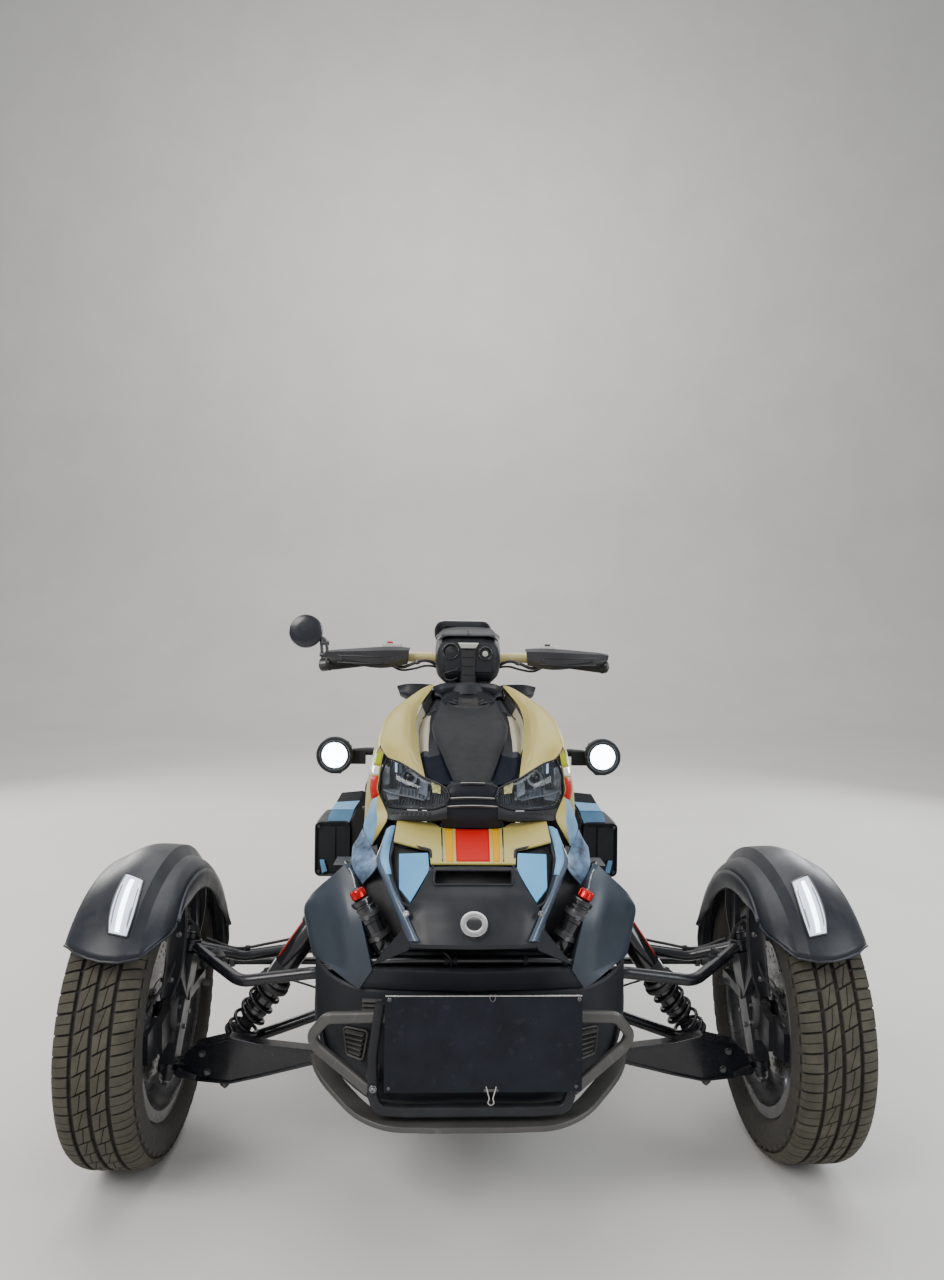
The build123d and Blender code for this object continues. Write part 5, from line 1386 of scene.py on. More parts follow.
out = [L(394, 842, -146), L(430, 850, -178), L(433, 868, -214), L(411, 908, -262), L(402, 903, -246), L(393, 880, -203), L(390, 858, -165)]
loft(g, [[V(p) + V((0, 9, -10)) for p in out], [V(p) + V((0, 40, -40)) for p in out]])
build("nose_pockets", g.both(), M["under"], "chassis", slot="gloss_black")
# framed edge round each scoop
g = Geo()
path = [V(p) + V((0, -1.0, 1.0)) for p in (out[1], out[2], out[3], out[4], out[5], out[6], out[0])]
sweep(g, round_path(path, 5, 4, True), circle(2.6, 8), closed=True)
build("nose_scoop_frames", g.both(), M["matte"], "chassis", slot="matte_black")

# pillars from the headlights down to the dome's lower corners, black with the blue of a painted lamp reflection
PIL = [((396, 826, -112), (390, 826.5, -116), (386, 829, -122), (386, 832, -112)), ((392.5, 842, -142), (387, 842, -146), (382, 843, -146), (383, 846, -128)),
       ((390, 858, -167), (383, 858, -174), (377, 858.5, -172), (379, 862, -150)), ((393.5, 880, -206), (389, 880, -214), (385, 881, -210), (387, 884, -180)),
       ((402.5, 903, -248), (398, 903, -250), (393, 903, -240), (395, 905, -205)), ((411, 924, -280), (407, 923, -278), (401, 922, -264), (403, 924, -225)),
       ((419, 941, -304), (415, 941, -303), (410, 941.5, -297), (411, 944, -255))]
g = Geo()
net(g, [[L(*p) for p in row] for row in PIL], 6, 5, (), (), 0)
# painted reflection: this blue stands in for bluish lamps mirrored in black satin; it is used on the pillar facets, the
# tusk's outer facet and the radiator caps
M["facet"] = finish("blue_facet_painted_reflection", (0.15, 0.36, 0.60), 0.40, metal=0.1, coat=0.3, coat_rough=0.12, grain=(1300, 0.06), patch=(14, 0.25))
M["pillar"] = finish("pillar_painted_reflection", (0.050, 0.075, 0.115), 0.30, coat=0.6, coat_rough=0.12, grain=(1400, 0.05), patch=(10, 0.25))
build("nose_pillars", g.both(), M["pillar"], "chassis", slot="matte_black", solid=4, bevel=1.0, angle=30)
# upper facet of the pillar in the painted blue reflection
g = Geo()  # upper facet of the pillar
put_grid(g, grid_of([[L(395.5, 825, -114.5), L(391, 825.5, -118.5), L(387, 828.5, -123.5)], [L(391.5, 842, -144), L(386, 842, -148.5), L(381.5, 844, -147.5)],
                     [L(389, 857, -169), L(382.6, 858, -176.0), L(377.2, 860, -174)], [L(392, 874, -200), L(388, 874, -206), L(384, 876, -203)]], 4, 4, (), (1,)))
build("pillar_facets", g.both(), M["facet"], "chassis", slot="gloss_black", solid=2.4, bevel=0.8, angle=24)
g = Geo()  # panel between the tusk, the pillar and the shoulder
GU = [[L(362.5, 828, -54), L(367, 838, -68), L(372, 848, -92), L(379.5, 862, -152)], [L(357.5, 838, -58), L(359, 846, -76), L(362, 858, -104), L(371, 874, -152)],
      [L(352.5, 846, -62), L(351.5, 855, -82), L(352, 866, -112), L(362, 884, -152)]]
put_grid(g, grid_of(GU, 5, 5))
# painted reflection: the mottled blue of the gussets stands in for bluish lamps mirrored in black satin
M["facet_low"] = finish("blue_facet_low_painted_reflection", (0.095, 0.165, 0.265), 0.42, metal=0.1, coat=0.3, coat_rough=0.2, grain=(700, 0.35), patch=(42, 0.75), rough_var=0.2)
build("nose_gussets", g.both(), M["facet_low"], "chassis", slot="gloss_black", solid=3, bevel=0.8, angle=30)

# shoulders: the large side panels of the lower body, black with a blue-grey painted lamp sheen
SH = [
    [(349, 862, -120), (344.5, 864.5, -150), (334, 874, -150), (322, 884, -140), (311.5, 894, -118), (311, 897, -70)],
    [(361, 890, -150), (357.6, 888.5, -187), (344, 893, -186), (326, 898, -162), (305.5, 904.5, -122), (306, 908, -70)],
    [(364, 916, -180), (360, 914, -216), (347, 919, -212), (329, 923, -178), (307.5, 925, -130), (308, 927, -70)],
    [(371, 945, -200), (366.5, 944, -232), (353, 948, -228), (334, 946, -195), (311, 941, -142), (311, 943, -70)],
    [(377, 970, -205), (372, 970, -240), (357, 972, -238), (337, 966, -210), (314, 953, -155), (313, 955, -70)],
    [(366, 986, -205), (359, 989, -238), (350, 983, -236), (334, 970.5, -212), (315.5, 957, -157), (314, 958, -70)],
]
g = Geo()
net(g, [[L(*p) for p in row] for row in SH], 6, 6, (4,), (1,), 0)
M["shoulder"] = finish("shoulder_painted_reflection", (0.032, 0.043, 0.057), 0.36, grain=(1500, 0.14), patch=(6, 0.25), rough_var=0.06, dust=0.04)
build("fascia_shoulders", g.both(), M["shoulder"], "chassis", replaces="front_fascia", slot="matte_black", solid=4, bevel=1.4, angle=30)

# band under the mouth, brows beside it
g = Geo()
sec = [(-245, 466), (-252, 462), (-254, 440), (-250, 426), (-238, 420), (-222, 422), (-224, 462)]
rings = []
for x in (-214, -206, -150, 0, 150, 206, 214):
    k = 1 - 0.02 * (abs(x) > 210)
    rings.append([(x, a + 0.00045 * x * x - 8 * 0, 444 + (z - 444) * k) for a, z in sec])
loft(g, rings)
build("fascia_band", g, M["matte"], "chassis", slot="matte_black", bevel=2.5, segments=3)
g = Geo()
brow = [L(371, 966, -246), L(404, 927, -272), L(412, 945, -296), L(408, 951, -285)]
inner = [V(p) + V((0, 12, -4)) for p in brow]
loft(g, [inner, [V(p) for p in brow]])
build("fascia_brows", g.both(), M["panel"], "chassis", slot="matte_black", bevel=2.0, segments=3)

# mouth: back wall with slats, cross tube with its clamps
g = Geo()
front_plate(g, [(-205, 420), (205, 420), (190, 470), (120, 520), (-120, 520), (-190, 470)], -196, 12, 0)
for k in range(5):
    z = 470 + k * 11
    w = 196 - max(0, z - 470) * 1.3
    slab(g, [(-w, -7), (w, -7), (w, 7), (-w, 7)], (0, -200, z), (1, 0, 0), (0, -0.8, -0.6), 2.2, 1)
rod(g, (-196, -226, 474), (196, -226, 474), 5.5, 2, 20)
for x in (-52, -36, 96, 170):
    lathe(g, (x, -226, 474), (1, 0, 0), [(0, 5.6), (0, 9), (8, 9), (8, 5.6)], 3, 22)
    box(g, x, x + 8, -228, -196, 470, 478, 3)
sweep(g, spline([(-60, -224, 486), (-52, -236, 492), (-40, -236, 478), (-44, -230, 458), (-60, -222, 450)], 6), circle(2.4, 8), 5)
build("mouth", g, [M["under"], M["matte"], M["dark_steel"], M["matte"], M["zinc"], M["cable"]], "chassis", replaces="grille", slot="gloss_black", angle=34)

# lower fascia: dark walls beside and below the plate, with louvres
g = Geo()
W = [
    [(0, -232, 426), (150, -232, 426), (205, -226, 426), (262, -198, 436), (300, -150, 452), (306, -70, 456)],
    [(0, -240, 380), (150, -240, 380), (206, -234, 380), (262, -200, 384), (300, -150, 392), (306, -70, 396)],
    [(0, -246, 330), (150, -246, 330), (204, -240, 330), (260, -204, 330), (299, -154, 334), (304, -70, 336)],
    [(0, -254, 270), (150, -254, 270), (196, -246, 270), (248, -206, 272), (284, -160, 280), (292, -70, 286)],
    [(0, -262, 232), (140, -262, 232), (182, -252, 234), (232, -206, 240), (268, -160, 248), (280, -70, 256)],
    [(0, -240, 206), (136, -238, 206), (172, -226, 208), (214, -190, 214), (246, -150, 222), (262, -70, 228)],
    [(0, -150, 146), (120, -150, 146), (150, -146, 150), (190, -130, 170), (222, -110, 190), (240, -60, 200)],
]
net(g, W, 5, 5, (), (), 0)
build("fascia_lower", g.both(), M["matte"], "chassis", slot="matte_black", solid=4, weld=0.3, angle=40)
g = Geo()
for k in range(5):
    z = 346 - k * 9
    p0, p1 = V((196 + k * 1.2, -246, z)), V((232 - k * 2.2, -228, z))
    d = unit(p1 - p0)
    slab(g, [(0, 0), (float(np.linalg.norm(p1 - p0)), 0), (float(np.linalg.norm(p1 - p0)), 3.6), (0, 3.6)], p0, d, (0, -0.35, 0.94), 8, 0)
for k in range(3):
    z = 408 - k * 8
    slab(g, [(0, 0), (36, 0), (36, 3), (0, 3)], (166, -244, z), (1, 0.1, 0), (0, -0.35, 0.94), 8, 0)
frame_path = round_path([(190, -247, 352), (238, -226, 352), (230, -234, 304), (200, -249, 300)], 6, 4, True)
sweep(g, frame_path, circle(2.2, 8), 0, closed=True)
build("fascia_louvres", g.both(), M["bumper"], "chassis", slot="matte_black", bevel=0.6, angle=30)
g = Geo()
lip = [(0, -292, 208), (90, -291, 208), (150, -286, 210), (186, -270, 216), (230, -228, 230), (268, -180, 246), (288, -130, 256)]
sweep(g, spline([(-p[0], p[1], p[2]) for p in reversed(lip[1:])] + lip, 5), [(-26, -4), (-24, -6), (10, -4), (14, 0), (10, 5), (-24, 5), (-26, 3)], 0, up=(0, 0, 1))
build("fascia_lip", g, M["bumper"], "chassis", slot="matte_black", bevel=1.2, angle=30)
# dark inner body that closes the nose from inside
g = Geo()
loft(g, [[(s * x, a, z) for s, x, z in ((1, w, z0), (1, w, z1 - 14), (1, w - 14, z1), (-1, w - 14, z1), (-1, w, z1 - 14), (-1, w, z0))]
         for a, w, z0, z1 in ((-216, 64, 520, 600), (-190, 96, 500, 628), (-150, 150, 470, 650), (-108, 168, 460, 672))])
loft(g, [[(s * x, a, z) for s, x, z in ((1, w, z0), (1, w2, z1), (-1, w2, z1), (-1, w, z0))]
         for a, w, w2, z0, z1 in ((-196, 150, 100, 260, 500), (-150, 250, 200, 230, 590), (-106, 285, 236, 220, 620))])
build("nose_core", g, M["under"], "chassis", slot="matte_black")

# pan under the nose, from the bumper back to the arms
g = Geo()
PAN = [[(0, -266, 207), (110, -264, 208), (180, -250, 226), (236, -230, 262), (276, -200, 300), (288, -186, 340)],
       [(0, -200, 172), (106, -198, 174), (172, -190, 200), (222, -180, 240), (256, -166, 288), (270, -158, 336)],
       [(0, -120, 146), (100, -120, 148), (160, -120, 176), (204, -120, 220), (236, -120, 272), (250, -120, 330)]]
net(g, PAN, 4, 4)
build("nose_pan", g.both(), M["matte"], "chassis", slot="matte_black", solid=3, bevel=0.8, angle=36)

# ---------------------------------------------------------------- bumper and blank plate
g = Geo()
SQ = rounded_rect(18, 18, 4, 3)
U_ = [(166, -284, 420), (178, -291, 330), (177, -296, 262), (168, -297, 236), (120, -298, 233)]
path = round_path([(x, a, z) for x, a, z in U_] + [(-x, a, z) for x, a, z in reversed(U_)], 26, 6)
sweep(g, path, SQ, 2, up=(0, -1, 0.05))
gw = Geo()
wing = round_path([(120, -284, 396), (262, -276, 390), (302, -238, 334), (182, -294, 268)], 22, 7)
sweep(gw, wing, rounded_rect(19, 17, 4, 3), 0, up=(0, -1, 0.1))
box(gw, 140, 172, -282, -236, 388, 400, 0)
loft(gw, [[(x, a, z) for x, z in ((168, 292), (190, 292), (190, 262), (168, 262))] for a in (-288, -240)])
rod(gw, (-120, -283, 396), (120, -283, 396), 8, 0, 18)
for p in ((150, -294, 397), (176, -306, 276)):
    bolt(gw, p, (0, -1, 0), 5, 4, 1, "socket")
g.add(gw.both())
# painted shade: the U bar gets a darker copy of the bumper finish, standing in for shade on its upright and lower bars
M["bumper_painted_shade"] = finish("bumper_painted_shade", (0.016, 0.017, 0.020), 0.44, ior=1.36, grain=(1600, 0.16), patch=(11, 0.2), scratches=0.12, dust=0.06)
build("bumper_bars", g, [M["bumper"], M["zinc"], M["bumper_painted_shade"]], "chassis", replaces="front_bumper", slot="bumper_grey", angle=36)
g = Geo()
slab(g, [(-173 + p[0] + 173, p[1]) for p in rounded_rect(350, 170, 5, 4)], (19, -312, 360), (1, 0, 0), (0, 0.02, 1), 3.0, 0)
slab(g, [(p[0], p[1] * 1.0) for p in rounded_rect(346, 166, 5, 4)], (19, -306, 360), (1, 0, 0), (0, 0.02, 1), 6.0, 1)
sweep(g, round_path([(-155, -314.2, 444.4), (193, -314.2, 444.4)], 1), rounded_rect(2.6, 2.4, 0.8, 2), 2, up=(0, 0, 1))
sweep(g, round_path([(-155.3, -313.6, 275.6), (193.3, -313.6, 275.6)], 1), rounded_rect(1.6, 1.6, 0.5, 2), 3, up=(0, 0, 1))
for x, z in ((-148, 282), (184, 284), (-148, 438), (188, 438)):
    lathe(g, (x, -314.5, z), (0, -1, 0), [(0, 4.2), (1.2, 4.0), (2.2, 2.8), (2.4, 0.01)], 4, 16)
# wire clip at the lower edge and a small hook behind the upper edge
wire = spline([(24, -317.6, 286), (27, -318.2, 275), (29.5, -317.5, 264), (28, -316.5, 256), (33, -316, 252), (38, -316.5, 256), (36.5, -317.5, 264), (39, -318.2, 275), (42, -317.6, 286)], 6)
tube(g, wire, 1.3, 2, 8)
box(g, 20, 46, -318, -304, 276.5, 281.5, 4)
tube(g, spline([(30, -312, 446), (30, -316, 438), (34, -317, 435), (38, -316, 438), (38, -312, 446)], 5), 1.2, 3, 8)
for x in (-60, 94):
    box(g, x - 11, x + 11, -305, -283, 386, 410, 4)
build("plate_blank", g, [M["plate"], M["matte"], M["steel"], M["dark_steel"], M["dark_steel"]], "chassis", replaces="display_plate", slot="plate_dark", angle=36)
# ---------------------------------------------------------------- upper nose: side panels, headlights, lid, cowl, console
M["reflector"] = finish("reflector_dim", (0.20, 0.205, 0.215), 0.58, metal=0.15, grain=(260, 0.25), patch=(30, 0.35), rough_var=0.05)
# painted reflection: a bright warm base and a faint glow make the mirrored cells look lit; they are no lamp
M["warm_ref"] = finish("reflector_painted_warm_reflection", (0.90, 0.78, 0.36), 0.24, metal=0.1, coat=0.5, coat_rough=0.1, grain=(420, 0.15), patch=(60, 0.30))
for n_ in M["warm_ref"].node_tree.nodes:  # the mirrored cells stand bright behind the glass
    if n_.type == "BSDF_PRINCIPLED":
        n_.inputs["Emission Color"].default_value = (1.0, 0.86, 0.48, 1.0)
        n_.inputs["Emission Strength"].default_value = 0.28
M["ring"] = finish("lamp_ring", (0.40, 0.41, 0.43), 0.42, metal=0.25, grain=(900, 0.08), patch=(25, 0.12))
M["clear"] = new_material("clear_cover")[0]
nt_ = M["clear"].node_tree
nt_.nodes.remove(nt_.nodes["Principled BSDF"])
co_ = node(nt_, "TexCoord").outputs["Object"]
tr_ = node(nt_, "BsdfTransparent")
gl_ = node(nt_, "BsdfGlossy")
gl_.inputs["Roughness"].default_value = 0.05
nt_.links.new(ramp(nt_, noise(nt_, co_, 14), [(0.3, (0.80, 0.83, 0.86)), (0.8, (0.88, 0.90, 0.92))]), tr_.inputs[0])
fr_ = node(nt_, "Fresnel")
fr_.inputs[0].default_value = 1.36
bm_ = node(nt_, "Bump")
bm_.inputs["Strength"].default_value = 0.06
nt_.links.new(noise(nt_, co_, 260), bm_.inputs["Height"])
nt_.links.new(bm_.outputs[0], gl_.inputs["Normal"])
mx_ = node(nt_, "MixShader")
nt_.links.new(fr_.outputs[0], mx_.inputs[0])
nt_.links.new(tr_.outputs[0], mx_.inputs[1])
nt_.links.new(gl_.outputs[0], mx_.inputs[2])
nt_.links.new(mx_.outputs[0], nt_.nodes["Material Output"].inputs[0])
M["lid_low"] = finish("lid_low", (0.014, 0.016, 0.021), 0.50, ior=1.26, grain=(1300, 0.10), patch=(11, 0.10), dust=0.03)
M["lid_side"] = finish("lid_side", (0.34, 0.31, 0.215), 0.48, grain=(1300, 0.10), patch=(11, 0.10), dust=0.10)

# cream skin from the lid over the crest and down the side, front to rear
TOP = [
    ([(425, 777, -90), (412, 768.5, -80), (400, 761.5, -68), (388, 757, -54), (380, 746.5, -38)], [L(374.8, 760, -26), L(371.2, 777, -24), L(370, 791, -32), (200, -36, 716)]),
    ([(422, 763, -30), (411, 752, -38), (400, 746, -36), (389, 742, -28), (380, 738, -10)], [(203, -4, 835), (213, -2, 795), (220, -2, 745), (222, 0, 690)]),
    ([(419, 749, 22), (409, 739, 6), (400, 732.5, 10), (391, 728, 20), (384, 726, 35)], [(206, 44, 848), (216, 44, 800), (226, 46, 740), (229, 48, 676)]),
    ([(417, 735, 74), (410, 725.5, 62), (403, 719, 66), (395, 716, 72), (388, 717, 75)], [(203, 84, 862), (217, 86, 810), (229, 86, 740), (233, 86, 654)]),
    ([(416.5, 720, 124), (411.5, 712.5, 118), (406, 708.5, 120), (399, 707.5, 118), (393, 710, 115)], [(198, 124, 874), (216, 126, 820), (231, 126, 744), (237, 126, 648)]),
    ([(420, 706, 180), (416, 702.5, 176), (412, 700.5, 176), (406, 700.5, 168), (400.5, 703.5, 160)], [(190, 170, 884), (213, 172, 826), (230, 172, 748), (238, 172, 648)]),
    ([(428, 694, 246), (424.5, 692, 245), (421, 691.5, 240), (416, 692.5, 232), (411, 697, 222)], [(172, 232, 900), (203, 234, 836), (226, 234, 756), (238, 234, 648)]),
    ([(434, 685.5, 304), (431.5, 685, 302), (429, 685.5, 298), (425, 687, 292), (421, 690, 284)], [(156, 292, 908), (190, 294, 846), (218, 294, 766), (226, 294, 664)]),
]
rows_ = [[L(*p) for p in t_] + s_ for t_, s_ in TOP]
rows_.append([(90, 345, 956), (97, 345, 956), (104, 345, 953), (112, 345, 948), (120, 345, 938), (144, 346, 900), (178, 346, 846), (204, 346, 778), (212, 346, 700)])
rows_.append([(98, 440, 926), (104, 440, 928), (110, 440, 926), (117, 440, 920), (124, 440, 912), (138, 440, 890), (156, 440, 850), (168, 440, 806), (170, 440, 762)])
side_grid = grid_of(rows_, 4, 4, (), (1,))
g = Geo()
put_grid(g, side_grid, 0)
build("side_skin", g.both(), M["cream"], "chassis", replaces="side_panels", slot="cream_paint", solid=4, bevel=1.6, segments=3, angle=30)
g = Geo()
E0 = [L(384, 752, -44), L(381.5, 763, -48), L(379.5, 777, -54), L(378.2, 791, -62), (178, -64, 742)]
E1 = [L(379, 745, -28), L(374.5, 761, -26), L(371.2, 777, -24), L(370, 791, -34), (197, -40, 716)]
e0_, e1_ = spline(E0, 6), spline(E1, 6)
put_grid(g, np.array([e0_ + V((0, 14, 0)), e0_, 0.5 * (e0_ + e1_) + V((1.2, -1.2, 0)), e1_]), 0)
build("side_strip", g.both(), M["cream"], "chassis", slot="cream_paint", solid=3, bevel=1.0, segments=2, angle=30)
# tusk under the strip: cream inner facet, outer facet blue from a painted lamp reflection
T_IN = [L(379, 795, -68), L(384, 806, -92), L(387.5, 816, -106), L(380, 832, -112), L(372, 845, -94)]
T_RIDGE = [L(376.5, 797, -66), L(376.5, 808, -88), L(377, 820, -104), L(375, 833, -108), L(371.5, 845, -93)]
T_OUT = [L(372.5, 799, -48), L(368.5, 810, -50), L(363.5, 828, -56), L(366, 836, -66), L(371, 845, -88)]
T_BACK = [(214, -10, 726), (218, -4, 704), (222, 4, 672), (218, 0, 650), (206, -30, 640)]
g = Geo()
rows_t = [spline(r, 5) for r in (T_IN, T_RIDGE, T_OUT, T_BACK)]
put_grid(g, np.array(rows_t[:2]), 0)
put_grid(g, np.array(rows_t[1:3]), 1)
put_grid(g, np.array(rows_t[2:4]), 0)
build("side_tusk", g.both(), [M["cream"], M["facet"]], "chassis", slot="cream_paint", solid=3, bevel=1.4, segments=3, angle=30)
# stripes beside the headlight
g = Geo()


def strip_point(s, v):
    """Point on the strip beside the headlight: s across from the headlight's edge, v the image row."""
    i0 = (v - 745) / 49.0 * (len(e0_) - 1)
    q0 = np.array([np.interp(i0, np.arange(len(e0_)), e0_[:, c_]) for c_ in range(3)])
    q1 = np.array([np.interp(i0, np.arange(len(e1_)), e1_[:, c_]) for c_ in range(3)])
    return (1 - s) * q0 + s * q1 + V((1.2, -1.2, 0)) * (1 - abs(2 * s - 1)) + unit((0.75, -0.66, 0.1)) * 0.9


for v0, v1, mat in ((749, 759.5, 0), (760.5, 767.5, 1), (768.5, 790, 2)):
    grid = np.array([[strip_point(s, v0 + (v1 - v0) * t) for s in (0.12, 0.4, 0.7, 0.95)] for t in np.linspace(0, 1, 6)])
    put_grid(g, grid, mat)
build("side_stripes", g.both(), [M["lime"], M["white"], M["red"]], "chassis", slot="cream_paint", solid=1.0, angle=60)
# dark slit between the upper skin and the strip, dark band along the side
g = Geo()
tube(g, [L(387, 756.5, -50), L(384.5, 752.5, -44), L(380, 746, -36)], 2.0, 0, 8)
p_ = [V(p) + V((3.2, 0, -2)) for p in spline([(214, 30, 760), (228, 90, 742), (231, 160, 742), (226, 250, 756), (210, 340, 776)], 5)]
sweep(g, p_, rounded_rect(3, 7, 1.2, 2), 1, up=(0, 0, 1))
for a_, z_ in ((70, 700), (300, 720)):
    bolt(g, (232 - (a_ == 300) * 8, a_, z_), (1, 0, 0), 4.2, 3, 2, "socket")
build("side_trim", g.both(), [M["under"], M["matte"], M["dark_steel"]], "chassis", slot="matte_black")

# headlights
H_UP = [L(387, 757.5, -51), L(400, 762.5, -67), L(412, 769.5, -81), L(425, 778, -95), L(438, 783.5, -106), L(446, 788, -112)]
H_MID = [L(380.5, 774, -62), L(394, 778, -86), L(409, 783, -102), L(424, 789, -113), L(438, 795, -121), L(449, 796, -121)]
H_LOW = [L(379.3, 793, -67), L(387, 805, -82), L(401, 808, -100), L(418, 809, -113), L(433, 809, -121), L(446, 805, -124)]
glass = grid_of([H_UP, [0.5 * (V(a_) + V(b_)) + V((0, -1.5, 1)) for a_, b_ in zip(H_UP, H_MID)], H_MID,
                 [0.5 * (V(a_) + V(b_)) + V((0, -1.5, -1)) for a_, b_ in zip(H_MID, H_LOW)], H_LOW], 5, 5)
g = Geo()
put_grid(g, glass, 0)
build("headlight_glass", g.both(), M["clear"], "chassis", replaces="headlights", slot="lamp_glass", solid=2.0, angle=60)
g = Geo()
edge = [V(p) for p in glass[0]] + [V(p) for p in glass[1:-1, -1]] + [V(p) for p in glass[-1][::-1]] + [V(p) for p in glass[1:-1, 0][::-1]]
deep = [max(6.0, min(24.0, -101 - p[1])) if p[0] < 118 else 24.0 if p[0] > 140 else 6.0 + 18.0 * (p[0] - 118) / 22 for p in edge]
back = [p + V((0, d_ * 1.75, -d_ * 0.25)) for p, d_ in zip(edge, deep)]
loft(g, [[p + V((0, 3, 0)) for p in edge], [p + V((0, d_, -0.12 * d_)) for p, d_ in zip(edge, deep)]], 0, caps=False)
cen_ = sum(back) / len(back)
floor_ = [0.72 * (p + V((0, d_ * 1.6, -0.16 * d_))) + 0.28 * cen_ for p, d_ in zip(edge, deep)]
loft(g, [[p + V((0, d_, -0.12 * d_)) for p, d_ in zip(edge, deep)], floor_], 1, caps=False)
g.put(floor_, [tuple(range(len(edge)))], 1)
n_e = len(H_UP) * 5 - 4
for i in range(2, 25):  # ribs down the back of the reflector
    p_top, p_low = V(glass[0][i]) + V((0, 14, -4)), V(glass[-1][i]) + V((0, 16, 5))
    mid_ = 0.5 * (p_top + p_low) + V((0, 10, 0))
    sweep(g, spline([p_top, 0.6 * mid_ + 0.4 * p_top, mid_, 0.6 * mid_ + 0.4 * p_low, p_low], 3), [(-2.0, -1.0), (0, 1.6), (2.0, -1.0)], 1, up=(1, 0.5, 0))
build("headlight_tray", g.both(), [M["bezel"], M["reflector"]], "chassis", slot="gloss_black", fix=False, angle=40)
# projector, reflectors and ribs
g = Geo()
pc = V(L(409, 777.5, -81))
lathe(g, pc + V((0, 24, 0)), (0, -1, 0), [(-8, 6), (0, 13), (14, 15.4), (22, 17.4), (24.5, 16.6), (23.6, 12.2), (18, 10.8), (2, 9), (-6, 4)], 4, 44, closed=True)
lathe(g, pc + V((0, 24, 0)), (0, -1, 0), [(8, 10.9), (15, 10.5), (20, 8.6), (23, 5.2), (24.2, 0.01)], 0, 44)
lathe(g, pc + V((0, 20, 0)), (0, -1, 0), [(20, 17.4), (22.5, 18.0), (23.2, 17.5), (22, 16.8)], 0, 44, closed=True)
for i in range(7):  # ribbed outer reflector
    u0, u1 = 380.4 + 1.35 * i, 381.4 + 1.35 * i
    top_, low_p = 764 + 0.55 * i, 785 - 0.15 * i
    q = [V(L(u0, top_, -44 - 2.6 * i)), V(L(u1, top_, -45 - 2.6 * i)), V(L(u1, low_p, -50 - 2.6 * i)), V(L(u0, low_p, -49 - 2.6 * i))]
    mid = sum(q) / 4 + V((0, -3, 0))
    bk = [p + V((0, 9, 0)) for p in q]
    g.put(q + bk + [mid], [(0, 1, 8), (1, 2, 8), (2, 3, 8), (3, 0, 8), (1, 0, 4, 5), (2, 1, 5, 6), (3, 2, 6, 7), (0, 3, 7, 4)], 4)
band = [V(L(395, 762.5, -60)), V(L(397.2, 763.5, -62)), V(L(397.2, 772.5, -66)), V(L(395, 772, -64))]
loft(g, [[p + V((0, 8, 0)) for p in band], band], 3)
ch = [V(L(431, 781.5, -92)), V(L(441, 785.5, -98)), V(L(440.5, 794, -104)), V(L(432.5, 792.5, -100))]
# the inner corner's cells carry the painted warm reflection
for i in range(3):  # faceted cells of the inner corner
    for j in range(4):
        at = lambda s, t: (ch[0] * (1 - s) + ch[1] * s) * (1 - t) + (ch[3] * (1 - s) + ch[2] * s) * t
        cell = [at((i + a_) / 3, (j + b_) / 4) for a_, b_ in ((0.04, 0.05), (0.96, 0.05), (0.96, 0.95), (0.04, 0.95))]
        mid = sum(cell) / 4 + V((0, 3.6 if (i + j) % 2 else -2.4, 1.0))
        g.put(cell + [mid] + [p + V((0, 9, 0)) for p in cell], [(0, 1, 4), (1, 2, 4), (2, 3, 4), (3, 0, 4), (1, 0, 5, 6), (2, 1, 6, 7), (3, 2, 7, 8), (0, 3, 8, 5)], 2)
for w in ([L(420, 779, -82), L(428, 783, -90), L(427, 797, -102), L(419, 793, -96)], [L(385, 789, -58), L(400, 789, -74), L(399, 799, -82), L(388, 800, -70)]):
    w = [V(p) for p in w]
    c1 = sum(w) / 4 + V((0, 9, 0))
    g.put(w + [c1], [(0, 1, 4), (1, 2, 4), (2, 3, 4), (3, 0, 4)], 4)
for i in range(9):  # ribs of the inner reflector below the projector
    u0 = 398 + 3.6 * i
    q = [V(L(u0, 786.5 + 0.55 * i, -70 - 3.0 * i)), V(L(u0 + 3.0, 787 + 0.55 * i, -72.5 - 3.0 * i)), V(L(u0 + 3.0, 796 + 0.5 * i, -78 - 3.0 * i)), V(L(u0, 795.5 + 0.5 * i, -76 - 3.0 * i))]
    mid = sum(q) / 4 + V((0, 8, 0))
    g.put(q + [mid], [(0, 1, 4), (1, 2, 4), (2, 3, 4), (3, 0, 4)], 4)
for i in range(5):  # small cells beside the band
    u0 = 398.5 + 0.2 * i
    q = [V(L(u0, 763.5 + 1.9 * i, -62)), V(L(u0 + 3, 764.5 + 1.9 * i, -65)), V(L(u0 + 3, 766 + 1.9 * i, -66)), V(L(u0, 765 + 1.9 * i, -63))]
    mid = sum(q) / 4 + V((0, 4, 0))
    g.put(q + [mid], [(0, 1, 4), (1, 2, 4), (2, 3, 4), (3, 0, 4)], 4)
sweep(g, spline([L(384, 790, -62), L(396, 794, -82), L(410, 796.5, -98), L(424, 800, -108)], 6), rounded_rect(5, 3.5, 1.2, 2), 4, up=(0, 0, 1))
build("headlight_optics", g.both(), [M["gloss"], M["mirror_glass"], M["warm_ref"], M["led_soft"], M["ring"]], "chassis", slot="lamp_glass", angle=34)
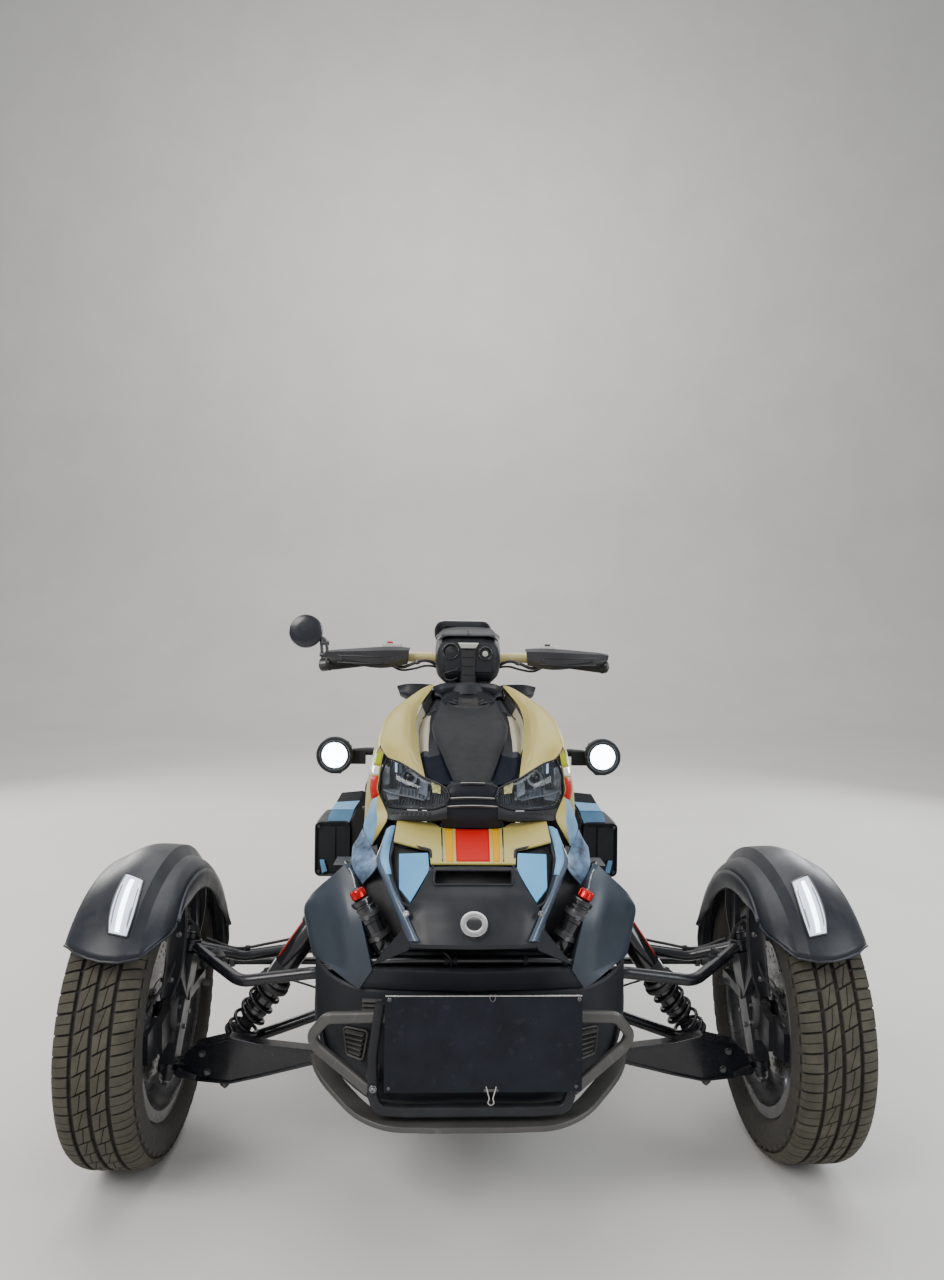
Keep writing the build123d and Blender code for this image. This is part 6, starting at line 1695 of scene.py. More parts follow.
# frame of the glass, bezel below it with small vents
g = Geo()
sweep(g, [p + V((0, -0.4, 0)) for p in edge], circle(1.7, 8), 0, closed=True)
BZ_T = [L(379.5, 796, -70), L(387, 806.5, -84), L(401, 809.5, -102), L(418, 810.5, -115), L(433, 810.5, -123), L(447, 806.5, -126)]
BZ_L = [L(384, 806, -88), L(388.5, 819, -106), L(402, 819.5, -113), L(418, 820, -120), L(433, 820, -126), L(447, 819, -128)]
put_grid(g, grid_of([BZ_T, [0.5 * (V(a_) + V(b_)) + V((0, -3, 0)) for a_, b_ in zip(BZ_T, BZ_L)], BZ_L, [V(p) + V((0, 14, -6)) for p in BZ_L]], 3, 4, (2,)), 1)
for i in range(9):
    u0 = 391.5 + 4.6 * i
    a0_ = np.interp(u0, [388, 402, 418, 432], [-99, -112, -121, -127])
    q = [V(L(u0, 812.5, a0_)), V(L(u0 + 2.6, 812.5, a0_ - 0.8)), V(L(u0 + 2.6, 815, a0_ - 1.4)), V(L(u0, 815, a0_ - 0.6))]
    loft(g, [[p + V((0, 4, 0)) for p in q], q], 2)
build("headlight_bezel", g.both(), [M["matte"], M["matte"], M["under"]], "chassis", slot="gloss_black", solid=0, angle=32)

# black panel between the headlights with its slats
g = Geo()
MK = [[(0, -90, 786), (20, -90, 786), (38, -91, 784), (50, -96, 780)],
      [(0, -108, 786), (20, -108, 785), (40, -108, 782), (54, -110, 776)],
      [(0, -115, 774), (22, -115, 773), (42, -115, 768), (52, -115, 760)],
      [(0, -119, 752), (20, -119, 750), (38, -119, 746), (52, -121, 742)],
      [(0, -120, 726), (20, -120, 725), (40, -120, 722), (58, -121, 718)],
      [(0, -115, 698), (24, -115, 698), (50, -114, 698), (66, -113, 699)],
      [(0, -92, 690), (24, -92, 690), (50, -92, 690), (66, -92, 691)]]
net(g, MK, 5, 5, (1, 5), ())
M["mask"] = finish("mask_paint", (0.006, 0.008, 0.013), 0.42, grain=(1500, 0.06), patch=(12, 0.2), ior=1.35)
build("mask_panel", g.both(), M["mask"], "chassis", replaces="centre_mask", slot="gloss_black", weld=0.3, solid=1.6, angle=30)
g = Geo()
for z_, w_, a_, m_ in ((786, 24, -108.5, 1), (758.5, 44, -119.5, 0), (743, 51, -121.5, 0)):
    half_ = [(w_ * t_, a_ - 1.5 + 0.002 * (w_ * t_) ** 2, z_ - 0.0013 * (w_ * t_) ** 2) for t_ in (-1.0, -0.8, -0.5, 0, 0.5, 0.8, 1.0)]
    sweep(g, spline(half_, 4), rounded_rect(6.5, 5.0, 1.6, 3), 0, up=(0, 0.1, 1))
    sweep(g, [V(p) + V((0, -3.4, 2.2)) for p in spline(half_, 4)], rounded_rect(1.8, 1.6, 0.5, 2), m_ if m_ == 1 else 2, up=(0, 0.1, 1))
build("mask_slats", g, [M["gloss"], M["steel"], M["grey_panel"]], "chassis", slot="gloss_black", angle=34)

# storage lid: raised middle, wedge cheeks and a dished hollow before the steering column
LIDC = [  # a, centre z, x of the middle's edge, x of the cheek's crease, x of the rim, drop at the rim
    (-72, 784, 37, 45, 53, 5), (-62, 790, 40, 60, 79, 8), (-44, 799, 45, 72, 94, 11), (-16, 812, 53, 82, 102, 14), (22, 831, 63, 90, 107, 16), (46, 843, 70, 92, 110, 17),
    (80, 858, 78, 93, 112, 16), (126, 877, 84, 92, 114, 14), (176, 894, 78, 92, 111, 12), (204, 903, 72, 90, 108, 12), (246, 917, 62, 80, 98, 10), (290, 931, 56, 72, 88, 9),
    (326, 940, 52, 66, 80, 8), (344, 945, 50, 62, 76, 7)]
rows_l = []
for a_, z_, x1_, x2_, x3_, dr_ in LIDC:
    lift_ = 5.0 * math.sin(math.pi * min(1, max(0, (a_ + 72) / 300))) ** 1.5
    st_ = 9.0 * min(1.0, max(0.0, (62 - a_) / 50.0))
    rows_l.append([(0, a_, z_ + lift_), (x1_ * 0.45, a_, z_ + lift_ * 0.9 - 0.5), (x1_ * 0.85, a_, z_ + lift_ * 0.45 - 1.5), (x1_, a_ + 1, z_ - 3.0), (x1_ + 2.5, a_ + 1, z_ - 3.5 - st_), (x2_, a_ + 2, z_ - 3.0 - st_ * 0.6 - dr_ * 0.55), (0.5 * (x2_ + x3_), a_ + 2, z_ - 1.5 - st_ * 0.3 - dr_ * 0.62), (x3_, a_ + 2, z_ - 3 - dr_)])
lg = grid_of(rows_l, 4, 6, (), (3, 4, 5))
ncl = lg.shape[1]
for i in range(lg.shape[0]):
    for j in range(ncl):
        x_, a_, z_ = lg[i, j]
        r_ = math.hypot(x_ / 52.0, (a_ - 282) / 44.0)
        if r_ < 1.25:
            lg[i, j, 2] = z_ - 20 * (1 - min(1, max(0, (r_ - 0.8) / 0.45)) ** 1.5)
g = Geo()
nr_, nc_ = lg.shape[:2]
ff, mm = [], []
for i in range(nr_ - 1):
    for j in range(nc_ - 1):
        c_ = (lg[i, j] + lg[i + 1, j + 1]) / 2
        ff.append((i * nc_ + j, i * nc_ + j + 1, (i + 1) * nc_ + j + 1, (i + 1) * nc_ + j))
        hollow = math.hypot(c_[0] / 52.0, (c_[1] - 282) / 44.0) < 1.02
        mm.append(2 if hollow else 1 if (j >= 30 and 50 < c_[1] < 205) else 4 if (j >= 18 and c_[1] < 30) else 3 if j >= 18 else 0)
g.put(lg.reshape(-1, 3), ff, 0)
g.m[-len(mm):] = mm
M["cheek"] = finish("lid_cheek", (0.008, 0.011, 0.019), 0.62, ior=1.12, grain=(1500, 0.05), patch=(12, 0.2))
build("lid_skin", g.both(), [M["lid"], M["lid_side"], M["under"], M["lid_low"], M["cheek"]], "lid", replaces="storage_lid", slot="matte_black", weld=0.3, solid=7, bevel=1.2, segments=3, angle=24)
g = Geo()
for k_ in range(3):  # vent slots in the cheeks' rear ends
    p0, p1 = V(L(421.5 + 2.2 * k_, 709.5 - 3.0 * k_, 196 + 10 * k_)), V(L(430 + 3.5 * k_, 706.5 - 3.0 * k_, 204 + 10 * k_))
    for q in (p0, p1):
        i_, j_ = divmod(int(np.argmin(np.linalg.norm(lg[:, :, :2].reshape(-1, 2) - q[:2], axis=1))), ncl)
        q[2] = lg[i_, j_, 2] + 0.6
    sweep(g, [p0, 0.5 * (p0 + p1) + V((0, 0, 0.5)), p1], rounded_rect(4.2, 2.0, 0.9, 2), 0, up=(0, 0, 1))
build("lid_vents", g.both(), M["under"], "lid", slot="matte_black")
g = Geo()
rod(g, (-48, -66, 764), (48, -66, 764), 9, 0, 26)
for x_ in (-30, 30):
    slab(g, [(x_ - 14, -8), (x_ + 14, -8), (x_ + 14, 14), (x_ - 14, 14)], (0, -66, 768), (1, 0, 0), (0, 0.25, 0.97), 5, 0)
    bolt(g, (x_, -72, 774), (0, -0.9, 0.3), 3.2, 2.4, 1, "socket")
build("lid_hinge_barrel", g, [M["dark_steel"], M["zinc"]], "lid", slot="matte_black")

# column collar and the neck behind the lid
axis_c = unit((0, math.sin(math.radians(25)), math.cos(math.radians(25))))
COL = V((0, 405, 935))
g = Geo()
lathe(g, COL, axis_c, [(-30, 36), (-30, 70), (-8, 71.5), (-1, 71), (2.2, 69), (2.6, 66), (1.6, 62.5), (-3, 61), (-16, 58), (-18, 54), (-18, 37), (-30, 36)], 0, 64)
lathe(g, COL, axis_c, [(-17.4, 36), (-10, 36.5), (-9, 34.8), (-9, 24), (-12, 22)], 1, 40)
build("cowl_collar", g, [M["matte"], M["rubber"]], "chassis", slot="matte_black", bevel=0.8, angle=34)
g = Geo()
NK = []
for a_, xo, zo, xi, zi in ((296, 84, 934, 62, 930), (330, 88, 945, 66, 938), (368, 92, 944, 66, 934), (410, 96, 930, 60, 920), (450, 98, 916, 50, 906), (480, 102, 904, 30, 902)):
    NK.append([(xo, a_, zo), (0.7 * xo + 0.3 * xi, a_, zo + 1), (0.3 * xo + 0.7 * xi, a_, zi + 3), (xi, a_, zi - 4), (xi * 0.4, a_, zi - 16)])
net(g, NK, 4, 4)
build("cowl_neck", g.both(), M["panel"], "chassis", replaces="inner_cowl", slot="matte_black", solid=4, angle=40)
# band round the front of the column, and the dark troughs between lid and cream skin
g = Geo()
BD = [
    [(0, 362, 965), (28, 361, 965), (52, 356, 964), (72, 350, 961), (86, 346, 955)],
    [(0, 349, 963), (28, 347, 963), (52, 342, 962), (74, 333, 960), (88, 318, 956)],
    [(0, 346, 955), (28, 344, 955), (50, 339, 954), (71, 330, 951), (84, 314, 947)],
    [(0, 349, 943), (28, 347, 943), (48, 342, 942), (66, 333, 939), (80, 318, 934)],
    [(0, 362, 932), (28, 360, 932), (46, 354, 930), (64, 344, 926), (80, 330, 918)],
]
net(g, BD, 4, 5, (1, 3), ())
build("cowl_band", g.both(), M["panel"], "chassis", slot="matte_black", solid=3, bevel=0.8, angle=34)
g = Geo()
TR = [[(104, -46, 796), (92, -44, 776), (88, -40, 750)], [(109, -10, 806), (98, -8, 786), (94, -4, 756)], [(114, 40, 828), (104, 40, 806), (96, 40, 772)],
      [(120, 100, 864), (110, 100, 838), (100, 100, 800)], [(122, 160, 888), (112, 160, 864), (100, 160, 824)], [(114, 210, 908), (102, 210, 880), (96, 210, 842)],
      [(104, 260, 928), (92, 262, 900), (92, 264, 856)], [(96, 310, 940), (84, 312, 912), (88, 314, 866)]]
net(g, TR, 4, 4)
for k_, f_ in enumerate(g.f):
    pts_ = [g.v[i_] for i_ in f_]
    if 62 < sum(p_[1] for p_ in pts_) / len(pts_) < 225:
        g.m[k_] = 1
build("cowl_troughs", g.both(), [M["under"], M["lid_side"]], "chassis", slot="matte_black", solid=2, angle=50)
# walls of the cowl below the cream skin
g = Geo()
CW = [
    [(186, -60, 742), (196, -20, 742), (210, 40, 752), (214, 130, 760), (206, 230, 772), (190, 330, 790), (160, 412, 800)],
    [(192, -76, 706), (204, -30, 700), (216, 40, 700), (221, 130, 700), (219, 230, 700), (202, 330, 706), (166, 412, 716)],
    [(192, -84, 668), (206, -30, 660), (220, 40, 656), (224, 130, 652), (221, 230, 650), (198, 330, 652), (160, 412, 660)],
    [(184, -90, 632), (202, -30, 622), (212, 40, 612), (212, 130, 610), (206, 230, 610), (186, 330, 614), (150, 412, 622)],
    [(150, -90, 622), (160, -30, 606), (170, 40, 602), (170, 130, 602), (166, 230, 602), (150, 330, 606), (120, 412, 612)],
]
net(g, CW, 4, 5, (), ())
for k_ in range(4):  # side louvres
    x_, a_, z_ = 224.5 - 0.4 * k_, 96 + 30 * k_, 642
    slab(g, [(-11, -3), (11, -3), (11, 3), (-11, 3)], (x_ - 4, a_, z_), (0, 0.94, 0.34), (0, -0.34, 0.94), 6, 1)
build("cowl_walls", g.both(), [M["panel"], M["matte"]], "chassis", slot="matte_black", solid=3, bevel=0.8, angle=36)

# console between the bars and the seat
CS = []
for a_, pts_ in ((418, [(138, 700), (146, 770), (142, 828), (112, 886), (60, 896), (0, 898)]), (460, [(140, 690), (149, 760), (143, 826), (118, 886), (60, 898), (0, 900)]),
                 (500, [(141, 680), (149, 750), (143, 815), (120, 880), (62, 898), (0, 901)]), (560, [(136, 668), (142, 730), (133, 790), (106, 850), (56, 870), (0, 874)]),
                 (640, [(126, 650), (128, 700), (116, 752), (88, 800), (48, 818), (0, 822)]), (720, [(116, 624), (114, 660), (104, 702), (78, 734), (42, 748), (0, 752)]),
                 (786, [(104, 600), (100, 628), (90, 652), (68, 674), (36, 682), (0, 684)])):
    CS.append([(x_, a_, z_) for x_, z_ in pts_])
g = Geo()
cs_grid = grid_of(CS, 6, 6, (2,), (3,))
put_grid(g, cs_grid, 0)
LOWC = [[(138, a_, z0), (132, a_, z0 - 40), (124, a_, z1)] for a_, z0, z1 in ((418, 700, 622), (500, 680, 606))] + [[(126, 640, 650), (122, 640, 620), (112, 640, 594)], [(104, 786, 600), (100, 786, 592), (92, 786, 584)]]
net(g, LOWC, 6, 4)
build("console_shell", g.both(), M["panel"], "chassis", replaces="console", slot="matte_black", solid=4, bevel=1.2, angle=26, weld=0.3)
g = Geo()
for r_ in (12, 24):  # seams across the console
    sweep(g, [p + V((0, 0, 0.6)) for p in list(cs_grid[r_])] + [V((-p[0], p[1], p[2] + 0.6)) for p in list(cs_grid[r_])[::-1][1:]], rounded_rect(3, 1.8, 0.7, 2), 1)
# filler cap, key switch and a small switch panel
n_t = unit((0, 0.42, 0.90))
lathe(g, (0, 566, 871), n_t, [(-4, 40), (4, 40), (6, 38), (6, 32), (8.5, 30), (10, 27), (10, 20), (8.6, 19)], 2, 48)
lathe(g, (0, 566, 871), n_t, [(8.2, 19.2), (9.4, 18), (9.8, 10), (9.8, 0.01)], 1, 40)
for k_ in range(4):
    t_ = math.radians(45 + 90 * k_)
    p = V((0, 566, 871)) + V((math.cos(t_) * 35, math.sin(t_) * 35 * n_t[2], -math.sin(t_) * 35 * n_t[1])) + n_t * 5
    bolt(g, p, n_t, 2.4, 1.8, 3, "socket")
lathe(g, (58, 486, 899), (0, 0.1, 1), [(-3, 17), (3, 17), (5, 15.5), (5.4, 12), (4, 11), (4, 0.01)], 3, 34)
slab(g, [(-1.6, -6), (1.6, -6), (1.6, 6), (-1.6, 6)], (58, 486, 903), (1, 0, 0), (0, 1, 0), 1.4, 1)
slab(g, rounded_rect(76, 26, 6, 3), (-54, 484, 897), (1, 0, 0.02), (0, 1, -0.1), 5, 1)
for k_ in range(3):
    slab(g, rounded_rect(17, 15, 3, 3), (-78 + 24 * k_, 484, 902), (1, 0, 0.02), (0, 0.98, -0.18), 3.6, 4)
build("console_fittings", g, [M["matte"], M["under"], M["dark_steel"], M["steel"], M["grey_panel"]], "chassis", slot="matte_black", bevel=0.5, angle=34)
# fins beside the console, seen behind the nose
g = Geo()
FIN = [[(90, 462, 872), (92, 470, 952), (94, 540, 944), (94, 566, 866)],
       [(124, 462, 916), (126, 470, 955), (128, 536, 946), (128, 566, 912)],
       [(158, 466, 924), (162, 474, 954), (164, 528, 944), (164, 562, 918)],
       [(180, 474, 930), (186, 484, 948), (188, 520, 940), (182, 556, 924)]]
net(g, FIN, 5, 5, (), (1,), closed_c=True)
g.put([FIN[-1][i] for i in range(4)], [(0, 1, 2, 3)], 0)
build("console_fins", g.both(), M["fender"], "chassis", slot="matte_black", bevel=1.0, angle=40)

# radiator boxes: shroud, core with fins, cap
g = Geo()
ring = rounded_rect(86, 134, 14, 4)
rings = []
for a_, k_, dz in ((252, 0.97, 0), (258, 1.0, 0), (330, 1.0, 0), (400, 0.96, 2), (417, 0.86, 6), (419, 0.78, 6)):
    rings.append([(324 + p[0] * k_, a_, 566 + dz + p[1] * k_) for p in ring])
loft(g, rings[1:], 0)
f0 = [(324 + p[0] * 0.97, 252, 566 + p[1] * 0.97) for p in ring]
f1 = [(324 + p[0] * 0.80, 256, 564 + p[1] * 0.86) for p in ring]
f2 = [(324 + p[0] * 0.78, 270, 564 + p[1] * 0.84) for p in ring]
loft(g, [rings[1], f0, f1, f2], 0, caps=False)
g.put(f2, [tuple(range(len(f2)))], 1)
for k_ in range(12):  # blades of the face, tilted
    z_ = 514 + k_ * 9.2
    slab(g, [(-32, -3.6), (32, -3.6), (32, 3.6), (-32, 3.6)], (324, 263, z_), (1, 0, 0), (0, -0.75, 0.66), 1.4, 2)
loft(g, [[(324 + sx * 7, a_, z_) for sx, a_, z_ in ((-1, 254, z0), (1, 254, z0), (1, 264, z0), (-1, 264, z0))] for z0 in (512, 620)], 0)
# painted reflection: the strip and the cap's faces in the blue facet finish stand in for bluish lamps mirrored in black
q = [L(319.5, 860, 249), L(324, 860, 249), L(327, 871, 249), L(322, 873, 249)]
loft(g, [[V(p) + V((0, 6, 0)) for p in q], [V(p) for p in q]], 3)  # light inner strip
cap_f = [L(328, 821, 258), L(328.5, 816, 258), L(331.5, 810.5, 260), L(354, 810.5, 260), L(352, 816, 258), L(349, 823, 258)]
cap_m = [L(329.5, 820, 274), L(330, 815, 274), L(336, 802.5, 286), L(360, 801, 286), L(354.5, 812, 274), L(350, 821, 274)]
cap_b = [V(p) + V((0, 96, -6)) for p in cap_m]
cap_c = [L(331.5, 810, 264), L(336.5, 802.5, 284), L(342, 793, 300), L(364, 791, 300), L(360, 801, 284), L(354, 810, 264)]
loft(g, [[V(p) for p in cap_f], [V(p) + V((0, 16, 0)) for p in cap_f]], 3)
loft(g, [[V(p) for p in cap_m], cap_b], 0)
g.put([V(p) + V((0, -1.5, 1.5)) for p in (cap_c[0], cap_c[1], cap_c[4], cap_c[5])] + [V(p) + V((0, 6, -6)) for p in (cap_c[0], cap_c[1], cap_c[4], cap_c[5])],
      [(0, 1, 2, 3), (7, 6, 5, 4), (0, 4, 5, 1), (1, 5, 6, 2), (2, 6, 7, 3), (3, 7, 4, 0)], 3)
g.put([V(p) + V((0, -1.5, 1.5)) for p in (cap_c[1], cap_c[2], cap_c[3], cap_c[4])] + [V(p) + V((0, 6, -6)) for p in (cap_c[1], cap_c[2], cap_c[3], cap_c[4])],
      [(0, 1, 2, 3), (7, 6, 5, 4), (0, 4, 5, 1), (1, 5, 6, 2), (2, 6, 7, 3), (3, 7, 4, 0)], 0)
box(g, 200, 292, 292, 398, 533, 599, 0)
sweep(g, spline([(300, 330, 634), (286, 330, 650), (262, 330, 656), (236, 330, 650), (214, 330, 640)], 6), circle(9, 14), 4)
rod(g, (250, 330, 655), (242, 330, 653), 11.5, 5, 20)
for x_, z_ in ((292, 512), (356, 512), (356, 620)):
    bolt(g, (x_, 252, z_), (0, -1, 0), 3.2, 2.4, 5, "socket")
duct = [L(351, 823, 262), L(357, 808, 262), L(364, 792, 262), L(378, 790, 262), L(380, 834, 262), L(352, 862, 262)]
loft(g, [[V(p) for p in duct], [V(p) + V((0, 34, 0)) for p in duct]], 1)
build("radiator_boxes", g.both(), [M["panel"], M["under"], M["fin"], M["facet"], M["rubber"], M["dark_steel"]], "chassis", replaces="radiators", slot="gloss_black", bevel=0.9, segments=2, angle=30)

# round lamps on their arms
g = Geo()
C = V((308, 150, 806))
F_ = V((0, -1, 0))
lathe(g, C, F_, [(-50, 12), (-46, 24), (-34, 33), (-20, 40), (-4, 42), (2, 42), (5, 40.5), (6, 36), (3, 34.5), (-6, 33), (-16, 24)], 0, 56)
for k_ in range(7):  # cooling fins
    z_ = -27 + 9 * k_
    w_ = math.sqrt(max(0.0, 41 ** 2 - z_ * z_))
    slab(g, [(-w_, -14), (w_, -14), (w_ * 0.55, 14), (-w_ * 0.55, 14)], (308, 188, 806 + z_ - 1.2), (1, 0, 0), (0, 1, 0), 2.4, 0)
lathe(g, C, F_, [(-16, 0.01), (-16, 10), (-12, 20), (-6, 27), (-1, 29), (1.5, 28.5)], 1, 48)
lathe(g, C, F_, [(-2, 28.6), (2.4, 28.4), (4, 24), (5, 14), (5.4, 0.01)], 2, 48)
lathe(g, C, F_, [(2, 34), (4.5, 33.2), (5, 30.5), (4, 28.8), (0, 28.4)], 3, 48, closed=True)
for k_ in range(6):
    t_ = math.pi * 2 * k_ / 6
    p = C + V((math.cos(t_) * 37.6, 0, math.sin(t_) * 37.6)) + F_ * 4.6
    bolt(g, p, F_, 2.0, 1.6, 3, "socket")
tube(g, [(270, 186, 808), (240, 190, 810), (196, 190, 810)], 9, 0, 18, bend=20)
slab(g, [(-10, -16), (34, -16), (34, 16), (-10, 16)], (250, 184, 798), (1, 0, 0), (0, 0, 1), 8, 0)
box(g, 296, 320, 172, 204, 760, 770, 0)
bolt(g, (262, 184, 806), (0, -1, 0), 4.4, 3.2, 4, "hex")
build("round_lamps", g.both(), [M["matte"], M["lamp"], M["clear"], M["bezel"], M["zinc"]], "chassis", replaces="side_lamps", slot="led_white", bevel=0.4, angle=32)
# ---------------------------------------------------------------- handlebar, guards, instrument pod, mirror
BAR_ = [(0, 446, 1022), (120, 448, 1028), (230, 458, 1022), (372, 500, 1004)]
half_bar = round_path(BAR_, 60, 8)
bar_path = [V((-p[0], p[1], p[2])) for p in half_bar[::-1]] + [V(p) for p in half_bar[1:]]


def along_bar(d0):
    """Point and direction on the +X half of the bar, d0 mm from the start of its outer leg."""
    p, q = V(BAR_[2]), V(BAR_[3])
    return p + unit(q - p) * d0, unit(q - p)


g = Geo()
sweep(g, bar_path, circle(13, 22))
cl = Geo()
for sx in (1, -1):  # clamps on the riser
    lathe(cl, (sx * 30, 446, 1022.6), (sx, 0, 0.04), [(-22, 13), (-22, 19), (-20.5, 20.5), (20, 20.5), (21.5, 19), (21.5, 13)], 0, 32)
    for a_ in (428, 464):
        bolt(cl, (sx * 30, a_, 1042), (0, 0, 1), 4.2, 4, 1, "socket")
    slab(cl, rounded_rect(42, 50, 6, 3), (sx * 30, 446, 1034), (1, 0, 0), (0, 1, 0), 8, 0)
# the bar is painted cream; its paler, lighter tone than the body's cream is a painted highlight of the light the round
# tube catches
M["bar_cream_painted_highlight"] = finish("bar_cream_painted_highlight", (0.62, 0.53, 0.24), 0.34, coat=0.3, coat_rough=0.1, grain=(1200, 0.05), patch=(12, 0.10), dust=0.04)
build("bar_tube", g, M["bar_cream_painted_highlight"], "bars", replaces="handlebar", slot="cream_paint", angle=50)
RS = [[(26, 418, 962), (30, 424, 962), (30, 462, 962), (26, 468, 962)], [(30, 416, 985), (34, 424, 985), (34, 462, 985), (30, 470, 985)],
      [(30, 418, 1012), (34, 426, 1012), (34, 466, 1012), (30, 472, 1012)], [(28, 420, 1034), (33, 428, 1034), (33, 464, 1034), (28, 470, 1034)]]
loft(cl, [r + [(-p[0], p[1], p[2]) for p in r[::-1]] for r in RS], 0)
rod(cl, COL - axis_c * 60, COL + axis_c * 36, 19, 0, 32)
lathe(cl, COL, axis_c, [(6, 20), (6, 27), (8, 29.5), (26, 29.5), (28, 27), (28, 18)], 0, 40)
build("bar_riser", cl, [M["frame"], M["zinc"]], "bars", slot="matte_black", bevel=1.6, segments=3, angle=34)

# ribbed grips with end weights, switch clusters inboard
g, sw = Geo(), Geo()
p0, d0 = along_bar(14)
L_G = float(np.linalg.norm(V(BAR_[3]) - V(BAR_[2]))) - 14
prof = [(0, 13.2), (0, 20.5), (3, 21.4), (6, 20.6), (8, 17.0)]
t_ = 10.0
while t_ < L_G - 12:
    prof += [(t_, 16.6), (t_ + 0.8, 17.5), (t_ + 3.4, 17.6), (t_ + 4.2, 16.6)]
    t_ += 5.2
prof += [(L_G - 8, 17.2), (L_G - 5, 18.6), (L_G - 1, 18.4), (L_G, 13.2)]
lathe(g, p0, d0, prof, 0, 40)
lathe(sw, p0 + d0 * L_G, d0, [(-1, 13), (-1, 15.5), (2, 17), (6, 17), (9.5, 14.5), (10.5, 10), (8.5, 8.5), (8.5, 0.01)], 1, 36)
pc, dc = along_bar(-26)
u_, v_ = unit(np.cross((0, 0, 1), dc)), None
v_ = np.cross(dc, u_)
for t0, t1, w_, h_ in ((-22, -4, 42, 46), (-4, 24, 46, 52)):
    sweep(sw, [pc + dc * t0, pc + dc * (t0 + 2), pc + dc * (t1 - 2), pc + dc * t1], rounded_rect(w_, h_, 11, 4), 0, up=(0, 0, 1), scale=[0.95, 1, 1, 0.95])
for k_, (t_, z_, m_) in enumerate(((-10, 14, 2), (8, 13, 3), (8, -4, 2))):
    slab(sw, rounded_rect(12, 9, 2.5, 3), pc + dc * t_ + V((0, 21, z_)), dc, (0, -0.15, 1), 4, m_)
build("bar_grips", g.both(), M["rubber"], "bars", replaces="grips", slot="grip_rubber", angle=26)
build("bar_switches", sw.both(), [M["matte"], M["dark_steel"], M["grey_panel"], M["red"]], "bars", slot="matte_black", bevel=0.9, angle=34)

# hand guards: curved shells with a lighter top face
GD = [
    [(150, 432, 1044), (150, 418, 1047), (152, 411, 1040), (154, 411, 1018), (156, 416, 1004), (158, 430, 1004)],
    [(176, 430, 1045), (176, 412, 1048), (176, 404, 1039), (178, 404, 1012), (179, 410, 998), (180, 426, 998)],
    [(214, 430, 1045), (214, 406, 1048), (214, 398, 1038), (214, 398, 1006), (214, 404, 991), (214, 420, 990)],
    [(250, 434, 1043), (250, 406, 1046), (250, 398, 1036), (250, 398, 1004), (249, 404, 988), (249, 420, 987)],
    [(304, 442, 1040), (304, 414, 1042), (304, 407, 1034), (303, 407, 1008), (302, 412, 996), (302, 426, 995)],
    [(352, 452, 1035), (352, 428, 1037), (352, 421, 1031), (350, 421, 1012), (349, 426, 1004), (349, 440, 1004)],
    [(372, 458, 1031), (372, 436, 1033), (372, 429, 1028), (370, 429, 1013), (369, 434, 1007), (369, 446, 1007)],
]
g = Geo()
GD = [[(x_, a_, 1.0 * (row_[0][2] + row_[-1][2]) / 2 + (z_ - (row_[0][2] + row_[-1][2]) / 2) * s_ + l_) for x_, a_, z_ in row_]
      for row_, s_, l_ in zip(GD, (1.0, 1.0, 0.96, 0.90, 0.82, 0.74, 0.70), (4, 5, 6, 8, 9, 10, 10))]
gd = grid_of(GD, 4, 4, (), (1, 2, 3, 4))
nc_ = gd.shape[1]
put_grid(g, gd, 0)
g.m = [1 if (i % (nc_ - 1)) < 4 else 0 for i in range(len(g.m))]
build("guard_shells", g.both(), [M["guard"], M["guard_top"]], "bars", replaces="hand_guards", slot="bumper_grey", solid=3.2, bevel=1.2, segments=3, angle=28)
g = Geo()
for z_ in (1030, 1012):  # ribs pressed into the guard's face
    sweep(g, spline([(186, 402.4, z_ - 1), (216, 397, z_ - 2), (250, 397, z_ - 3), (300, 405.6, z_ - 2), (338, 417, z_ - 1)], 5), rounded_rect(2.4, 2.6, 0.8, 2), 0, up=(0, 0, 1))
for x_, a_ in ((196, 400.5), (328, 413.5)):
    bolt(g, (x_, a_, 1021), (0, -1, 0), 3.4, 2.4, 1, "socket")
rod(g, (184, 414, 1022), (184, 452, 1024), 7, 0, 18)  # stay from the bar to the guard
lathe(g, (184, 452, 1025), (1, 0.09, -0.05), [(-9, 13), (-9, 18), (9, 18), (9, 13)], 0, 28)
rod(g, (366, 440, 1018), (369, 499, 1006), 5, 0, 16)
build("guard_fittings", g.both(), [M["guard"], M["dark_steel"]], "bars", slot="bumper_grey", angle=34)

# fluid cups above the guards
g = Geo()
for s_, u0, m_ in ((1, 392, 3), (-1, 548, 2)):
    c_ = px(u0, 648, 440) if s_ > 0 else px(u0, 651, 440)
    x_, z_ = c_[0], c_[2]
    w_ = 26 if s_ > 0 else 20
    ring_ = lambda k, z: [(x_ + p[0] * k, 440 + p[1] * k, z) for p in rounded_rect(2 * w_, 40, 10, 4)]
    loft(g, [ring_(0.86, 1036), ring_(1.0, z_ - 4), ring_(1.0, z_ + 1)], 0)
    loft(g, [ring_(1.06, z_ + 1), ring_(1.08, z_ + 4), ring_(1.02, z_ + 11), ring_(0.86, z_ + 15)], 1)
    for dx in (-w_ * 0.7, w_ * 0.7):
        bolt(g, (x_ + dx, 440, z_ + 13), (0, 0, 1), 2.4, 2, 4, "socket")
    slab(g, rounded_rect(15, 4, 1.5, 3), (x_ - 4, 424, z_ + 14), (1, 0, 0), (0, 0.5, 0.86), 4, 3 if s_ > 0 else 0)
build("fluid_cups", g, [M["matte"], M["grey_panel"], M["matte"], M["red"], M["dark_steel"]], "bars", slot="matte_black", bevel=0.6, angle=34)

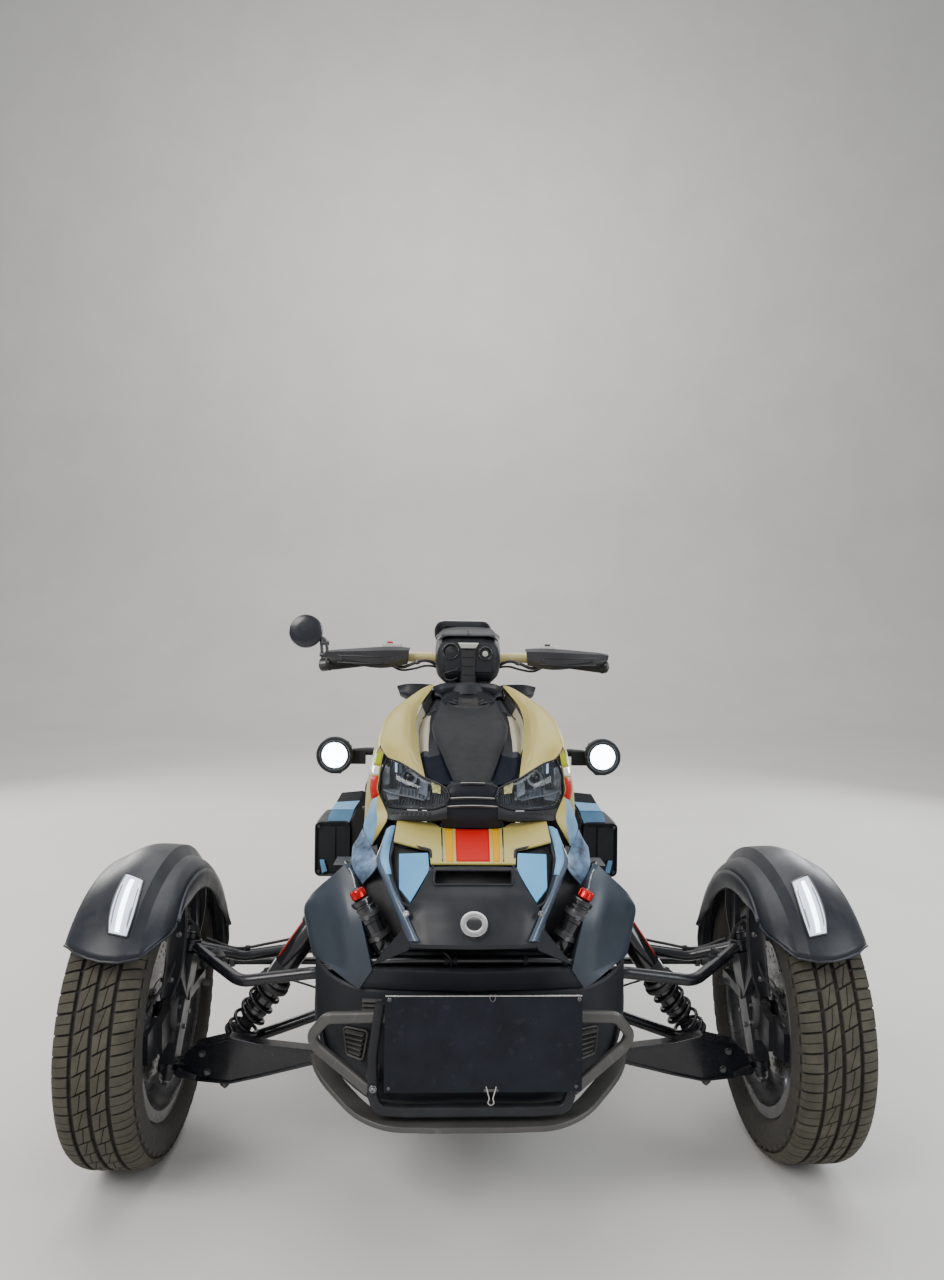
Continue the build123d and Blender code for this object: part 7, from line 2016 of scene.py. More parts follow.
# instrument pod
PD = [
    (364, 58, 990, 1056), (367, 70, 984, 1066), (376, 79, 974, 1076), (400, 83, 962, 1089), (416, 84, 960, 1096), (450, 83, 996, 1103), (490, 78, 1040, 1110), (512, 72, 1056, 1112), (519, 64, 1064, 1109),
]
rows_p = []
for a_, w_, zb, zt in PD:
    h_ = zt - zb
    rows_p.append([(0, a_, zb), (w_ * 0.70, a_, zb + 1), (w_ * 0.93, a_, zb + h_ * 0.16), (w_, a_, zb + h_ * 0.46), (w_ * 0.97, a_, zb + h_ * 0.74), (w_ * 0.80, a_, zt - h_ * 0.07), (w_ * 0.45, a_, zt - 1), (0, a_, zt)])
g = Geo()
pg = grid_of(rows_p, 4, 4, (1, 7), (1, 5))
put_grid(g, pg, 0)
g.put([tuple(p) for p in pg[-1]], [tuple(range(len(pg[-1])))], 0)
build("pod_shell", g.both(), M["matte"], "bars", replaces="gauge_pod", slot="matte_black", weld=0.4, bevel=1.0, angle=26)
g = Geo()
f_ = [(-58, 990), (58, 990), (62, 1010), (60, 1040), (46, 1055), (-46, 1055), (-60, 1040), (-62, 1010)]
slab(g, f_, (0, 366, 0), (1, 0, 0), (0, 0, 1), 4, 0, 2)
for x_, z_, r_, dot in ((-45, 1043, 22, False), (43, 1038, 19, True)):
    lathe(g, (x_, 362, z_), (0, -1, 0), [(-4, r_), (1.5, r_), (3, r_ - 1.6), (3, r_ - 4), (-3, r_ - 6)], 1, 44)
    lathe(g, (x_, 362, z_), (0, -1, 0), [(-2.5, r_ - 6), (-1, r_ - 9), (0.5, 5.5), (1.5, 0.01)], 2, 36)
    if dot:
        lathe(g, (x_, 361, z_), (0, -1, 0), [(0, 7.5), (1.6, 7.2), (2.4, 5), (2.8, 0.01)], 3, 28)
loft(g, [[(x, 361, z) for x, z in ((-27, 1066), (27, 1066), (20, 1051), (-20, 1051))], [(x, 356, z - 1) for x, z in ((-24, 1063), (24, 1063), (18, 1053), (-18, 1053))]], 3)
loft(g, [[(x, 372, z) for x, z in ((-21, 1048), (21, 1048), (21, 956), (-21, 956))], [(x, 358, z) for x, z in ((-18, 1046), (18, 1046), (16, 962), (-16, 962))]], 2)
for z_ in (1030, 1008, 986):
    slab(g, [(-14, -1.6), (14, -1.6), (14, 1.6), (-14, 1.6)], (0, 357, z_), (1, 0, 0), (0, 0, 1), 1.6, 1)
tube(g, spline([(-24, 362, 1004), (-34, 352, 996), (-48, 350, 992), (-60, 356, 986), (-58, 360, 974), (-44, 356, 970), (-28, 360, 976)], 6), 2.2, 4, 10)
build("pod_face", g, [M["matte"], M["gloss"], M["under"], M["grey_panel"], M["cable"]], "bars", slot="matte_black", bevel=0.6, angle=34)
# visor over the face and the tilted display behind it
g = Geo()
VS = [[(0, 366, 1083), (30, 367, 1083), (62, 370, 1081), (76, 376, 1072)], [(0, 370, 1087), (32, 371, 1087), (64, 375, 1085), (79, 384, 1074)],
      [(0, 392, 1094), (34, 393, 1094), (66, 397, 1091), (82, 402, 1078)], [(0, 420, 1100), (34, 420, 1099), (64, 423, 1096), (83, 426, 1084)]]
net(g, VS, 4, 5)
build("pod_visor", g.both(), M["panel"], "bars", slot="matte_black", solid=2.2, angle=40)
g = Geo()
scr = rounded_rect(152, 66, 27, 8)
o_, u_, v_ = V((-12, 508, 1094)), V((1, 0, 0)), unit((0, -0.42, 0.90))
w_ = np.cross(u_, v_)  # away from the rider
ring_s = lambda k, d: [o_ + u_ * (p[0] * k) + v_ * (p[1] * k) - w_ * d for p in scr]
loft(g, [ring_s(0.80, -22), ring_s(0.97, -10), ring_s(1.0, -3), ring_s(1.0, 1.5), ring_s(0.96, 2.4), ring_s(0.94, 1.0)], 0, caps=False)
g.put(ring_s(0.80, -22), [tuple(range(len(scr)))], 0)
g.put(ring_s(0.945, 1.0), [tuple(range(len(scr)))], 1)
sweep(g, ring_s(1.0, -1), circle(1.5, 8), 2, closed=True)
for k_ in range(3):  # bare tick bars on the display
    for i in range(7 - k_ * 2):
        c_ = o_ + u_ * (-42 + 14 * i + 14 * k_) + v_ * (12 - 13 * k_) - w_ * 1.2
        slab(g, [(-5, -1.4), (5, -1.4), (5, 1.4), (-5, 1.4)], c_, u_, v_, -0.7, 3)
M["disp_back"] = finish("display_back", (0.008, 0.009, 0.012), 0.5, ior=1.2, grain=(1400, 0.12), patch=(12, 0.2))
build("pod_display", g, [M["disp_back"], M["display"], M["steel"], M["led_soft"]], "bars", slot="matte_black", angle=34)

# hoses between the switch clusters and the pod
g = Geo()
for sx in (1, -1):
    tube(g, spline([(sx * 196, 440, 1004), (sx * 168, 426, 1000), (sx * 136, 420, 1012), (sx * 108, 418, 1018), (sx * 84, 420, 1008), (sx * 70, 426, 996)], 7), 4.2, 0, 12)
    tube(g, spline([(sx * 206, 446, 1006), (sx * 174, 438, 992), (sx * 140, 432, 996), (sx * 106, 430, 1004), (sx * 82, 432, 1000), (sx * 72, 434, 990)], 7), 3.0, 0, 10)
    rod(g, (sx * 136, 420, 1012), (sx * 126, 419, 1015), 6.0, 1, 16)
build("bar_hoses", g, [M["cable"], M["dark_steel"]], "bars", slot="matte_black")

# round mirror on its double stalk
M["mirror_back"] = finish("mirror_shell", (0.008, 0.010, 0.017), 0.30, coat=0.3, coat_rough=0.1, grain=(1500, 0.05), patch=(12, 0.15))
g = Geo()
mc = V((-432, 490, 1091))
lathe(g, mc, (0, -1, 0.06), [(-12, 41), (-11, 44), (-2, 45), (3, 43), (6, 36), (8, 22), (8.6, 0.01)], 0, 60)
lathe(g, mc, (0, 1, -0.06), [(10.5, 43.5), (12.6, 43), (12.6, 40.5), (10.2, 40)], 0, 60, closed=True)
lathe(g, mc, (0, 1, -0.06), [(10.0, 40.4), (10.8, 30), (11.2, 0.01)], 1, 60)
for dx in (-7, 7):
    tube(g, [(-380 + dx, 503, 1008), (-384 + dx, 500, 1052), (-385 + dx * 0.8, 499, 1068), (-398, 497, 1080), (-424, 492, 1086)], 4.2, 2, 14, bend=14)
lathe(g, (-374, 501, 1003), (-0.94, 0.34, -0.1), [(0, 13), (0, 17), (2, 18), (17, 18), (19, 16), (19, 8), (20, 0.01)], 2, 36)
for z_ in (1028, 1060):
    rod(g, (-371, 502, z_), (-396, 501, z_ + 1), 6.2, 2, 16)
lathe(g, (-420, 493, 1085.5), (-1, -0.1, 0.1), [(-6, 8), (-4, 9.5), (6, 9.5), (10, 6)], 2, 28)
bolt(g, (-383, 502, 1020), (0, -1, 0), 4, 3, 3, "hex")
build("round_mirror", g, [M["mirror_back"], M["mirror_glass"], M["dark_steel"], M["zinc"]], "bars", replaces="mirror", slot="mirror_black", angle=32)
# ---------------------------------------------------------------- seat: padded cover blown up by a short cloth run
def bake(o):
    """Replaces the mesh by its evaluated form and drops the modifiers."""
    dg = bpy.context.evaluated_depsgraph_get()
    me = bpy.data.meshes.new_from_object(o.evaluated_get(dg))
    o.modifiers.clear()
    old = o.data
    o.data = me
    bpy.data.meshes.remove(old)


def coords(o):
    c = np.empty(len(o.data.vertices) * 3)
    o.data.vertices.foreach_get("co", c)
    return c.reshape(-1, 3)


def padded_mesh(name, geo, mat, voxel=6.0, pressure=4.0, cap=10.0):
    me = bpy.data.meshes.new(name)
    me.from_pydata([(x / 1000, YF + a / 1000, z / 1000) for x, a, z in geo.v], [], geo.f)
    me.validate()
    bm = bmesh.new()
    bm.from_mesh(me)
    bmesh.ops.remove_doubles(bm, verts=bm.verts, dist=0.0003)
    bmesh.ops.recalc_face_normals(bm, faces=bm.faces)
    bm.to_mesh(me)
    bm.free()
    o = bpy.data.objects.new(name, me)
    bpy.context.scene.collection.objects.link(o)
    r = o.modifiers.new("voxels", "REMESH")
    r.mode, r.voxel_size = "VOXEL", voxel / 1000
    bake(o)
    scene = bpy.context.scene
    rest = coords(o).copy()
    c = o.modifiers.new("cloth", "CLOTH")
    c.settings.quality = 5
    c.settings.use_pressure = True
    c.settings.uniform_pressure_force = pressure
    c.settings.effector_weights.gravity = 0
    c.point_cache.frame_start, c.point_cache.frame_end = 1, 20
    for f in range(1, 21):
        scene.frame_set(f)
    dg = bpy.context.evaluated_depsgraph_get()
    ev = o.evaluated_get(dg)
    got = np.empty(len(rest) * 3)
    ev.data.vertices.foreach_get("co", got)
    move = got.reshape(-1, 3) - rest
    size = np.linalg.norm(move, axis=1, keepdims=True)
    move *= np.minimum(1.0, cap / 1000 / np.maximum(size, 1e-9))
    o.modifiers.clear()
    scene.frame_set(1)
    o.data.vertices.foreach_set("co", (rest + move).ravel())
    o.data.update()
    s = o.modifiers.new("finer", "SUBSURF")
    s.levels = s.render_levels = 1
    bake(o)
    o.data.materials.clear()
    o.data.materials.append(mat)
    o.data.polygons.foreach_set("use_smooth", [True] * len(o.data.polygons))
    return o


SEAT = [  # a, half width, underside z, edge z, top z in the middle
    (764, 62, 694, 712, 733), (774, 72, 680, 700, 727), (800, 90, 652, 676, 704), (836, 112, 616, 636, 668), (880, 134, 593, 612, 642), (960, 158, 590, 604, 626), (1020, 168, 590, 602, 626),
    (1080, 168, 590, 606, 638), (1120, 165, 590, 612, 656), (1170, 159, 591, 624, 676), (1230, 142, 612, 650, 702), (1272, 124, 636, 672, 717), (1284, 108, 648, 678, 714),
]


def seat_row(a, w, zb, ze, zt):
    return [(0, a, zb), (w * 0.72, a, zb), (w * 0.95, a, zb + 4), (w, a, 0.5 * (zb + ze) + 2), (w * 0.975, a, ze + 6), (w * 0.80, a, ze + (zt - ze) * 0.72), (w * 0.5, a, zt - 2.5), (w * 0.22, a, zt - 0.3), (0, a, zt)]


def seat_at(a):
    t = [np.interp(a, [r[0] for r in SEAT], [r[k] for r in SEAT]) for k in range(1, 5)]
    return t


rows_s = [seat_row(*r) for r in SEAT]
sg = grid_of(rows_s, 4, 4, (), ())
full_s = np.array([list(r) + [(-p[0], p[1], p[2]) for p in r[::-1][1:-1]] for r in sg])
g = Geo()
ns, ks = full_s.shape[:2]
g.put(full_s.reshape(-1, 3), [(i * ks + j, i * ks + (j + 1) % ks, (i + 1) * ks + (j + 1) % ks, (i + 1) * ks + j) for i in range(ns - 1) for j in range(ks)], 0)
g.put(full_s[0], [tuple(range(ks))], 0)
g.put(full_s[-1], [tuple(reversed(range(ks)))], 0)
seat_o = padded_mesh("seat_cover", g, M["seat"], 6.0, 4.0, 9.0)
co_s = coords(seat_o)
nrm_s = np.array([v.normal[:] for v in seat_o.data.vertices])


def seat_seams():
    """Sewn lines as lists of (x, a) in millimetres."""
    lines = [[(x_, 1096 + 0.0016 * x_ * x_) for x_ in np.linspace(-150, 150, 61)]]
    for s_ in (1, -1):
        lines.append([(s_ * (0.60 * seat_at(a_)[0] + 4 * math.sin(a_ / 60)), a_) for a_ in np.linspace(800, 1272, 95)])
    lines.append([(x_, 846 - 0.004 * x_ * x_) for x_ in np.linspace(-62, 62, 26)])
    return lines


SEAMS = [np.array(l_) for l_ in seat_seams()]
plan = np.stack([co_s[:, 0] * 1000, (co_s[:, 1] - YF) * 1000], axis=1)
near = np.full(len(co_s), 1e9)
for l_ in SEAMS:
    for k_ in range(0, len(l_) - 1):
        p0_, p1_ = l_[k_], l_[k_ + 1]
        d_ = p1_ - p0_
        t_ = np.clip(((plan - p0_) @ d_) / float(d_ @ d_), 0, 1)
        near = np.minimum(near, np.linalg.norm(plan - p0_ - t_[:, None] * d_, axis=1))
dip = np.where(nrm_s[:, 2] > 0.25, 3.4 * np.exp(-(near / 5.0) ** 2) - 1.0 * np.exp(-((near - 13) / 8.0) ** 2), 0.0) / 1000
seat_o.data.vertices.foreach_set("co", (co_s - nrm_s * dip[:, None]).ravel())
seat_o.data.update()
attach(seat_o, "chassis")
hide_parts("seat")
# stitches on both sides of each seam
from mathutils.bvhtree import BVHTree
tree = BVHTree.FromPolygons([v.co.copy() for v in seat_o.data.vertices], [tuple(p.vertices) for p in seat_o.data.polygons])


def on_seat(x_, a_):
    hit = tree.ray_cast(Vector((x_ / 1000, YF + a_ / 1000, 0.9)), Vector((0, 0, -1)))
    return None if hit[0] is None else (V((hit[0].x * 1000, (hit[0].y - YF) * 1000, hit[0].z * 1000)), V(hit[1]))


g = Geo()
for l_ in SEAMS:
    seg_ = np.linalg.norm(np.diff(l_, axis=0), axis=1)
    s_ = np.concatenate([[0], np.cumsum(seg_)])
    for side_ in (-1, 1):
        for t_ in np.arange(4, s_[-1] - 4, 8.0):
            c_ = np.array([np.interp(t_, s_, l_[:, k_]) for k_ in (0, 1)])
            n_ = np.array([np.interp(t_ + 1, s_, l_[:, k_]) for k_ in (0, 1)]) - c_
            n_ = n_ / max(np.linalg.norm(n_), 1e-9)
            q_ = c_ + np.array((-n_[1], n_[0])) * side_ * 4.2
            e0, e1 = on_seat(*(q_ - n_ * 2.5)), on_seat(*(q_ + n_ * 2.5))
            if e0 is None or e1 is None or e0[1][2] < 0.3:
                continue
            a0_, a1_ = e0[0] + e0[1] * 0.4, e1[0] + e1[1] * 0.4
            lathe(g, a0_, a1_ - a0_, [(-0.5, 0.3), (0, 0.8), (float(np.linalg.norm(a1_ - a0_)), 0.8), (float(np.linalg.norm(a1_ - a0_)) + 0.5, 0.3)], 0, 6)
build("seat_stitches", g, M["stitch"], "chassis", slot="seat_cover", fix=False)
# piping round the edge, moulded pan below
g = Geo()
edge_s = [(seat_at(a_)[0] * 1.0 + 4.0, a_, 0.5 * (seat_at(a_)[1] + seat_at(a_)[2]) + 1) for a_ in np.linspace(790, 1268, 40)]
back_s = [(x_, 1268 + 22 * (1 - (abs(x_) / 130) ** 2.4), 0.5 * (seat_at(1268)[1] + seat_at(1268)[2]) + 4) for x_ in np.linspace(118, -118, 20)]
sweep(g, [V(p) for p in edge_s] + [V(p) for p in back_s] + [V((-p[0], p[1], p[2])) for p in edge_s[::-1]], circle(2.6, 10))
build("seat_piping", g, M["rubber"], "chassis", slot="seat_cover")
g = Geo()
PAN = [[(0, a_, zb_), (w_ * 0.86, a_, zb_), (w_ * 0.90, a_, zb_ + 12)] for a_, w_, zb_ in ((812, 96, 640), (880, 128, 586), (960, 150, 584), (1100, 158, 584), (1190, 148, 586), (1270, 112, 628))]
net(g, PAN, 4, 4)
build("seat_pan", g.both(), M["matte"], "chassis", slot="seat_cover", solid=4, angle=40)

# ---------------------------------------------------------------- rear fender, tail lamp, plate carrier
def arc_point(x_, r_, deg):
    t_ = math.radians(deg)
    return V((x_, RA + r_ * math.cos(t_), RZ + r_ * math.sin(t_)))


RF = [(0, 338), (42, 337.5), (78, 334.5), (98, 328), (111, 317), (116, 304), (117, 298)]
g = Geo()
rows_f = []
for deg in (24, 26, 34, 48, 66, 84, 100, 112, 115.5):
    e_ = 1.0 if 24 < deg < 115 else 0.985
    rows_f.append([tuple(arc_point(x_ * e_, 300 + (r_ - 300) * (1 if e_ == 1 else 0.8), deg)) for x_, r_ in RF])
net(g, rows_f, 5, 4, (1, 7), (), 0)
build("tail_fender", g.both(), M["fender"], "chassis", replaces="rear_fender", slot="matte_black", solid=4, bevel=1.4, segments=3, angle=36)
g = Geo()
for x_ in (0,):
    sweep(g, [arc_point(0, 339.2, d_) for d_ in range(30, 112, 4)], rounded_rect(26, 4, 1.8, 3), 0, up=(1, 0, 0))
for s_ in (1, -1):
    for d_ in (40, 92):
        bolt(g, arc_point(s_ * 104, 323, d_), (s_ * 0.7, 0.7 * math.cos(math.radians(d_)), 0.7 * math.sin(math.radians(d_))), 4.2, 3, 1, "socket")
# stay from the drive case to the fender on the +X side
ST = [(RA - 92, 332), (RA - 60, 320), (RA + 34, 332), (RA + 52, 420), (RA + 60, 592), (RA + 20, 606), (RA - 60, 610), (RA - 106, 598), (RA - 96, 470)]
side_plate(g, ST, 119, 5, 2, 1.5)
HOLE = [(RA - 62, 400), (RA + 20, 400), (RA + 34, 500), (RA - 10, 530), (RA - 66, 510)]
side_plate(g, HOLE, 123.5, 1.6, 3, 0.5)
for a_, z_ in ((RA - 72, 348), (RA + 18, 350), (RA - 78, 586), (RA + 36, 580)):
    bolt(g, (124, a_, z_), (1, 0, 0), 5.2, 4, 1, "hex")
build("tail_fender_stay", g, [M["matte"], M["dark_steel"], M["frame"], M["under"]], "chassis", slot="matte_black", bevel=1.0, angle=34)
g = Geo()
TL = [[(x_ * k_, a_, z_) for a_, z_ in ((1980, 474), (2002, 524), (2014, 514), (2024, 496), (2028, 478), (2006, 458))] for x_, k_ in ((-92, 1), (-88, 1), (88, 1), (92, 1))]
core = [[(p[0], 2000 + (p[1] - 2000) * f_, 488 + (p[2] - 488) * f_) for p in ring] for ring, f_ in zip(TL, (0.9, 1.0, 1.0, 0.9))]
loft(g, core, 0)
for k_ in range(9):  # lens ribs
    x_ = -72 + 18 * k_
    loft(g, [[(x_ + s_ * w_, a_ + 1.2, z_) for s_, w_ in ((-1, 3.2), (1, 3.2))] + [(x_ + s_ * w_, a_ + 3.4, z_ + 0.4) for s_, w_ in ((1, 1.6), (-1, 1.6))] for a_, z_ in ((2012, 514), (2023, 496), (2027, 480))], 1)
slab(g, rounded_rect(172, 40, 8, 4), (0, 2016, 506), (1, 0, 0), (0, 0.55, -0.83), 1.4, 1)
build("tail_lamp_body", g, [M["matte"], M["red_lens"]], "chassis", replaces="tail_lamp", slot="red_lens", bevel=0.8, angle=30)
g = Geo()
slab(g, rounded_rect(174, 134, 6, 4), (0, 2027, 390), (1, 0, 0), (0, 0.06, 1), 4, 0)
slab(g, [(-26, 0), (26, 0), (18, 24), (-18, 24)], (0, 2024, 452), (1, 0, 0), (0, -0.3, 0.95), 8, 0)
slab(g, rounded_rect(44, 14, 4, 3), (0, 2030, 462), (1, 0, 0), (0, 0.5, 0.86), 8, 0)
slab(g, rounded_rect(34, 8, 2, 3), (0, 2029, 457), (1, 0, 0), (0, 0.9, 0.4), 2, 1)
for x_ in (-62, 62):
    rod(g, (x_, 2030, 424), (x_, 2022, 424), 5, 2, 18)
for sx in (1, -1):
    rod(g, (sx * 50, 2018, 470), (sx * 50, 1996, 480), 6, 0, 16)
    lathe(g, (sx * 76, 2027, 440), (0, 1, 0), [(-2, 11), (2, 11), (4, 9), (4.6, 0.01)], 3, 28)
build("tail_plate_carrier", g, [M["matte"], M["led_soft"], M["zinc"], M["amber"]], "chassis", slot="matte_black", bevel=0.8, angle=34)

# ---------------------------------------------------------------- rear shock and arm fittings
g = Geo()
lo_, to_ = V((0, 1168, 374)), V((0, 1066, 512))
rd = unit(to_ - lo_)
ln = float(np.linalg.norm(to_ - lo_))
lathe(g, (-22, 1165.6, 377), (1, 0, 0), [(0, 8), (0, 14), (2, 15), (42, 15), (44, 14), (44, 8)], 0, 30)
lathe(g, (-22, 1066, 508), (1, 0, 0), [(0, 8), (0, 13), (2, 14), (42, 14), (44, 13), (44, 8)], 0, 30)
lathe(g, lo_, rd, [(8, 10), (30, 10), (30, 26), (32, 30), (38, 31), (40, 28), (40, 11), (96, 9)], 0, 34)
lathe(g, lo_, rd, [(70, 15), (74, 18), (140, 18), (144, 30), (150, 31), (ln - 16, 30), (ln - 10, 24), (ln - 8, 14)], 1, 34)
sweep(g, helix(lo_ + rd * 42, lo_ + rd * 140, 24.5, 5.2, 22), circle(4.6, 12), 2)
rod(g, (-30, 1165.6, 377), (30, 1165.6, 377), 6.5, 3, 6)
rod(g, (-30, 1066, 508), (30, 1066, 508), 6.5, 3, 6)
build("rear_shock_unit", g, [M["dark_steel"], M["matte"], M["frame"], M["zinc"]], "chassis", replaces="rear_shock", slot="shock_metal", angle=36)
g = Geo()
lathe(g, (174, RA, RZ), (1, 0, 0), [(-6, 80), (0, 80), (3, 76), (5, 60), (5, 46), (9, 43), (12, 34), (12, 22)], 0, 64)
lathe(g, (186, RA, RZ), (1, 0, 0), [(-2, 21), (0, 21), (9, 20.5), (10, 18)], 1, 6)
lathe(g, (186, RA, RZ), (1, 0, 0), [(8, 9), (13, 9), (14, 7.5)], 1, 24)
for k_ in range(7):
    t_ = 2 * math.pi * k_ / 7 + 0.2
    bolt(g, (179, RA + 62 * math.cos(t_), RZ + 62 * math.sin(t_)), (1, 0, 0), 4.0, 3.4, 1, "socket")
ARM_SIDE = [(1030, 286), (1170, 292), (1320, 286), (1330, 330), (1180, 352), (1030, 348)]
side_plate(g, [(a_, z_) for a_, z_ in ((1400, 276), (1600, 268), (1612, 300), (1600, 330), (1400, 330), (1388, 304))], 169, 4, 2, 2)
for a_, z_, x_ in ((1040, 316, 124), (1190, 316, 150)):
    lathe(g, (x_ - 8, a_, z_), (1, 0, 0), [(-2, 24), (2, 24), (5, 21), (5, 12)], 2, 34)
    bolt(g, (x_ - 4, a_, z_), (1, 0, 0), 10, 6, 1, "hex")
tube(g, spline([(176, 1640, 344), (178, 1500, 356), (170, 1380, 362), (150, 1240, 384), (120, 1100, 392), (90, 1010, 400)], 6), 5, 3, 12)
for a_, x_, z_ in ((1500, 178, 352), (1240, 150, 380)):
    box(g, x_ - 9, x_ + 5, a_ - 6, a_ + 6, z_ - 8, z_ + 9, 2)
build("rear_arm_fittings", g, [M["alloy_dark"], M["zinc"], M["matte"], M["cable"]], "chassis", slot="frame_paint", bevel=0.8, angle=32)

# ---------------------------------------------------------------- silencer
g = Geo()
tube(g, [(-140, 540, 272), (-164, 590, 250), (-186, 640, 234), (-196, 760, 228), (-200, 862, 232)], 22, 0, 28, bend=60, steps=8)
for p_, d_ in (((-190, 668, 231), (-0.06, 1, -0.04)), ((-199, 842, 231), (-0.04, 1, 0))):
    lathe(g, p_, d_, [(-12, 22), (-12, 26), (-10, 27), (10, 27), (12, 26), (12, 22)], 1, 36)
    bolt(g, V(p_) + V((-27, 0, 6)), (-1, 0, 0), 4, 4, 3, "hex")
CAN = rounded_rect(104, 136, 36, 7)
prof_c = ((852, 0.52, -6), (862, 0.66, -4), (884, 0.90, -1), (900, 0.97, 0), (906, 1.0, 0), (912, 0.985, 0), (1206, 0.985, 0), (1212, 1.0, 0), (1220, 0.99, 0), (1248, 0.94, 1), (1262, 0.82, 3), (1268, 0.70, 5), (1270, 0.5, 8))
loft(g, [[(-202 + p[0] * k_, a_, 250 + dz_ + p[1] * k_) for p in CAN] for a_, k_, dz_ in prof_c], 0)
for a_ in (930, 1190):  # bands round the can
    loft(g, [[(-202 + p[0] * k_, a_ + d_, 250 + p[1] * k_) for p in CAN] for d_, k_ in ((-9, 0.985), (-8, 1.012), (8, 1.012), (9, 0.985))], 1)
# shield with slots along the outer side
SHD = [[(-250.0, a_, 296), (-254.6, a_, 276), (-255.2, a_, 250), (-254.6, a_, 224), (-250.0, a_, 204)] for a_ in (946, 956, 1060, 1160, 1172)]
gs_ = Geo()
net(gs_, SHD, 4, 4)
build("silencer_shield", gs_, M["heat"], "chassis", slot="exhaust_steel", solid=1.4, angle=40)
for k_ in range(6):
    slab(g, rounded_rect(26, 5, 2.4, 4), (-257.2, 976 + 34 * k_, 250), (0, 1, 0), (0, 0.0, 1), -1.6, 2)
lathe(g, (-202, 1250, 262), (0, 1, 0), [(0, 30), (4, 30), (44, 29.6), (49, 29), (49, 25.6), (6, 25), (4, 0.01)], 4, 48)
lathe(g, (-202, 1262, 262), (0, 1, 0), [(0, 30), (0, 33), (8, 33), (8, 30)], 1, 40)
box(g, -152, -92, 982, 1004, 236, 264, 1)
slab(g, [(-24, -20), (22, -14), (22, 14), (-24, 20)], (-170, 984, 250), (1, 0, 0), (0, 0, 1), -16, 1)
bolt(g, (-130, 993, 264), (0, 0, 1), 6, 5, 3, "hex")
build("silencer", g, [M["exhaust"], M["dark_steel"], M["under"], M["zinc"], M["exhaust"]], "chassis", replaces="muffler", slot="exhaust_steel", angle=34)

# ---------------------------------------------------------------- engine: case, finned cylinders, covers, intake
g = Geo()
CASE = [[(s_ * x_, a_, z_) for s_, x_, z_ in ((1, x0, 204), (1, x1, 222), (1, x1, zt - 16), (1, x0, zt), (-1, x0, zt), (-1, x1, zt - 16), (-1, x1, 222), (-1, x0, 204))]
        for a_, x0, x1, zt in ((300, 90, 112, 340), (330, 112, 134, 362), (520, 118, 142, 372), (700, 118, 144, 366), (846, 104, 132, 340), (880, 80, 110, 320))]
loft(g, CASE, 0)
for s_ in (1, -1):  # round side covers
    for a_, z_, r_, h_ in ((448, 296, 68, 8), (640, 290, 74, 7), (780, 280, 46, 7)):
        lathe(g, (s_ * 140, a_, z_), (s_, 0, 0), [(-8, r_), (0, r_), (h_ - 3, r_ - 2), (h_, r_ - 6), (h_, r_ * 0.55), (h_ - 3, r_ * 0.5), (h_ - 3, r_ * 0.2), (h_ + 1, r_ * 0.14), (h_ + 1, 0.01)], 1, 56)
        for k_ in range(8):
            t_ = 2 * math.pi * k_ / 8 + 0.3
            bolt(g, (s_ * (139 + h_ * 0.4), a_ + (r_ - 4) * math.cos(t_), z_ + (r_ - 4) * math.sin(t_)), (s_, 0, 0), 2.8, h_ * 0.5, 2, "socket")
build("engine_case", g, [M["alloy_dark"], M["alloy"], M["zinc"]], "chassis", replaces="engine_block", slot="engine_metal", bevel=2.0, segments=2, angle=34)
g = Geo()
for a_, lean in ((372, -0.14),):  # two cylinders side by side
    for x_ in (-62, 62):
        for k_ in range(13):
            z_ = 356 + 10.4 * k_
            w_, d_ = 106 - (k_ > 9) * 8, 128 - (k_ > 9) * 12
            ring_ = rounded_rect(w_, d_, 14, 4)
            loft(g, [[(x_ + p[0] * f_, a_ + lean * (z_ - 356) + p[1] * f_, z_ + dz_) for p in ring_] for f_, dz_ in ((0.97, 0), (1, 0.8), (1, 2.8), (0.97, 3.6))], 0)
        loft(g, [[(x_ + p[0], a_ + lean * dz_ + p[1], 350 + dz_) for p in rounded_rect(88, 106, 16, 4)] for dz_ in (0, 140)], 1)
        ring_ = rounded_rect(96, 112, 16, 4)
        loft(g, [[(x_ + p[0] * f_, a_ + lean * 130 + p[1] * f_, z_) for p in ring_] for f_, z_ in ((1, 488), (1, 500), (0.93, 508), (0.80, 511))], 1)
        for px_, pa_ in ((-34, -40), (34, -40), (-34, 40), (34, 40)):
            bolt(g, (x_ + px_, a_ - 18 + pa_, 506), (0, 0, 1), 3.4, 4, 2, "hex")
build("engine_cylinders", g, [M["fin"], M["alloy_dark"], M["zinc"]], "chassis", slot="engine_metal", bevel=0.0, angle=36)
g = Geo()
for sx in (1, -1):  # intake runners, throttle bodies and exhaust headers
    tube(g, [(sx * 60, 440, 470), (sx * 60, 500, 478), (sx * 60, 560, 470)], 22, 0, 26, bend=30)
    lathe(g, (sx * 60, 492, 477), (0, 1, 0), [(-12, 23), (-12, 28), (12, 28), (12, 23)], 1, 32)
    lathe(g, (sx * 60, 530, 475), (0, 1, -0.1), [(-9, 22), (-9, 25), (9, 25), (9, 22)], 1, 32)
    tube(g, [(sx * 62, 300, 420), (sx * 66, 262, 404), (sx * 92, 240, 330), (sx * 124 if sx > 0 else -136, 262, 238), (-110 if sx < 0 else 60, 400, 214)], 17, 3, 24, bend=46, steps=8)
AB = [[(x_, a_, z_) for x_, z_ in ((-122, 404), (-132, 430), (-128, 496), (-108, 508), (108, 508), (128, 496), (132, 430), (122, 404))] for a_ in (552, 566, 740, 756)]
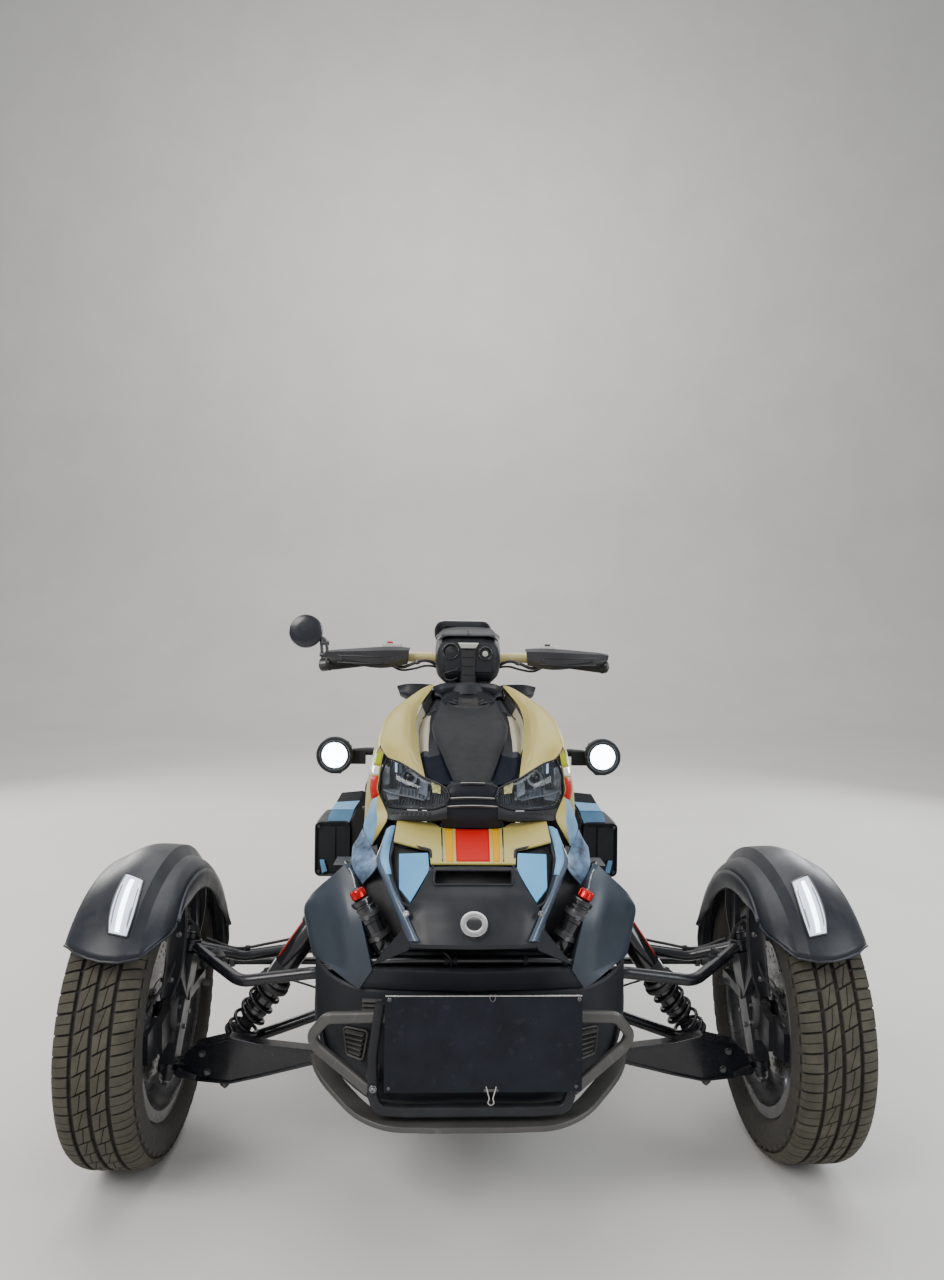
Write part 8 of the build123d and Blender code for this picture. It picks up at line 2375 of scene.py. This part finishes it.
AB = [[(p[0] * k_, p[1], 456 + (p[2] - 456) * k_) for p in r_] for r_, k_ in zip(AB, (0.92, 1, 1, 0.9))]
loft(g, AB, 2)
for a_ in (600, 650, 700):
    sweep(g, [V((x_, a_, 509.4)) for x_ in (-96, 0, 96)], rounded_rect(6, 3, 1.2, 2), 2, up=(0, 1, 0))
for x_ in (-110, 110):
    for a_ in (584, 720):
        bolt(g, (x_, a_, 506), (0, 0, 1), 3.6, 3, 4, "hex")
loft(g, [[(x_, a_, z_) for x_, z_ in ((-96, 340), (-104, 360), (-100, 396), (100, 396), (104, 360), (96, 340))] for a_ in (560, 840)], 2)
build("engine_fittings", g, [M["rubber"], M["dark_steel"], M["matte"], M["heat"], M["zinc"]], "chassis", slot="engine_metal", bevel=0.8, angle=36)

# ---------------------------------------------------------------- drive cover, footrests, frame details
g = Geo()
OUTL = [(330, 232), (420, 214), (760, 236), (842, 300), (846, 372), (790, 430), (470, 458), (352, 438), (286, 350), (286, 290)]
sm_ = [tuple(p) for p in round_path([(a_, z_, 0) for a_, z_ in OUTL], 34, 5, True)]
ctr = (566, 336)


def cover_ring(k_, x_, dx=0):
    return [(x_, ctr[0] + (p[0] - ctr[0]) * k_ + dx, ctr[1] + (p[1] - ctr[1]) * (k_ + (k_ - 1) * 1.2)) for p in sm_]


loft(g, [cover_ring(0.985, 152), cover_ring(1.0, 156), cover_ring(0.985, 196), cover_ring(0.96, 210), cover_ring(0.93, 217), cover_ring(0.90, 219.5), cover_ring(0.86, 219.5), cover_ring(0.84, 216), cover_ring(0.80, 216)], 0)
for (a_, z_, r_) in ((420, 336, 62), (712, 334, 66)):
    lathe(g, (214, a_, z_), (1, 0, 0), [(0, r_), (5, r_), (8, r_ - 3), (8.5, r_ - 12), (6, r_ - 16), (6, r_ * 0.5), (8, r_ * 0.46), (8, r_ * 0.2), (5.5, r_ * 0.16), (5.5, 0.01)], 0, 56)
for k_ in range(7):
    slab(g, [(-3.2, -46 + 3 * abs(k_ - 3)), (3.2, -46 + 3 * abs(k_ - 3)), (3.2, 46 - 3 * abs(k_ - 3)), (-3.2, 46 - 3 * abs(k_ - 3))], (216, 527 + 14 * k_, 336), (0, 0.97, 0.22), (0, -0.22, 0.97), 4.5, 1)
for a_, z_ in ((346, 250), (440, 232), (600, 240), (744, 254), (822, 316), (826, 366), (770, 412), (620, 430), (470, 440), (364, 420), (304, 344)):
    bolt(g, (212, a_ + (566 - a_) * 0.02, z_ + (336 - z_) * 0.06), (1, 0, 0), 4.0, 4.5, 2, "socket")
build("drive_cover_shell", g, [M["matte"], M["panel"], M["dark_steel"]], "chassis", replaces="drive_cover", slot="matte_black", bevel=0.9, angle=30)
g = Geo()
sweep(g, round_path([(118, 398, 168), (246, 398, 168), (247, 420, 168), (247, 560, 168), (246, 578, 168), (118, 578, 168)], 24, 6), rounded_rect(28, 28, 7, 4), 0, up=(0, 0, 1))
sweep(g, round_path([(247, 334, 168), (247, 400, 168)], 4), rounded_rect(28, 30, 7, 4), 0, up=(0, 0, 1))
sweep(g, round_path([(247, 560, 168), (247, 638, 168)], 4), rounded_rect(28, 30, 7, 4), 0, up=(0, 0, 1))
for a_ in (398, 578):
    box(g, 90, 124, a_ - 20, a_ + 20, 150, 186, 0)
    for da_ in (-12, 12):
        bolt(g, (106, a_ + da_, 186), (0, 0, 1), 4.5, 4, 2, "hex")
loft(g, [[(x_, a_, z_) for x_, z_ in ((238, 154), (268, 154), (266, 196), (242, 196))] for a_ in (438, 478)], 0)
PADR = [(258, 424), (262, 420), (386, 424), (392, 432), (391, 486), (386, 493), (262, 496), (258, 492)]
top_plate(g, PADR, 192, 12, 0, 1.5)
for k_ in range(9):
    a0_ = 430 + k_ * 7.2
    slab(g, rounded_rect(116, 4.2, 1.8, 3), (325, a0_, 204), (1, 0, 0), (0, 1, 0), 6.5, 1, 0.6)
for x_ in (270, 380):
    bolt(g, (x_, 458, 204), (0, 0, 1), 4, 3, 2, "socket")
build("footrest_set", g.both(), [M["arm"], M["rubber"], M["zinc"]], "chassis", replaces="footrests", slot="arm_steel", bevel=1.2, angle=32)
g = Geo()
for sx in (1, -1):
    for a_, z_ in ((-60, 164), (140, 164), (340, 164), (520, 164), (740, 164), (960, 164)):
        bolt(g, (sx * 90, a_, z_), (sx, 0, 0), 6, 5, 0, "hex")
    for a_, z_ in ((965, 220), (965, 330), (965, 440), (965, 540)):
        bolt(g, (sx * 88, a_ + 14, z_), (sx, 0, 0), 5, 4, 0, "hex")
    for a_, z_ in ((1180, 590), (1240, 600), (1300, 612)):
        bolt(g, (sx * 74, a_, z_ + 4), (sx, 0, 0), 5, 4, 0, "hex")
    side_plate(g, [(a_, z_) for a_, z_ in ((150, 206), (250, 206), (250, 230), (230, 520), (154, 532), (148, 510))], sx * 112 - (0 if sx > 0 else 5), 5, 1, 2)
    tube(g, spline([(sx * 56, 250, 536), (sx * 66, 420, 528), (sx * 60, 640, 536), (sx * 56, 900, 530), (sx * 60, 1100, 520)], 6), 4.5, 2, 10)
    for a_ in (420, 640, 900):
        box(g, sx * 62 - 9, sx * 62 + 9, a_ - 5, a_ + 5, 518, 542, 1)
for k_ in range(5):  # slots of the skid plate, crossbars under the tail
    a_ = 20 + 100 * k_
    slab(g, rounded_rect(150, 22, 10, 5), (0, a_, 121.2), (1, 0, 0), (0, -1, 0), 1.0, 3)
for sx in (1, -1):
    for a_ in (-50, 240, 530):
        bolt(g, (sx * 122, a_, 122), (0, 0, -1), 4.6, 0.8, 0, "socket")
loft(g, [[(x_, a_, z_) for x_, z_ in ((-70, 480), (70, 480), (70, 520), (-70, 520))] for a_ in (1012, 1040)], 1)
build("frame_fittings", g, [M["dark_steel"], M["frame"], M["cable"], M["under"]], "chassis", slot="frame_paint", bevel=0.8, angle=32)
